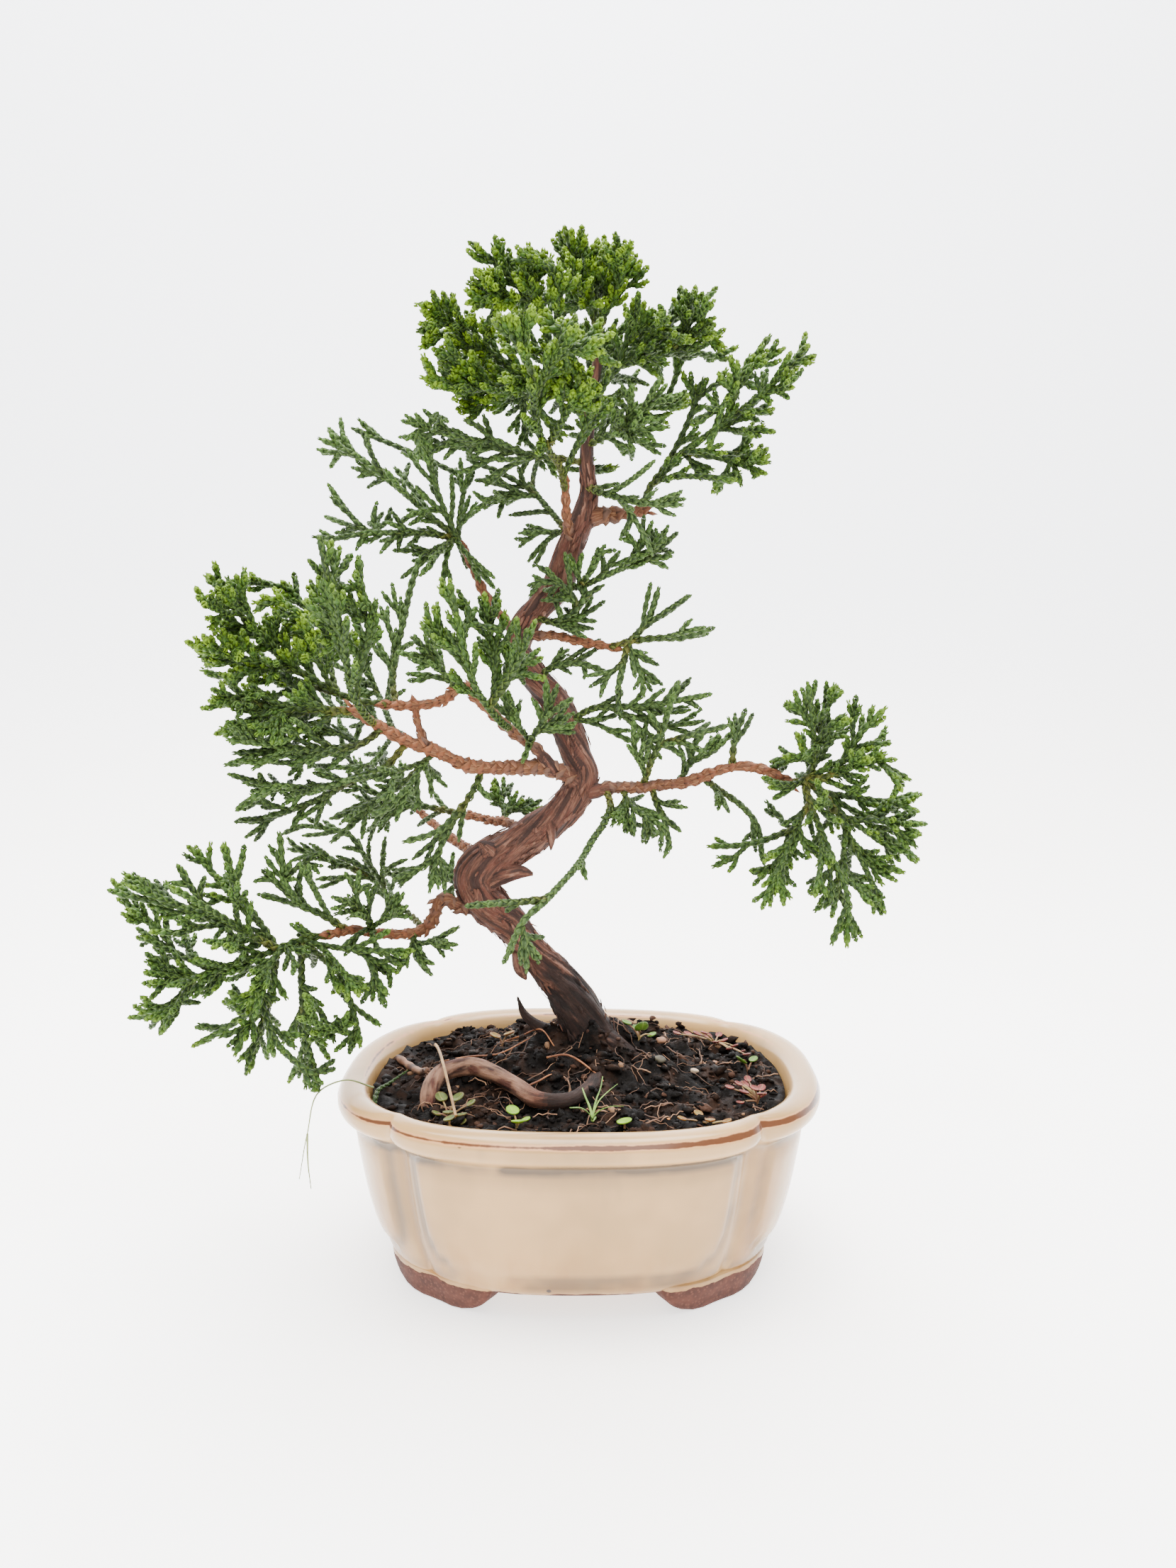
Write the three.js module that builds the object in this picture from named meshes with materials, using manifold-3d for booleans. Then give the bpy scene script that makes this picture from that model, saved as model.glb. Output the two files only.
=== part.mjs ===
// Kishu juniper bonsai in a glazed oval pot with four lobes, in millimetres with +Z up.
// Places are counted from the pot's middle on the floor, +X to the right, +Y to the back.
// The last lines shift the whole so that the middle of its box's underside is the origin.
import * as THREE from "three";
import { mergeVertices } from "three/addons/utils/BufferGeometryUtils.js";
import Module from "manifold-3d";

const wasm = await Module();
wasm.setup();

// Pot sizes
const POT_HALF_LENGTH = 74.8;
const POT_HALF_DEPTH = 61.8;
const POT_HEIGHT = 60.5;
const POT_SQUARENESS = 2.5; // exponent of the oval: 2 is an ellipse
const POT_SIDES = 45;
const NOTCH_ANGLE = (5 * 2 * Math.PI) / POT_SIDES; // from +X, the same in all four corners
const NOTCH_DEPTH = 4.4;
const NOTCH_WIDTH = 0.1; // radians over which a notch fades
const BODY_FLOOR = 7.7; // underside of the body, above the feet's bottoms
const INNER_FLOOR = 13.5;
const DRAIN_RADIUS = 5.5;
const DRAIN_PLACE = 24;
const FOOT_FROM = 0.27; // radians from +X to a foot's side end
const FOOT_TO = 1.06;
const FOOT_THICKNESS = 10;
const FOOT_LEAN = 2.6; // how far a foot's outer face runs in towards its bottom
const FOOT_STEPS = 8;
const FOOT_TOP = BODY_FLOOR + 2.5;
const FOOT_INSET = 16.6;
const FOOT_NOTCH = 1.6;
const FOOT_ARCH_FROM = 0.45; // share of a foot's half length past which its underside rises
const FOOT_ARCH_RISE = BODY_FLOOR + 0.8;

const FINEST = 0.1; // detail smaller than this is smoothed away

// Clearances
const GAP = 0.3; // between pieces that touch
const LOOSE = 0.35; // around the soil

// Soil sizes
const SOIL_SIDES = 24;
const SOIL_EDGE = 56.2; // height at the wall
const SOIL_MOUND = 14.5; // rise to the trunk
const MOUND_PLACE = [2, 11];
const MOUND_WIDTH = 18;
const SOIL_BOTTOM = 15;
const CLOD_PLACE = [26, 20];
const CLOD_HEIGHT = 3;
const CLOD_WIDTH = 4.2;

// Wood
const TRUNK_SIDES = 8;
const BRANCH_SIDES = 4;

// Foliage sizes
const CORD_RADIUS = 1.05;
const STEM_RADIUS = 1.25;
const TIP_RADIUS = 0.85;
const CORD_BELLY = 0.45; // share of a short cord's length at which it is thickest
const CORD_SIDES = 3;
const SPRAY_GAP = 0.45; // kept between cords of different sprays
const LONG_CORD = 12; // past this a cord is bent, and below it straight
const SHORTEST_CORD = 3;
const CLOSEST_TIPS = 5; // of two tips nearer than this only one is grown
const FORK_SPACING = 4;
const CORD_NECK = 2.4; // over this length a cord swells from its root to its full radius
const STEM_SPACING = 12;
const ROOT_FREE = 6; // near its root a spray's stem may meet the wood
const ROOT_SINK = 2.4; // how far a stem's start lies in the wood
const BEND_STEP = 1.5;
const BEND_STEPS = 18;
const NECK_SHARE = 0.4; // a neck takes no more than this share of its stretch
const FILL_BETWEEN = [0.3, 0.7]; // where a filling cord ends between two tips
const FILL_INWARD = [0.06, 0.36]; // and how far back from there to the spray's root
const FILL_STRAY = 0.6; // and its stray in depth, as a share of the spray's spread

// The point that the tree's places are read from: across and up are measured where a sight
// line from here meets the upright plane through the pot's middle.
const EYE = new THREE.Vector3(6, -363, 190);

// Moves a point seen at (across, up) along its sight line to the given depth behind the plane.
function seen(across, up, depth) {
  const stretch = (depth - EYE.y) / -EYE.y;
  return new THREE.Vector3(
    EYE.x + (across - EYE.x) * stretch,
    depth,
    EYE.z + (up - EYE.z) * stretch,
  );
}

// A seeded draw of numbers between 0 and 1.
function drawsFrom(seed) {
  let state = seed;
  return () => {
    state = (state * 48271) % 2147483647;
    return state / 2147483647;
  };
}

const seedOf = (i) => 101 + 37 * i;

const mix = THREE.MathUtils.lerp;

// A closed three.js geometry as a solid.
function solidOf(geometry) {
  const bare = geometry.clone();
  for (const name of Object.keys(bare.attributes)) {
    if (name !== "position") bare.deleteAttribute(name);
  }
  const merged = mergeVertices(bare, 1e-4);
  const corners = merged.index.array;
  const kept = [];
  for (let i = 0; i < corners.length; i += 3) {
    const [a, b, c] = [corners[i], corners[i + 1], corners[i + 2]];
    if (a !== b && b !== c && c !== a) kept.push(a, b, c);
  }
  const mesh = new wasm.Mesh({
    numProp: 3,
    vertProperties: new Float32Array(merged.attributes.position.array),
    triVerts: new Uint32Array(kept),
  });
  return new wasm.Manifold(mesh);
}

// The largest connected piece of a solid, without the scraps that a cut leaves.
function largest(solid) {
  const pieces = solid.decompose();
  return pieces.reduce((best, piece) => (piece.volume() > best.volume() ? piece : best));
}

// A solid as a three.js geometry with flat faces.
function geometryOf(solid) {
  const mesh = solid.getMesh();
  const geometry = new THREE.BufferGeometry();
  geometry.setAttribute("position", new THREE.BufferAttribute(mesh.vertProperties, mesh.numProp));
  geometry.setIndex(new THREE.BufferAttribute(mesh.triVerts, 1));
  const flat = geometry.toNonIndexed();
  flat.computeVertexNormals();
  return flat;
}

// Moves each vertex of a geometry to where place(x, y, z) puts it.
function remap(geometry, place) {
  const spots = geometry.attributes.position;
  for (let i = 0; i < spots.count; i += 1) {
    const spot = place(spots.getX(i), spots.getY(i), spots.getZ(i));
    spots.setXYZ(i, spot.x, spot.y, spot.z);
  }
  return geometry;
}

// A limb through points with a radius at each, where 0 makes an end pointed. grow thickens and
// lengthens it, and relief(angle, station) swells it.
function limb(points, radii, sides, { grow = 0, relief = () => 1 } = {}) {
  const steps = points.length - 1;
  const along = points.map((point, i) =>
    points[Math.min(i + 1, steps)].clone().sub(points[Math.max(i - 1, 0)]).normalize(),
  );
  const across = [];
  along.forEach((way, i) => {
    const start = Math.abs(way.z) > 0.9 ? new THREE.Vector3(1, 0, 0) : new THREE.Vector3(0, 0, 1);
    const last = i ? across[i - 1] : start;
    across.push(last.clone().addScaledVector(way, -last.dot(way)).normalize());
  });
  const shape = new THREE.CylinderGeometry(1, 1, 1, sides, steps);
  const place = (x, y, z) => {
    const i = Math.round((y + 0.5) * steps);
    const spread = Math.hypot(x, z);
    const spot = points[i].clone();
    if (i === 0) spot.addScaledVector(along[0], -grow);
    if (i === steps) spot.addScaledVector(along[steps], grow);
    if (spread < 1e-6) return spot;
    const angle = Math.atan2(z, x);
    const reach = radii[i] * relief(angle, i) + grow;
    const other = across[i].clone().cross(along[i]);
    return spot
      .addScaledVector(across[i], (x / spread) * reach)
      .addScaledVector(other, (z / spread) * reach);
  };
  return solidOf(remap(shape, place));
}

// Pot

// Distance of the pot's outline from its axis at an angle, with the wall set in by inset.
function outline(angle, inset, notch) {
  const across = Math.abs(Math.cos(angle)) / (POT_HALF_LENGTH - inset);
  const deep = Math.abs(Math.sin(angle)) / (POT_HALF_DEPTH - inset);
  const oval = (across ** POT_SQUARENESS + deep ** POT_SQUARENESS) ** (-1 / POT_SQUARENESS);
  const fromAxis = Math.atan2(Math.abs(Math.sin(angle)), Math.abs(Math.cos(angle)));
  const off = Math.abs(fromAxis - NOTCH_ANGLE);
  return oval - notch * Math.exp(-off / NOTCH_WIDTH);
}

// A solid turned round the axis through stations of { inset, z, notch }, centre at the axis.
// height(x, y, station) may lift a vertex.
function turned(stations, sides, height = (x, y, station) => station.z) {
  const profile = stations.map((station, i) => new THREE.Vector2(station.centre ? 0 : 1, i));
  const place = (x, y, z) => {
    const station = stations[Math.round(y)];
    if (station.centre) return new THREE.Vector3(0, 0, height(0, 0, station));
    const angle = Math.atan2(-z, x);
    const reach = outline(angle, station.inset, station.notch) * (station.share ?? 1);
    const spot = new THREE.Vector3(reach * Math.cos(angle), reach * Math.sin(angle), 0);
    spot.z = height(spot.x, spot.y, station);
    return spot;
  };
  return solidOf(remap(new THREE.LatheGeometry(profile, sides), place));
}

// The wall from the underside's middle, out and up to the lip, and down inside to the floor.
const WALL = [
  { centre: true, z: BODY_FLOOR + 1.3 },
  { inset: 20, z: BODY_FLOOR + 1.3, notch: 1.2 },
  { inset: 18, z: BODY_FLOOR, notch: 1.4 },
  { inset: 14.8, z: 10.4, notch: 1.8 },
  { inset: 10.6, z: 20, notch: 2.6 },
  { inset: 7.2, z: 36, notch: 3.2 },
  { inset: 5.2, z: 48.6, notch: 3.6 },
  { inset: 1.4, z: 51.6, notch: NOTCH_DEPTH },
  { inset: 0, z: 54.4, notch: NOTCH_DEPTH },
  { inset: 1, z: POT_HEIGHT, notch: NOTCH_DEPTH },
  { inset: 7.6, z: POT_HEIGHT - 0.4, notch: 1.2 },
  { inset: 9.4, z: POT_HEIGHT - 2.4, notch: 0.8 },
  { inset: 17, z: 17, notch: 0 },
  { inset: 20, z: INNER_FLOOR, notch: 0 },
  { centre: true, z: INNER_FLOOR },
];

// A corner foot under the notch: it follows the body's edge and is arched at its two ends.
function foot(signX, signY) {
  const shape = new THREE.BoxGeometry(1, 1, 1, FOOT_STEPS, 1, 1);
  const place = (x, y, z) => {
    const share = x + 0.5;
    const angle = mix(FOOT_FROM, FOOT_TO, share);
    const arch = Math.max(0, Math.abs(x) * 2 - FOOT_ARCH_FROM) / (1 - FOOT_ARCH_FROM);
    const low = FOOT_ARCH_RISE * (1 - Math.sqrt(1 - arch * arch));
    const outside = outline(angle, FOOT_INSET, FOOT_NOTCH);
    const lean = z < 0 ? FOOT_LEAN : 0;
    const reach = outside - lean - (y < 0 ? FOOT_THICKNESS - 2 * lean : 0);
    return new THREE.Vector3(
      signX * reach * Math.cos(angle),
      signY * reach * Math.sin(angle),
      z < 0 ? Math.min(low, FOOT_TOP - 0.5) : FOOT_TOP,
    );
  };
  const geometry = remap(shape, place);
  if (signX * signY > 0) turnRound(geometry);
  return solidOf(geometry);
}

// Turns each triangle round, for a shape that a place() has mirrored.
function turnRound(geometry) {
  const corners = geometry.index.array;
  for (let i = 0; i < corners.length; i += 3) {
    [corners[i + 1], corners[i + 2]] = [corners[i + 2], corners[i + 1]];
  }
}

function makePot() {
  const corners = [
    [1, 1],
    [-1, 1],
    [-1, -1],
    [1, -1],
  ];
  let pot = turned(WALL, POT_SIDES);
  for (const [signX, signY] of corners) pot = pot.add(foot(signX, signY));
  for (const side of [-1, 1]) {
    const drain = new THREE.CylinderGeometry(DRAIN_RADIUS, DRAIN_RADIUS, 20, 12);
    drain.rotateX(Math.PI / 2);
    drain.translate(side * DRAIN_PLACE, 0, BODY_FLOOR + 3);
    pot = pot.subtract(solidOf(drain));
  }
  return pot.simplify(FINEST);
}

// Drain meshes, laid on the floor over the holes
const MESH_SIDE = 17;
const MESH_THICK = 0.8;
const MESH_HOLES = 2; // along each side
const MESH_BAR = 1.8;

function makeDrainMesh(side) {
  const level = INNER_FLOOR + GAP + MESH_THICK / 2;
  const pitch = (MESH_SIDE - MESH_BAR) / MESH_HOLES;
  const plate = new THREE.BoxGeometry(MESH_SIDE, MESH_SIDE, MESH_THICK);
  plate.translate(side * DRAIN_PLACE, 0, level);
  let grid = solidOf(plate);
  for (let i = 0; i < MESH_HOLES * MESH_HOLES; i += 1) {
    const [column, row] = [i % MESH_HOLES, Math.floor(i / MESH_HOLES)];
    const hole = new THREE.BoxGeometry(pitch - MESH_BAR, pitch - MESH_BAR, MESH_THICK * 3);
    const middle = (MESH_HOLES - 1) / 2;
    hole.translate(side * DRAIN_PLACE + (column - middle) * pitch, (row - middle) * pitch, level);
    grid = grid.subtract(solidOf(hole));
  }
  return grid;
}

// Soil

// Height of the soil's surface: a mound at the trunk, lumps that fade at the wall, and a clod.
function soilTop(x, y) {
  const fromMound = (x - MOUND_PLACE[0]) ** 2 + (y - MOUND_PLACE[1]) ** 2;
  const mound = SOIL_MOUND * Math.exp(-fromMound / (2 * MOUND_WIDTH ** 2));
  const waves = 0.9 * Math.sin(x * 0.31 + 1) * Math.cos(y * 0.27) + 0.7 * Math.sin(y * 0.53 + x * 0.17);
  const fade = Math.exp(-((x / 62) ** 8) - (y / 50) ** 8);
  const fromClod = (x - CLOD_PLACE[0]) ** 2 + (y - CLOD_PLACE[1]) ** 2;
  const clod = CLOD_HEIGHT * Math.exp(-fromClod / (2 * CLOD_WIDTH ** 2));
  return SOIL_EDGE + mound + waves * fade + clod;
}

const SOIL_RINGS = [0.88, 0.7, 0.53, 0.37, 0.22];
const SOIL = [
  { centre: true, z: SOIL_BOTTOM },
  { inset: 20 + LOOSE, z: SOIL_BOTTOM, notch: 0 },
  { inset: 17.2 + LOOSE, z: 17.2, notch: 0 },
  { inset: 9.8 + LOOSE, z: SOIL_EDGE, notch: 0.8 },
  ...SOIL_RINGS.map((share) => ({ inset: 9.8 + LOOSE, share, notch: 0.8, top: true })),
  { centre: true, top: true },
];

const makeSoil = () => {
  const height = (x, y, station) => (station.top ? soilTop(x, y) : station.z);
  return turned(SOIL, SOIL_SIDES, height);
};

// Wood: each place is [across, up, depth, radius]
const TRUNK = [
  [5, 58, 9, 12],
  [4, 66, 9, 10.4],
  [1.8, 73, 8, 8.2],
  [-1.4, 80, 7, 6.9],
  [-7, 88, 6, 5.9],
  [-12.5, 94.5, 4, 5.3],
  [-18, 101, 2, 5.3],
  [-22, 106, 0, 5.6],
  [-27, 110.5, -2, 6.1],
  [-31.5, 116, -4, 6.5],
  [-32.6, 121.5, -5, 6.7],
  [-28.5, 126, -5, 6.3],
  [-21, 130.2, -4, 6.1],
  [-13.5, 135, -3, 6],
  [-6.4, 140.6, -1, 5.7],
  [-1.6, 146.6, 0, 5.4],
  [1.4, 152.6, 1, 5.1],
  [-0.8, 160, 2, 5],
  [-4, 168, 3, 4.8],
  [-8, 177, 4, 4.6],
  [-14, 184, 5, 4.4],
  [-19, 191.7, 6, 4.4],
  [-17.2, 198, 6, 4.3],
  [-12.2, 204.6, 5, 4.3],
  [-7, 210.5, 4, 4.4],
  [-4.4, 217, 3, 4.3],
  [-2.2, 224, 2, 4.1],
  [1, 231, 2, 3.8],
  [3.1, 238, 2, 3],
  [2.3, 247, 2, 2.4],
  [2.6, 257, 2, 2.1],
  [4, 268, 2, 1.8],
  [6, 279, 2, 1.5],
];

const BRANCHES = {
  lowLeft: [
    [-30, 112, -5, 2.6],
    [-36.5, 110.5, -6, 2.3],
    [-43.5, 113.2, -8, 2.3],
    [-45.4, 108.5, -9, 2.1],
    [-49, 104.5, -11, 2],
    [-55.5, 102.2, -14, 1.8],
    [-63, 102.6, -18, 1.7],
    [-71, 103.5, -22, 1.6],
    [-79.4, 102.4, -26, 1.5],
  ],
  left: [
    [0.5, 148, 0, 3.4],
    [-3.5, 152.5, -4, 3],
    [-9.5, 155.4, -7, 2.7],
    [-18, 155.5, -9, 2.6],
    [-28, 155.2, -12, 2.5],
    [-36.5, 156.6, -14, 2.3],
    [-45, 160.5, -16, 2.1],
    [-53, 163.8, -18, 2],
    [-62, 168, -20, 1.9],
    [-71, 173.5, -22, 1.6],
  ],
  leftUpper: [
    [-8.5, 155, -7, 2.4],
    [-12.5, 160.5, -9, 2],
    [-18.5, 164.8, -10, 2],
    [-24.5, 169.8, -11, 1.9],
    [-30.5, 176, -12, 1.9],
    [-36, 180.6, -13, 1.8],
    [-41.6, 176.7, -13, 1.7],
    [-50.8, 174.8, -14, 1.6],
    [-60, 175, -15, 1.5],
  ],
  leftLink: [
    [-47.5, 161.8, -17, 1.6],
    [-49.6, 167.5, -16, 1.3],
    [-50.8, 174.5, -14, 1.3],
  ],
  right: [
    [0.5, 147.4, 0, 2.9],
    [6, 148.4, -2, 2.3],
    [13, 149.2, -3, 2.1],
    [21.5, 149.8, -4, 2],
    [30, 150.2, -4, 2],
    [36.5, 152, -4, 2.1],
    [43, 154.4, -4, 1.8],
    [49.5, 155.8, -5, 1.7],
    [56, 154.8, -6, 1.6],
    [61.5, 152.8, -7, 1.6],
    [66.5, 150.5, -8, 1.5],
  ],
  upperLeft: [
    [-16, 192, 6, 2],
    [-22.7, 201, 8, 1.7],
    [-28.5, 208, 9, 1.6],
    [-32.6, 216.5, 10, 1.4],
    [-34.5, 222, 10, 1.3],
  ],
  upperTwig: [
    [-2.2, 224.5, 0, 1.9],
    [-3.9, 233, -4, 1.6],
    [-4.3, 241.5, -7, 1.4],
  ],
  rightStub: [
    [1, 231, 2, 3],
    [8.6, 232.4, 2, 2.6],
    [15, 233, 3, 2.1],
    [20.6, 233.6, 4, 1.7],
  ],
  backLow: [
    [-27, 124, 0, 2.2],
    [-33, 128.5, 12, 2],
    [-40.8, 133.6, 26, 1.8],
    [-49.3, 141, 38, 1.5],
  ],
  underLeft: [
    [-16, 134.5, 0, 1.9],
    [-24, 138.2, 7, 1.6],
    [-31, 139.8, 13, 1.5],
    [-37.8, 141, 18, 1.3],
  ],
  midRight: [
    [-16, 196.5, 5, 1.9],
    [-7.2, 196, 1, 1.5],
    [2, 194.4, -3, 1.4],
    [10.6, 192.6, -6, 1.3],
  ],
};

// Dead stubs, a torn flake and a peg: these end in a point
const STUBS = {
  lowerStub: [
    [-29, 120, -6, 3.4],
    [-22, 122, -9, 2.6],
    [-17.5, 122.4, -10, 1.9],
    [-14.2, 121.6, -10, 0],
  ],
  flake: [
    [-27, 127, -8, 3],
    [-29, 130, -9, 2.6],
    [-31.6, 132, -10, 0],
  ],
  peg: [
    [-9, 137, -6, 1.8],
    [-8.6, 133, -8, 1.3],
    [-8.9, 128.8, -8, 0],
  ],
  baseFlake: [
    [-19, 96, 1, 2.4],
    [-18.4, 90.6, -1, 2],
    [-16.6, 87.4, -1, 0],
  ],
};

// Roots, in the pot's own places: each is [x, y, z, radius], and the last one ends in a point
const ROOTS = {
  surface: [
    [5, 4, 61, 4.4],
    [6, -12, 59.4, 3.2],
    [1.6, -23.5, 60.4, 2.6],
    [-5.6, -34.4, 60.4, 2.5],
    [-11, -32.6, 60.8, 2.6],
    [-18.2, -23.6, 61.4, 2.7],
    [-26.5, -13.5, 61.8, 2.7],
    [-34, -7.6, 61.8, 2.6],
    [-41.4, -11.6, 61.6, 2.5],
    [-44, -24, 60.4, 2.4],
    [-44.2, -34.4, 58, 2.1],
    [-43.6, -39.6, 54.6, 0],
  ],
  left: [
    [-1, 9, 66, 4],
    [-12, 10, 68.4, 2.2],
    [-18, 10, 73.2, 1.4],
    [-20.4, 10, 79.4, 0],
  ],
  back: [
    [5, 12, 66, 4.8],
    [10, 22, 62.6, 3.4],
    [20, 33, 57, 2.6],
    [28, 41, 50, 0],
  ],
  right: [
    [6, 6, 67, 5],
    [17, 3, 65, 3.4],
    [29, -3, 58.6, 2.6],
    [42, -8, 50, 0],
  ],
};

const barkRelief = (angle, station) =>
  1 + 0.09 * Math.cos(2 * angle + station * 0.55) + 0.06 * Math.cos(5 * angle - station * 0.4);

const placesOf = (rows) => rows.map(([across, up, depth]) => seen(across, up, depth));
const spotsOf = (rows) => rows.map(([x, y, z]) => new THREE.Vector3(x, y, z));

// The wood as one solid. grow makes it thicker all over, to cut its neighbours clear of it.
function makeWood(grow = 0) {
  const parts = [];
  parts.push(limb(placesOf(TRUNK), TRUNK.map((row) => row[3]), TRUNK_SIDES, { grow, relief: barkRelief }));
  for (const rows of Object.values(BRANCHES)) {
    parts.push(limb(placesOf(rows), rows.map((row) => row[3]), BRANCH_SIDES, { grow }));
  }
  for (const rows of Object.values(STUBS)) {
    parts.push(limb(placesOf(rows), rows.map((row) => row[3]), BRANCH_SIDES, { grow }));
  }
  for (const rows of Object.values(ROOTS)) {
    parts.push(limb(spotsOf(rows), rows.map((row) => row[3]), BRANCH_SIDES, { grow }));
  }
  return wasm.Manifold.union(parts);
}

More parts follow.
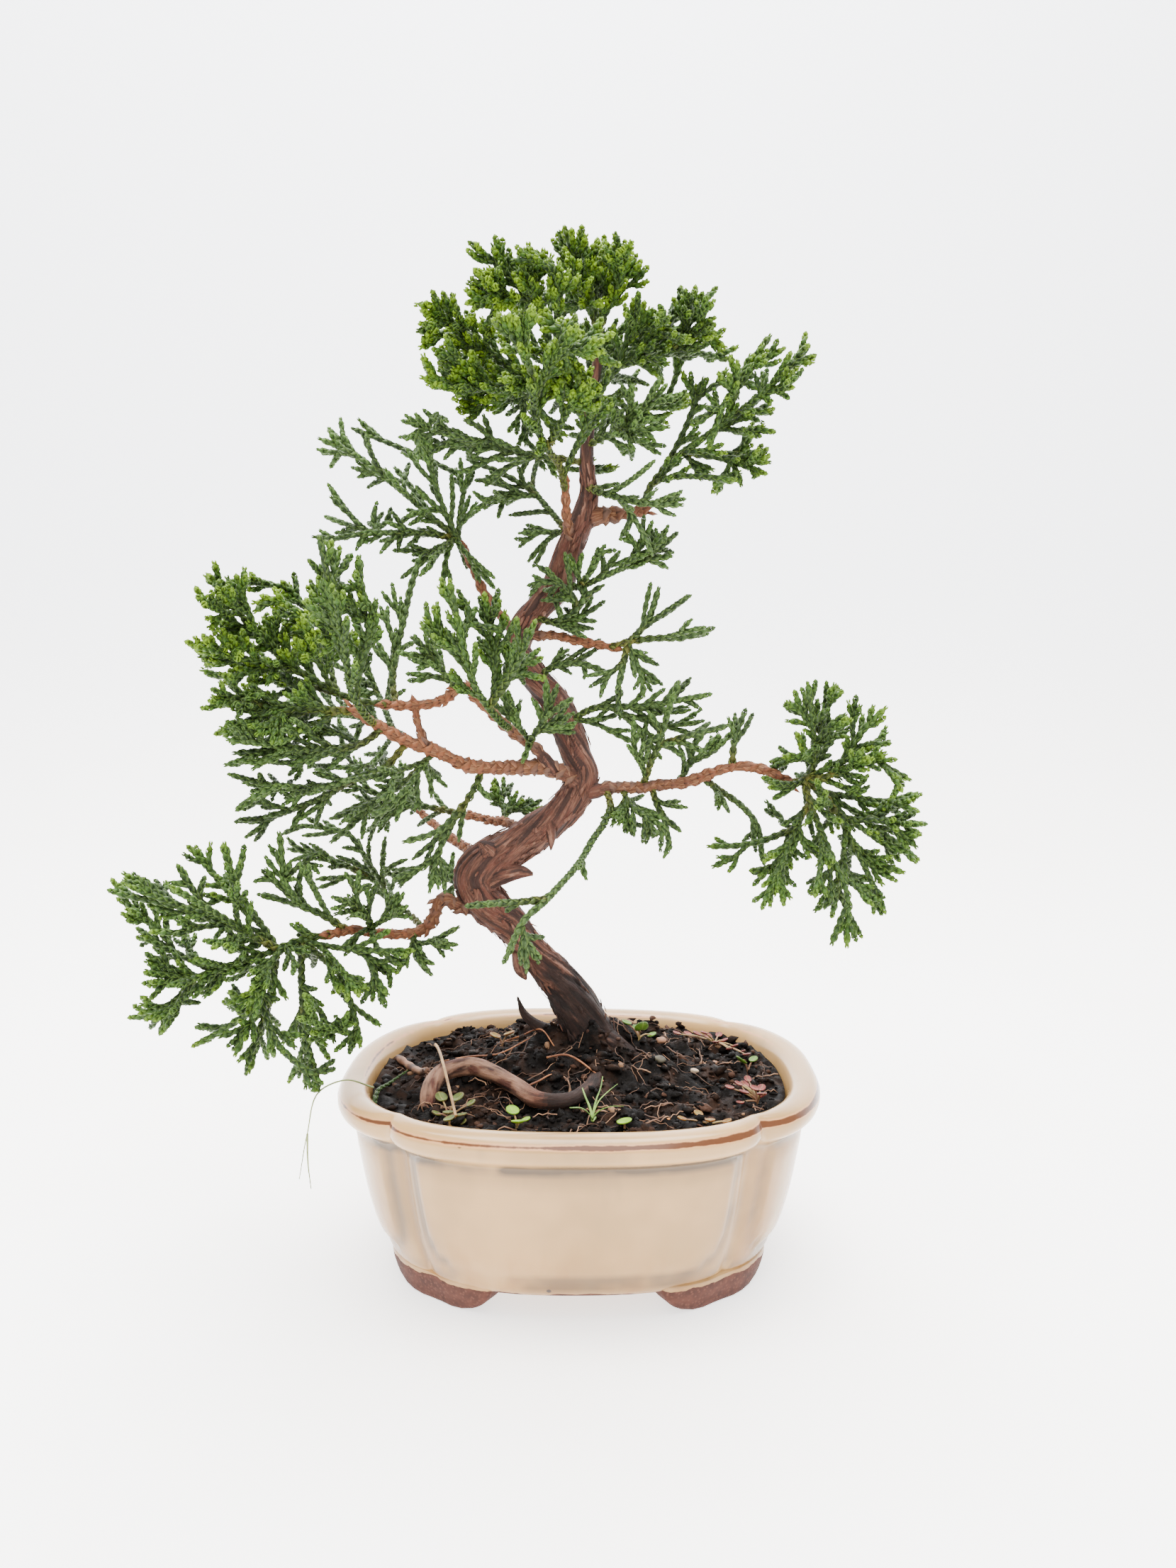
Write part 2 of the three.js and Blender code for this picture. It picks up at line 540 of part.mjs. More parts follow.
// Foliage: stems and tips are [across, up] or [across, up, depth]. depth gives a spray's depth
// at its start and at its far tips, spread how far its tips stray from that, and fill the
// number of shorter cords that thicken it between the tips.
const SPRAYS = {
  crown_top: {
    depth: [2, 4],
    spread: 15,
    fill: 1,
    stems: [
      [[5.6, 277, 2], [5, 290, 1], [2, 302, 3], [0.3, 313.7, 3]],
      [[5.2, 284, 2], [10, 296, -2], [17, 307, -4]],
    ],
    tips: [
      [-3.8, 315.4], [-5.2, 311], [-2, 311], [4.9, 311.5], [7.8, 309.8], [11.3, 309.8],
      [13.6, 308], [4.3, 304], [11.8, 305.3], [0.9, 296], [6.6, 294],
    ],
  },
  crown_peak: {
    depth: [0, -22],
    spread: 10,
    fill: 1,
    stems: [[[4.2, 270, 2], [-4, 282, -8], [-16, 297, -17], [-31.5, 312, -25]]],
    tips: [
      [-29.2, 303.6], [-22.3, 308.6], [-17.6, 308.4], [-14.2, 307.8], [-10.7, 309], [-8.4, 306],
      [-6, 302], [-27.7, 295.4], [-32.7, 294.8],
    ],
  },
  crown_left: {
    depth: [2, -4],
    spread: 16,
    fill: 1,
    stems: [[[3.4, 264, 2], [-10, 270, 0], [-24, 279, -2], [-38, 287, -4]]],
    tips: [
      [-45, 294.5], [-42, 292], [-39.3, 293.4], [-44.8, 286], [-46, 284], [-46.5, 278],
      [-46.5, 273], [-41.3, 275], [-37.6, 270], [-37, 267.4], [-35.8, 264.3],
    ],
  },
  crown_front: {
    depth: [-8, -56],
    spread: 5,
    fill: 1,
    stems: [
      [[-4.2, 240, -7], [-5.5, 246.5, -14], [-9.5, 252.5, -26], [-13, 261, -40], [-14, 274, -50]],
      [[-9.5, 252.5, -26], [-3, 263, -42], [1, 270, -50]],
    ],
    tips: [
      [-14.2, 292.8], [-15.3, 284], [-10, 287], [-23.4, 290.6], [-15.9, 274.7], [-22.8, 272.5],
      [-18.2, 270.5], [-8.4, 272], [0.9, 273.6], [4.9, 271.3], [6.6, 268], [2, 281.5],
      [-0.9, 277.6], [9.5, 285.5], [7.2, 280.4], [-1.4, 290], [-4.9, 289.4],
    ],
  },
  crown_low_left: {
    depth: [2, -2],
    spread: 10,
    fill: 1,
    stems: [[[2.4, 248, 2], [-10, 250, -1], [-25, 252.5, -3], [-38, 257, -4]]],
    tips: [
      [-46, 248.8], [-45.4, 253.3], [-48.8, 252], [-48.8, 262], [-43, 262.3], [-52.4, 260.3],
      [-26.9, 243.7],
    ],
  },
  crown_right: {
    depth: [2, 6],
    spread: 16,
    fill: 2,
    stems: [
      [[3.8, 267, 2], [13, 277, 4], [24, 287, 6], [34.5, 296, 6]],
      [[13, 277, 4], [26, 280, 2], [36.4, 285.7, 0]],
    ],
    tips: [
      [34.7, 298.4], [30.6, 298.4], [39, 294.4], [40, 290], [35.4, 291.6], [42, 284.8],
      [43.3, 282], [44.5, 278.5], [28.7, 295], [21.5, 280], [19.4, 288], [16.7, 295], [10, 286],
    ],
  },
  crown_right_far: {
    depth: [6, -12],
    spread: 9,
    fill: 1,
    stems: [
      [
        [20, 233.6, 4], [20.6, 238.4, 5], [25, 245, 4], [31.6, 251.4, 2], [41.6, 258.5, -2],
        [51.2, 265.5, -6], [60.8, 274, -10], [67.9, 282, -13],
      ],
      [[31.6, 251.4, 2], [42, 250, 4], [51.7, 251.5, 6]],
    ],
    tips: [
      [47.6, 277], [51.2, 278.7], [55, 279], [60.8, 281], [66.3, 276.8], [63.6, 270],
      [57.4, 268], [57.2, 262.7], [45.5, 273], [42.6, 272], [37.3, 272], [44.7, 267],
      [56.5, 251.7], [56.9, 248.2], [56, 245], [49, 242], [31.3, 244], [41.1, 240],
    ],
  },
  crown_low_right: {
    depth: [0, -18],
    spread: 6,
    fill: 1,
    stems: [[[2.6, 241, 1], [9, 238.4, -8], [19, 236.4, -14], [30.4, 235.5, -18]]],
    tips: [[22.2, 248], [11.2, 241.7], [15, 228], [22, 221.5]],
  },
  crown_middle: {
    depth: [1, -16],
    spread: 12,
    fill: 1,
    stems: [[[2.4, 253, 2], [10, 257, -6], [18, 263, -14]]],
    tips: [[17.7, 254.7], [26.3, 258.5], [13.4, 251], [10.8, 267], [30, 268], [24, 272]],
  },
  crown_back: {
    depth: [2, 40],
    spread: 6,
    fill: 1,
    stems: [
      [[2.8, 259, 2], [-2, 268, 18], [-12, 281, 34]],
      [[-2, 268, 18], [10, 276, 30], [20, 286, 36]],
      [[2.8, 259, 2], [3, 258, 20], [2, 256, 38]],
    ],
    tips: [
      [-30, 285, 30], [-20, 296, 32], [-8, 300, 34], [6, 299, 36], [18, 294, 34],
      [32, 282, 26], [-36, 274, 26], [-24, 264, 36], [-10, 274, 46], [4, 284, 46],
      [18, 272, 44], [33, 268, 32], [-16, 254, 36], [16, 256, 40], [26, 260, 32],
      [-6, 246, 36], [10, 246, 32],
    ],
  },
  fan_left: {
    depth: [10, 6],
    spread: 8,
    fill: 1,
    stems: [
      [[-34.4, 220.6, 10], [-37, 225, 10], [-45, 232, 8], [-52, 238.5, 5], [-60, 245, 2], [-69, 251, 0]],
      [[-37, 225, 10], [-45, 227, 7], [-56, 227.4, 4], [-66, 227, 2]],
    ],
    tips: [
      [-77.7, 255], [-74, 254], [-71, 256], [-67.6, 258], [-64.8, 257], [-75.6, 241],
      [-74.8, 247.6], [-44.7, 241], [-76.7, 232], [-78.2, 227.5], [-78.7, 224.5],
      [-61.4, 231.6], [-55, 223], [-53.5, 214.3], [-45.7, 216.8, -8], [-47.8, 239], [-39.5, 246],
      [-33, 246], [-46.8, 253], [-41.5, 212], [-30.7, 234],
    ],
  },
  fan_middle: {
    depth: [4, 14],
    spread: 8,
    fill: 1,
    stems: [[[-2.6, 226, 4], [-8, 233, 10], [-14.3, 240.7, 14]]],
    tips: [
      [-31.3, 239], [-27.2, 243.8], [-33, 248.8], [-21.5, 236], [-14.8, 219.4], [-24.3, 232.6],
      [-12, 250, 20],
    ],
  },
  mid_high: {
    depth: [2, -6],
    spread: 5,
    fill: 1,
    stems: [
      [[-6.6, 210.6, 3], [0.4, 211.2, -2], [8, 214.2, -5], [16.8, 217.8, -6], [20, 219, -6]],
      [[0.4, 211.2, -2], [3, 214.6, -7], [5.6, 218.6, -8]],
    ],
    tips: [
      [22, 229.7], [24, 225.8], [29.3, 226.6], [28.2, 221.5], [26.4, 217], [-2.5, 218.5, -9],
      [0.9, 220, -8],
    ],
  },
  mid_upright: {
    depth: [3, -6],
    spread: 5,
    fill: 1,
    stems: [[[-13.6, 202, 4], [-8, 200.4, -1], [-3, 202.4, -4], [3.2, 209, -6]]],
    tips: [[-4, 207.6], [6.8, 211], [7, 206], [4.3, 200.6], [-12.1, 217, -8], [-14.5, 211.6, -6]],
  },
  mid_light: {
    depth: [-6, -10],
    spread: 4,
    fill: 0,
    stems: [
      [[9.6, 192.8, -6], [15.7, 194.6, -8], [20, 199, -9], [24, 210.6, -10]],
      [[15.7, 194.6, -8], [22, 195, -9], [31, 195.6, -10], [40.7, 198, -11]],
      [[15.7, 194.6, -8], [13.4, 186, -10], [12, 180, -11]],
    ],
    tips: [[33.4, 207.8], [23.5, 187.6], [4.3, 181], [11.9, 173], [20, 178.3]],
  },
  mid_low: {
    depth: [3, -6],
    spread: 3,
    fill: 0,
    stems: [[[-13, 183.4, 4], [-7, 187, -1], [0, 187.6, -4], [6.9, 186.4, -6]]],
    tips: [[2.4, 190.2, -2], [-5.6, 191.5], [1.7, 184]],
  },
  mid_long: {
    depth: [1, -6],
    spread: 5,
    fill: 1,
    stems: [[[-4, 169, 2], [3.8, 173.4, -3], [14, 174.6, -6], [27.7, 175.4, -8], [40.2, 178.6, -9]]],
    tips: [
      [30.3, 181.4], [36.6, 172.6], [35, 166], [17.3, 169], [25, 159], [8, 168], [34, 182.6],
    ],
  },
  mid_front: {
    depth: [-12, -26],
    spread: 4,
    fill: 1,
    stems: [[[-15.6, 162.6, -10], [-14.4, 165, -18], [-10.6, 171, -22], [-7, 180, -24]]],
    tips: [[-19.6, 173], [-2.6, 176.5], [-23, 178.8], [-3, 168]],
  },
  right_up_inner: {
    depth: [-4, -12],
    spread: 6,
    fill: 1,
    stems: [
      [[20, 149.8, -4], [22, 156, -7], [24.8, 162, -10], [26.6, 168.8, -12], [30.6, 181, -15]],
      [[24.8, 162, -10], [34, 165, -12], [45.5, 168.6, -14]],
    ],
    tips: [[15.6, 161.8], [17, 170], [38.5, 160.4]],
  },
  right_up_outer: {
    depth: [-4, 4],
    spread: 5,
    fill: 1,
    stems: [[[31, 150.4, -4], [34.6, 156.5, 0], [39.8, 159.2, 2], [47.2, 165.7, 5]]],
    tips: [[31.4, 161.3], [36.6, 165.4], [43, 166]],
  },
  right_up_far: {
    depth: [-5, -2],
    spread: 2,
    fill: 0,
    stems: [[[47.6, 155.6, -5], [48.2, 163, -4], [50.8, 172.5, -2]]],
    tips: [[46.6, 170]],
  },
  right_knot: {
    depth: [-3, -12],
    spread: 6,
    fill: 1,
    stems: [[[14, 149.2, -3], [15, 144.6, -7], [18.3, 142, -10], [26, 137.4, -12]]],
    tips: [[12.6, 138], [17, 137.6], [19.4, 146.4], [22.7, 134.6], [10.6, 142.6]],
  },
  right_whip: {
    depth: [-4, -48],
    spread: 4,
    fill: 0,
    stems: [
      [
        [8.4, 148.7, -2], [9.8, 143.6, -9], [8.2, 138.6, -16], [4.6, 133.2, -23],
        [1, 127, -30], [-6.2, 118, -38], [-11, 112.6, -43], [-16, 107.8, -46], [-23.9, 94.2, -49],
      ],
      [[-10, 113.6, -42], [-20, 112.6, -45], [-35, 112.2, -48]],
    ],
    tips: [[-12.1, 101.5, -44], [-16.7, 91.2, -50], [-13, 95.6, -47]],
  },
  right_down: {
    depth: [-4, -8],
    spread: 4,
    fill: 0,
    stems: [[[22.6, 149.8, -4], [24.2, 144.5, -5], [26.6, 140, -6], [28.4, 131, -7]]],
    tips: [[32.8, 143], [23.6, 134]],
  },
  right_down_far: {
    depth: [-4, 4],
    spread: 4,
    fill: 0,
    stems: [[[38, 152.4, -4], [44.6, 148, 0], [49.4, 144.6, 1], [54, 139.4, 2], [58, 126, 3]]],
    tips: [[46.4, 142.3], [42.9, 144.4], [52, 133]],
  },
  right_end: {
    depth: [-8, -14],
    spread: 11,
    fill: 2,
    stems: [
      [[65.6, 150.8, -8], [69.6, 151.4, -8], [73.9, 161, -9], [76.5, 176, -10]],
      [[69.6, 151.4, -8], [78, 153, -11], [84, 161, -13], [89, 168.8, -14], [94.7, 174, -15]],
      [[78, 153, -11], [89.7, 157, -14], [97.5, 158, -16]],
      [[69.6, 151.4, -8], [76, 148, -6], [86.7, 146, -4], [95, 145, -3], [104.5, 147.4, -2]],
      [[76, 148, -6], [81, 141, -10], [93.3, 138.6, -14], [107.4, 138.3, -18]],
      [[81, 141, -10], [86, 132, -14], [97, 123.6, -18]],
      [
        [69.6, 151.4, -8], [72.4, 144, -12], [76.4, 134, -18], [80.3, 125, -22],
        [84, 117, -24], [84.8, 100, -26],
      ],
      [[72.4, 144, -12], [67, 136, -8], [62.6, 126.5, -5], [55.3, 118.7, -3]],
      [[67, 136, -8], [57.8, 132.6, -3], [49, 130.6, 0], [41.1, 130.4, 2]],
    ],
    tips: [
      [70.7, 181], [69.2, 179], [64.7, 175.5], [79.3, 180], [81.8, 171.5], [69.3, 169.4],
      [68, 165.3], [64.2, 159], [60.3, 157.4], [94.7, 167.3], [95.4, 163.4], [82.4, 169.4],
      [102.2, 152], [96.5, 142], [92.6, 135], [106, 134.3], [102.7, 130.7], [105.6, 127],
      [101.2, 122.6], [89.4, 121], [88.7, 102.6], [96, 110.5], [94.4, 114.8], [90, 117.4],
      [79.8, 109], [76, 113], [72.4, 119.3], [60.2, 112.6], [64.7, 114.8], [54.6, 123],
      [66.4, 124.5], [72, 128],
    ],
  },
  pad_top: {
    depth: [-15, -20],
    spread: 17,
    fill: 3,
    stems: [
      [
        [-59, 175, -15], [-66.5, 175.8, -16], [-75, 178.6, -17], [-85.5, 185, -18],
        [-98, 196, -19], [-109, 208.8, -20],
      ],
      [[-75, 178.6, -17], [-92, 184, -12], [-104, 189, -10], [-115, 188.6, -8]],
    ],
    tips: [
      [-113, 214], [-105, 213.5], [-107, 202.8], [-100.8, 212.7], [-90.5, 212], [-82, 212],
      [-112, 198], [-117, 191.3], [-115, 184.6], [-109.7, 181.6], [-104, 196], [-96, 194],
      [-97.3, 182.5], [-93, 204.7], [-83.7, 202.7], [-76, 204], [-70, 197], [-88, 197],
    ],
  },
  pad_outer: {
    depth: [-22, -28],
    spread: 15,
    fill: 2,
    stems: [[[-70, 172.8, -22], [-80, 173.4, -24], [-92, 173.6, -26], [-106, 175.8, -28]]],
    tips: [
      [-113, 179.4], [-112, 174.5], [-102, 180], [-106.6, 169.5], [-112.3, 166], [-107, 163.7],
      [-101, 171], [-92, 184], [-90, 166], [-98, 162], [-84, 182], [-84, 164],
    ],
  },
  pad_front: {
    depth: [-24, -56],
    spread: 4,
    fill: 1,
    stems: [
      [
        [-63.4, 168.8, -20], [-66.4, 172, -33], [-70, 179, -44], [-72, 190, -52],
        [-74.4, 200.5, -55], [-77, 215, -56],
      ],
    ],
    tips: [
      [-79, 225], [-76.5, 223.6], [-73.3, 222], [-82, 218.4], [-67.5, 219], [-69.5, 212],
      [-66.6, 209.3], [-62, 201.8], [-80, 202.5], [-80, 195], [-66, 196],
    ],
  },
  pad_whip: {
    depth: [-14, -8],
    spread: 4,
    fill: 0,
    stems: [[[-56.6, 174.8, -14], [-57.6, 182, -11], [-56.6, 189.5, -9], [-53.6, 202, -7], [-49.3, 220, -5]]],
    tips: [[-60.6, 204], [-62, 194], [-51, 194]],
  },
  pad_middle: {
    depth: [-12, -46],
    spread: 5,
    fill: 1,
    stems: [
      [
        [-21.6, 167.6, -11], [-24.4, 169.6, -24], [-28, 174.4, -34], [-32, 180.4, -40],
        [-35.4, 191, -44], [-38, 204, -46],
      ],
      [[-28, 174.4, -34], [-21, 184, -40], [-14.2, 200, -44]],
    ],
    tips: [
      [-39.4, 212], [-36.6, 209], [-34, 205.4], [-43.5, 205.3], [-46.8, 201], [-28.8, 208],
      [-22.9, 202.8], [-12.8, 191.5], [-44, 193], [-27, 196], [-12, 183],
    ],
  },
  pad_small: {
    depth: [-13, -22],
    spread: 5,
    fill: 0,
    stems: [[[-37.6, 179.6, -13], [-41, 184, -18], [-45.6, 189.6, -22]]],
    tips: [[-54, 190.5], [-50, 195.4], [-45.6, 196.8], [-52, 184.4]],
  },
  pad_low_outer: {
    depth: [-20, -30],
    spread: 12,
    fill: 1,
    stems: [[[-61, 167.5, -20], [-68, 162.6, -23], [-80, 161.2, -26], [-94, 160.6, -28], [-107, 160.4, -30]]],
    tips: [
      [-108.6, 164], [-101, 155.4], [-106.4, 156.3], [-92, 166], [-90, 153.5], [-78, 155],
      [-76, 168],
    ],
  },
  pad_low_middle: {
    depth: [-18, -20],
    spread: 12,
    fill: 1,
    stems: [
      [[-53, 163.8, -18], [-60, 156, -19], [-70, 152, -20], [-84, 148.6, -20], [-104, 150.5, -20]],
      [[-70, 152, -20], [-84, 144, -16], [-96, 140, -14], [-107, 138, -13]],
    ],
    tips: [
      [-108.6, 153], [-106.4, 143], [-101.6, 135], [-95.8, 146], [-90, 136], [-82.6, 137.3],
      [-90, 151],
    ],
  },
  pad_low_inner: {
    depth: [-16, -14],
    spread: 9,
    fill: 1,
    stems: [[[-45, 160.5, -16], [-50, 155, -13], [-58, 148, -10], [-66.5, 142, -9], [-78, 132, -8]]],
    tips: [[-76.7, 139.5], [-68, 134], [-57, 139.5, -26], [-66, 153], [-50, 143], [-42, 150]],
  },
  pad_back: {
    depth: [-17, 40],
    spread: 7,
    fill: 1,
    stems: [
      [[-51, 163, -17], [-58, 167, 2], [-68, 171, 20], [-82, 172, 34]],
      [[-58, 167, 2], [-62, 178, 16], [-66, 186, 26]],
    ],
    tips: [
      [-100, 172, 42], [-94, 184, 34], [-96, 162, 36], [-82, 190, 30], [-80, 156, 32],
      [-72, 196, 24], [-66, 152, 26], [-56, 190, 22], [-60, 160, 34], [-90, 176, 48],
    ],
  },
  under_whip: {
    depth: [-12, -18],
    spread: 4,
    fill: 0,
    stems: [
      [
        [-30, 155, -12], [-32, 150, -14], [-35.7, 143.6, -15], [-41.5, 135.8, -17],
        [-45.4, 127, -18], [-56.5, 119, -20],
      ],
      [[-35.7, 143.6, -15], [-44, 135.4, -22], [-54, 132.4, -26]],
    ],
    tips: [[-47, 116.8], [-28.4, 146, -15]],
  },
  under_left: {
    depth: [18, 26],
    spread: 6,
    fill: 1,
    stems: [[[-37, 140.8, 17.5], [-44, 142.4, 20], [-55, 143.4, 23], [-66, 142, 26]]],
    tips: [[-62.5, 135.8], [-57, 150], [-50, 137.4], [-68, 148]],
  },
  under_bright: {
    depth: [8, 22],
    spread: 5,
    fill: 1,
    stems: [[[-23.6, 138, 7], [-23, 141.6, 13], [-24, 146, 18]]],
    tips: [[-30, 147.6], [-19.6, 147], [-26, 151], [-14, 143.6]],
  },
  back_low_spray: {
    depth: [38, 52],
    spread: 8,
    fill: 1,
    stems: [[[-48.6, 140.4, 37.6], [-54, 144.6, 42], [-62, 147, 46], [-74, 150, 50]]],
    tips: [
      [-76.7, 139.7], [-82, 156], [-70, 158], [-60, 136], [-58, 156], [-66, 132], [-50, 152],
      [-84, 147],
    ],
  },
  back_sprig: {
    depth: [4, 14],
    spread: 4,
    fill: 0,
    stems: [[[-36, 120.6, -1], [-40, 119.6, 7], [-43.4, 121, 11]]],
    tips: [[-46.6, 118.6], [-44, 127], [-39.6, 127.6], [-41, 114.6]],
  },
  low_pad: {
    depth: [-26, -44],
    spread: 13,
    fill: 3,
    stems: [
      [
        [-78.6, 102.4, -25.6], [-88, 100.4, -30], [-96, 97.4, -34], [-108.5, 92.4, -38],
        [-122, 88.4, -40], [-137.5, 86.3, -42],
      ],
      [[-96, 97.4, -34], [-108, 104, -40], [-122, 110, -44], [-136, 113, -46], [-147, 116, -48]],
      [[-96, 97.4, -34], [-104, 110, -30], [-114, 120, -28], [-123, 128.8, -26]],
      [[-96, 97.4, -34], [-98, 85, -32], [-101, 73, -30], [-106.5, 57, -28]],
      [[-88, 100.4, -30], [-88.6, 84, -30], [-87.5, 70.6, -30], [-84, 51.6, -30]],
      [[-88, 100.4, -30], [-79, 92, -24], [-71, 84.4, -20]],
      [[-122, 88.4, -40], [-130, 80, -42], [-139.6, 75.6, -44]],
    ],
    tips: [
      [-141.5, 117.4], [-142.7, 110], [-139.5, 103.6], [-133.5, 119], [-128, 117, -62],
      [-138.3, 99], [-126, 123.4], [-116, 130.5], [-111.3, 130.5], [-107, 124.7], [-136, 93.7],
      [-139, 81], [-131.5, 72.6], [-123, 66], [-124.6, 80], [-113, 80], [-104.4, 84.5, -52],
      [-110, 63.5], [-95.6, 64.4], [-93, 54.5], [-88, 55], [-79.4, 58], [-77.4, 64.8],
      [-70.2, 66.4], [-74.2, 73], [-78, 84], [-62, 79.7], [-116, 98, -58], [-128, 102, -54],
    ],
  },
  low_up: {
    depth: [-24, -30],
    spread: 6,
    fill: 1,
    stems: [[[-73, 103.2, -23], [-80, 108, -25], [-90, 113, -28], [-94, 134, -30]]],
    tips: [[-87.5, 124.3], [-82, 124.3], [-84, 118], [-99, 122]],
  },
  low_front: {
    depth: [-18, -34],
    spread: 5,
    fill: 1,
    stems: [[[-65, 102.8, -19], [-67, 107.6, -25], [-70, 113, -29], [-69.8, 121, -31]]],
    tips: [[-77.2, 114], [-59.3, 113.7], [-54, 107.8], [-75, 98, -30], [-63, 96, -30]],
  },
  low_back: {
    depth: [-10, 18],
    spread: 6,
    fill: 1,
    stems: [
      [[-49.6, 104.3, -11], [-53, 108.4, 0], [-59.3, 114, 8], [-69, 124.3, 16]],
      [[-65.6, 120.7, 13.4], [-76, 125.6, 17], [-91, 129.5, 20]],
    ],
    tips: [
      [-87.5, 137], [-92.7, 134.5], [-79.8, 138.3], [-72.4, 135], [-60.9, 132.6], [-55, 126],
      [-56.4, 119.5], [-82, 120],
    ],
  },
  low_hang: {
    depth: [-12, -20],
    spread: 4,
    fill: 0,
    stems: [[[-52.4, 103.2, -12.6], [-52.6, 98.6, -15], [-51, 94, -17], [-48, 90, -18]]],
    tips: [[-40.4, 103.6], [-41, 97.6], [-57.6, 90.4], [-54.6, 92.6]],
  },
};

// Shortest distance between two straight stretches.
function stretchGap(a, b, c, d) {
  const u = b.clone().sub(a);
  const v = d.clone().sub(c);
  const w = a.clone().sub(c);
  const [uu, uv, vv, uw, vw] = [u.dot(u), u.dot(v), v.dot(v), u.dot(w), v.dot(w)];
  const spread = uu * vv - uv * uv;
  let s = spread > 1e-9 ? THREE.MathUtils.clamp((uv * vw - vv * uw) / spread, 0, 1) : 0;
  const t = THREE.MathUtils.clamp((uv * s + vw) / Math.max(vv, 1e-9), 0, 1);
  s = THREE.MathUtils.clamp((uv * t - uw) / Math.max(uu, 1e-9), 0, 1);
  return a.clone().addScaledVector(u, s).distanceTo(c.clone().addScaledVector(v, t));
}

// What is already placed: straight stretches with a radius and the name of their node.
const placed = [];

function occupy(points, radii, owner) {
  for (let i = 1; i < points.length; i += 1) {
    const radius = Math.max(radii[i - 1], radii[i]);
    placed.push({ from: points[i - 1], to: points[i], radius, owner });
  }
}

// True where a cord stays clear of every other node. Near its spray's root it may meet the wood.
function isClear(points, radius, owner, root) {
  for (let i = 1; i < points.length; i += 1) {
    const start = points[i - 1];
    for (const other of placed) {
      if (other.owner === owner) continue;
      if (other.owner === "wood" && start.distanceTo(root) < ROOT_FREE) continue;
      const room = radius + other.radius + SPRAY_GAP;
      if (stretchGap(start, points[i], other.from, other.to) < room) return false;
    }
    const { x, y, z } = points[i];
    const overPot = Math.hypot(x / (POT_HALF_LENGTH + 2), y / (POT_HALF_DEPTH + 2)) < 1;
    const floor = overPot ? Math.max(POT_HEIGHT, soilTop(x, y)) : 0;
    if (z - radius < floor + 1) return false;
  }
  return true;
}

// Bends a cord along the sight lines, more towards its tip, until it is clear. Null if it can't.
function bentClear(points, radius, owner, root) {
  for (let step = 0; step <= BEND_STEPS; step += 1) {
    for (const side of [1, -1]) {
      const bent = points.map((point, i) => {
        const shift = (side * step * BEND_STEP * i) / (points.length - 1);
        const stretch = (point.y + shift - EYE.y) / (point.y - EYE.y);
        return point.clone().sub(EYE).multiplyScalar(stretch).add(EYE);
      });
      if (isClear(bent, radius, owner, root)) return bent;
    }
  }
  return null;
}

// Evenly spaced points on the smooth curve through the given ones.
function smoothed(points, spacing) {
  const curve = new THREE.CatmullRomCurve3(points, false, "centripetal");
  return curve.getSpacedPoints(Math.max(2, Math.round(curve.getLength() / spacing)));
}

// A bud is a spray that is ready to grow: where it leaves the wood, and its own draws.
function budOf(name, spray, seed) {
  const [across, up, depth] = spray.stems[0][0];
  return { name, spray, draw: drawsFrom(seed), cords: [], root: seen(across, up, depth) };
}

// Adds a cord to a spray where it finds a clear way, and says whether it did.
function addCord(bud, points, level) {
  const { name, cords, root } = bud;
  const radius = level ? CORD_RADIUS : STEM_RADIUS;
  const bent = bentClear(points, radius, name, root);
  if (!bent) return false;
  cords.push({ points: bent, radius, level, forks: [] });
  const outside = [...bent];
  if (outside[0].distanceTo(root) < 0.1) {
    outside[0] = outside[0].clone().lerp(outside[1], ROOT_SINK / outside[0].distanceTo(outside[1]));
  }
  occupy(outside, outside.map(() => radius), name);
  return true;
}

// The point nearest to a spot on the cords that have grown.
function nearestOn(cords, spot) {
  let best = null;
  for (const { points } of cords) {
    for (let i = 1; i < points.length; i += 1) {
      const near = new THREE.Vector3();
      new THREE.Line3(points[i - 1], points[i]).closestPointToPoint(spot, true, near);
      if (!best || near.distanceTo(spot) < best.distanceTo(spot)) best = near;
    }
  }
  return best;
}

// Grows a spray's stems: the first from the wood, each other one from those before it.
function plantStems(bud) {
  for (const rows of bud.spray.stems) {
    const places = placesOf(rows);
    if (bud.cords.length) places[0] = nearestOn(bud.cords, places[0]);
    const points = smoothed(places, STEM_SPACING);
    if (!addCord(bud, points, 0)) throw new Error(`${bud.name}: a stem has no clear way`);
  }
}

// The places on a cord that another can fork from: { point, way, level, cord, at }.
function forkPlaces(cord, root) {
  const places = [];
  let walked = 0;
  for (let i = 1; i < cord.points.length; i += 1) {
    const [start, end] = [cord.points[i - 1], cord.points[i]];
    const length = start.distanceTo(end);
    const way = end.clone().sub(start).normalize();
    const count = Math.max(1, Math.round(length / FORK_SPACING));
    for (let k = 0; k < count; k += 1) {
      const point = start.clone().lerp(end, (k + 0.5) / count);
      const at = walked + (length * (k + 0.5)) / count;
      if (point.distanceTo(root) > SHORTEST_CORD) places.push({ point, way, cord, at });
    }
    walked += length;
  }
  return places;
}

const TURN_COST = 1.3;
const LEVEL_COST = 1.5;
const CROWD_COST = 2;
const STUB_COST = 20;

// The cost of forking towards a tip from a place: length, turn, depth of fork, and crowding.
function forkCost({ point, way, cord, at }, tip) {
  const toTip = tip.clone().sub(point);
  const length = toTip.length();
  const turn = 1 - toTip.dot(way) / Math.max(length, 1e-6);
  const near = cord.forks.filter((fork) => Math.abs(fork - at) < FORK_SPACING).length;
  const tooShort = length < SHORTEST_CORD ? STUB_COST : 0;
  return length * (1 + TURN_COST * turn) + LEVEL_COST * cord.level + CROWD_COST * near + tooShort;
}

const BOW_REACH = 0.42; // how far along a cord its bend lies, as a share of its length

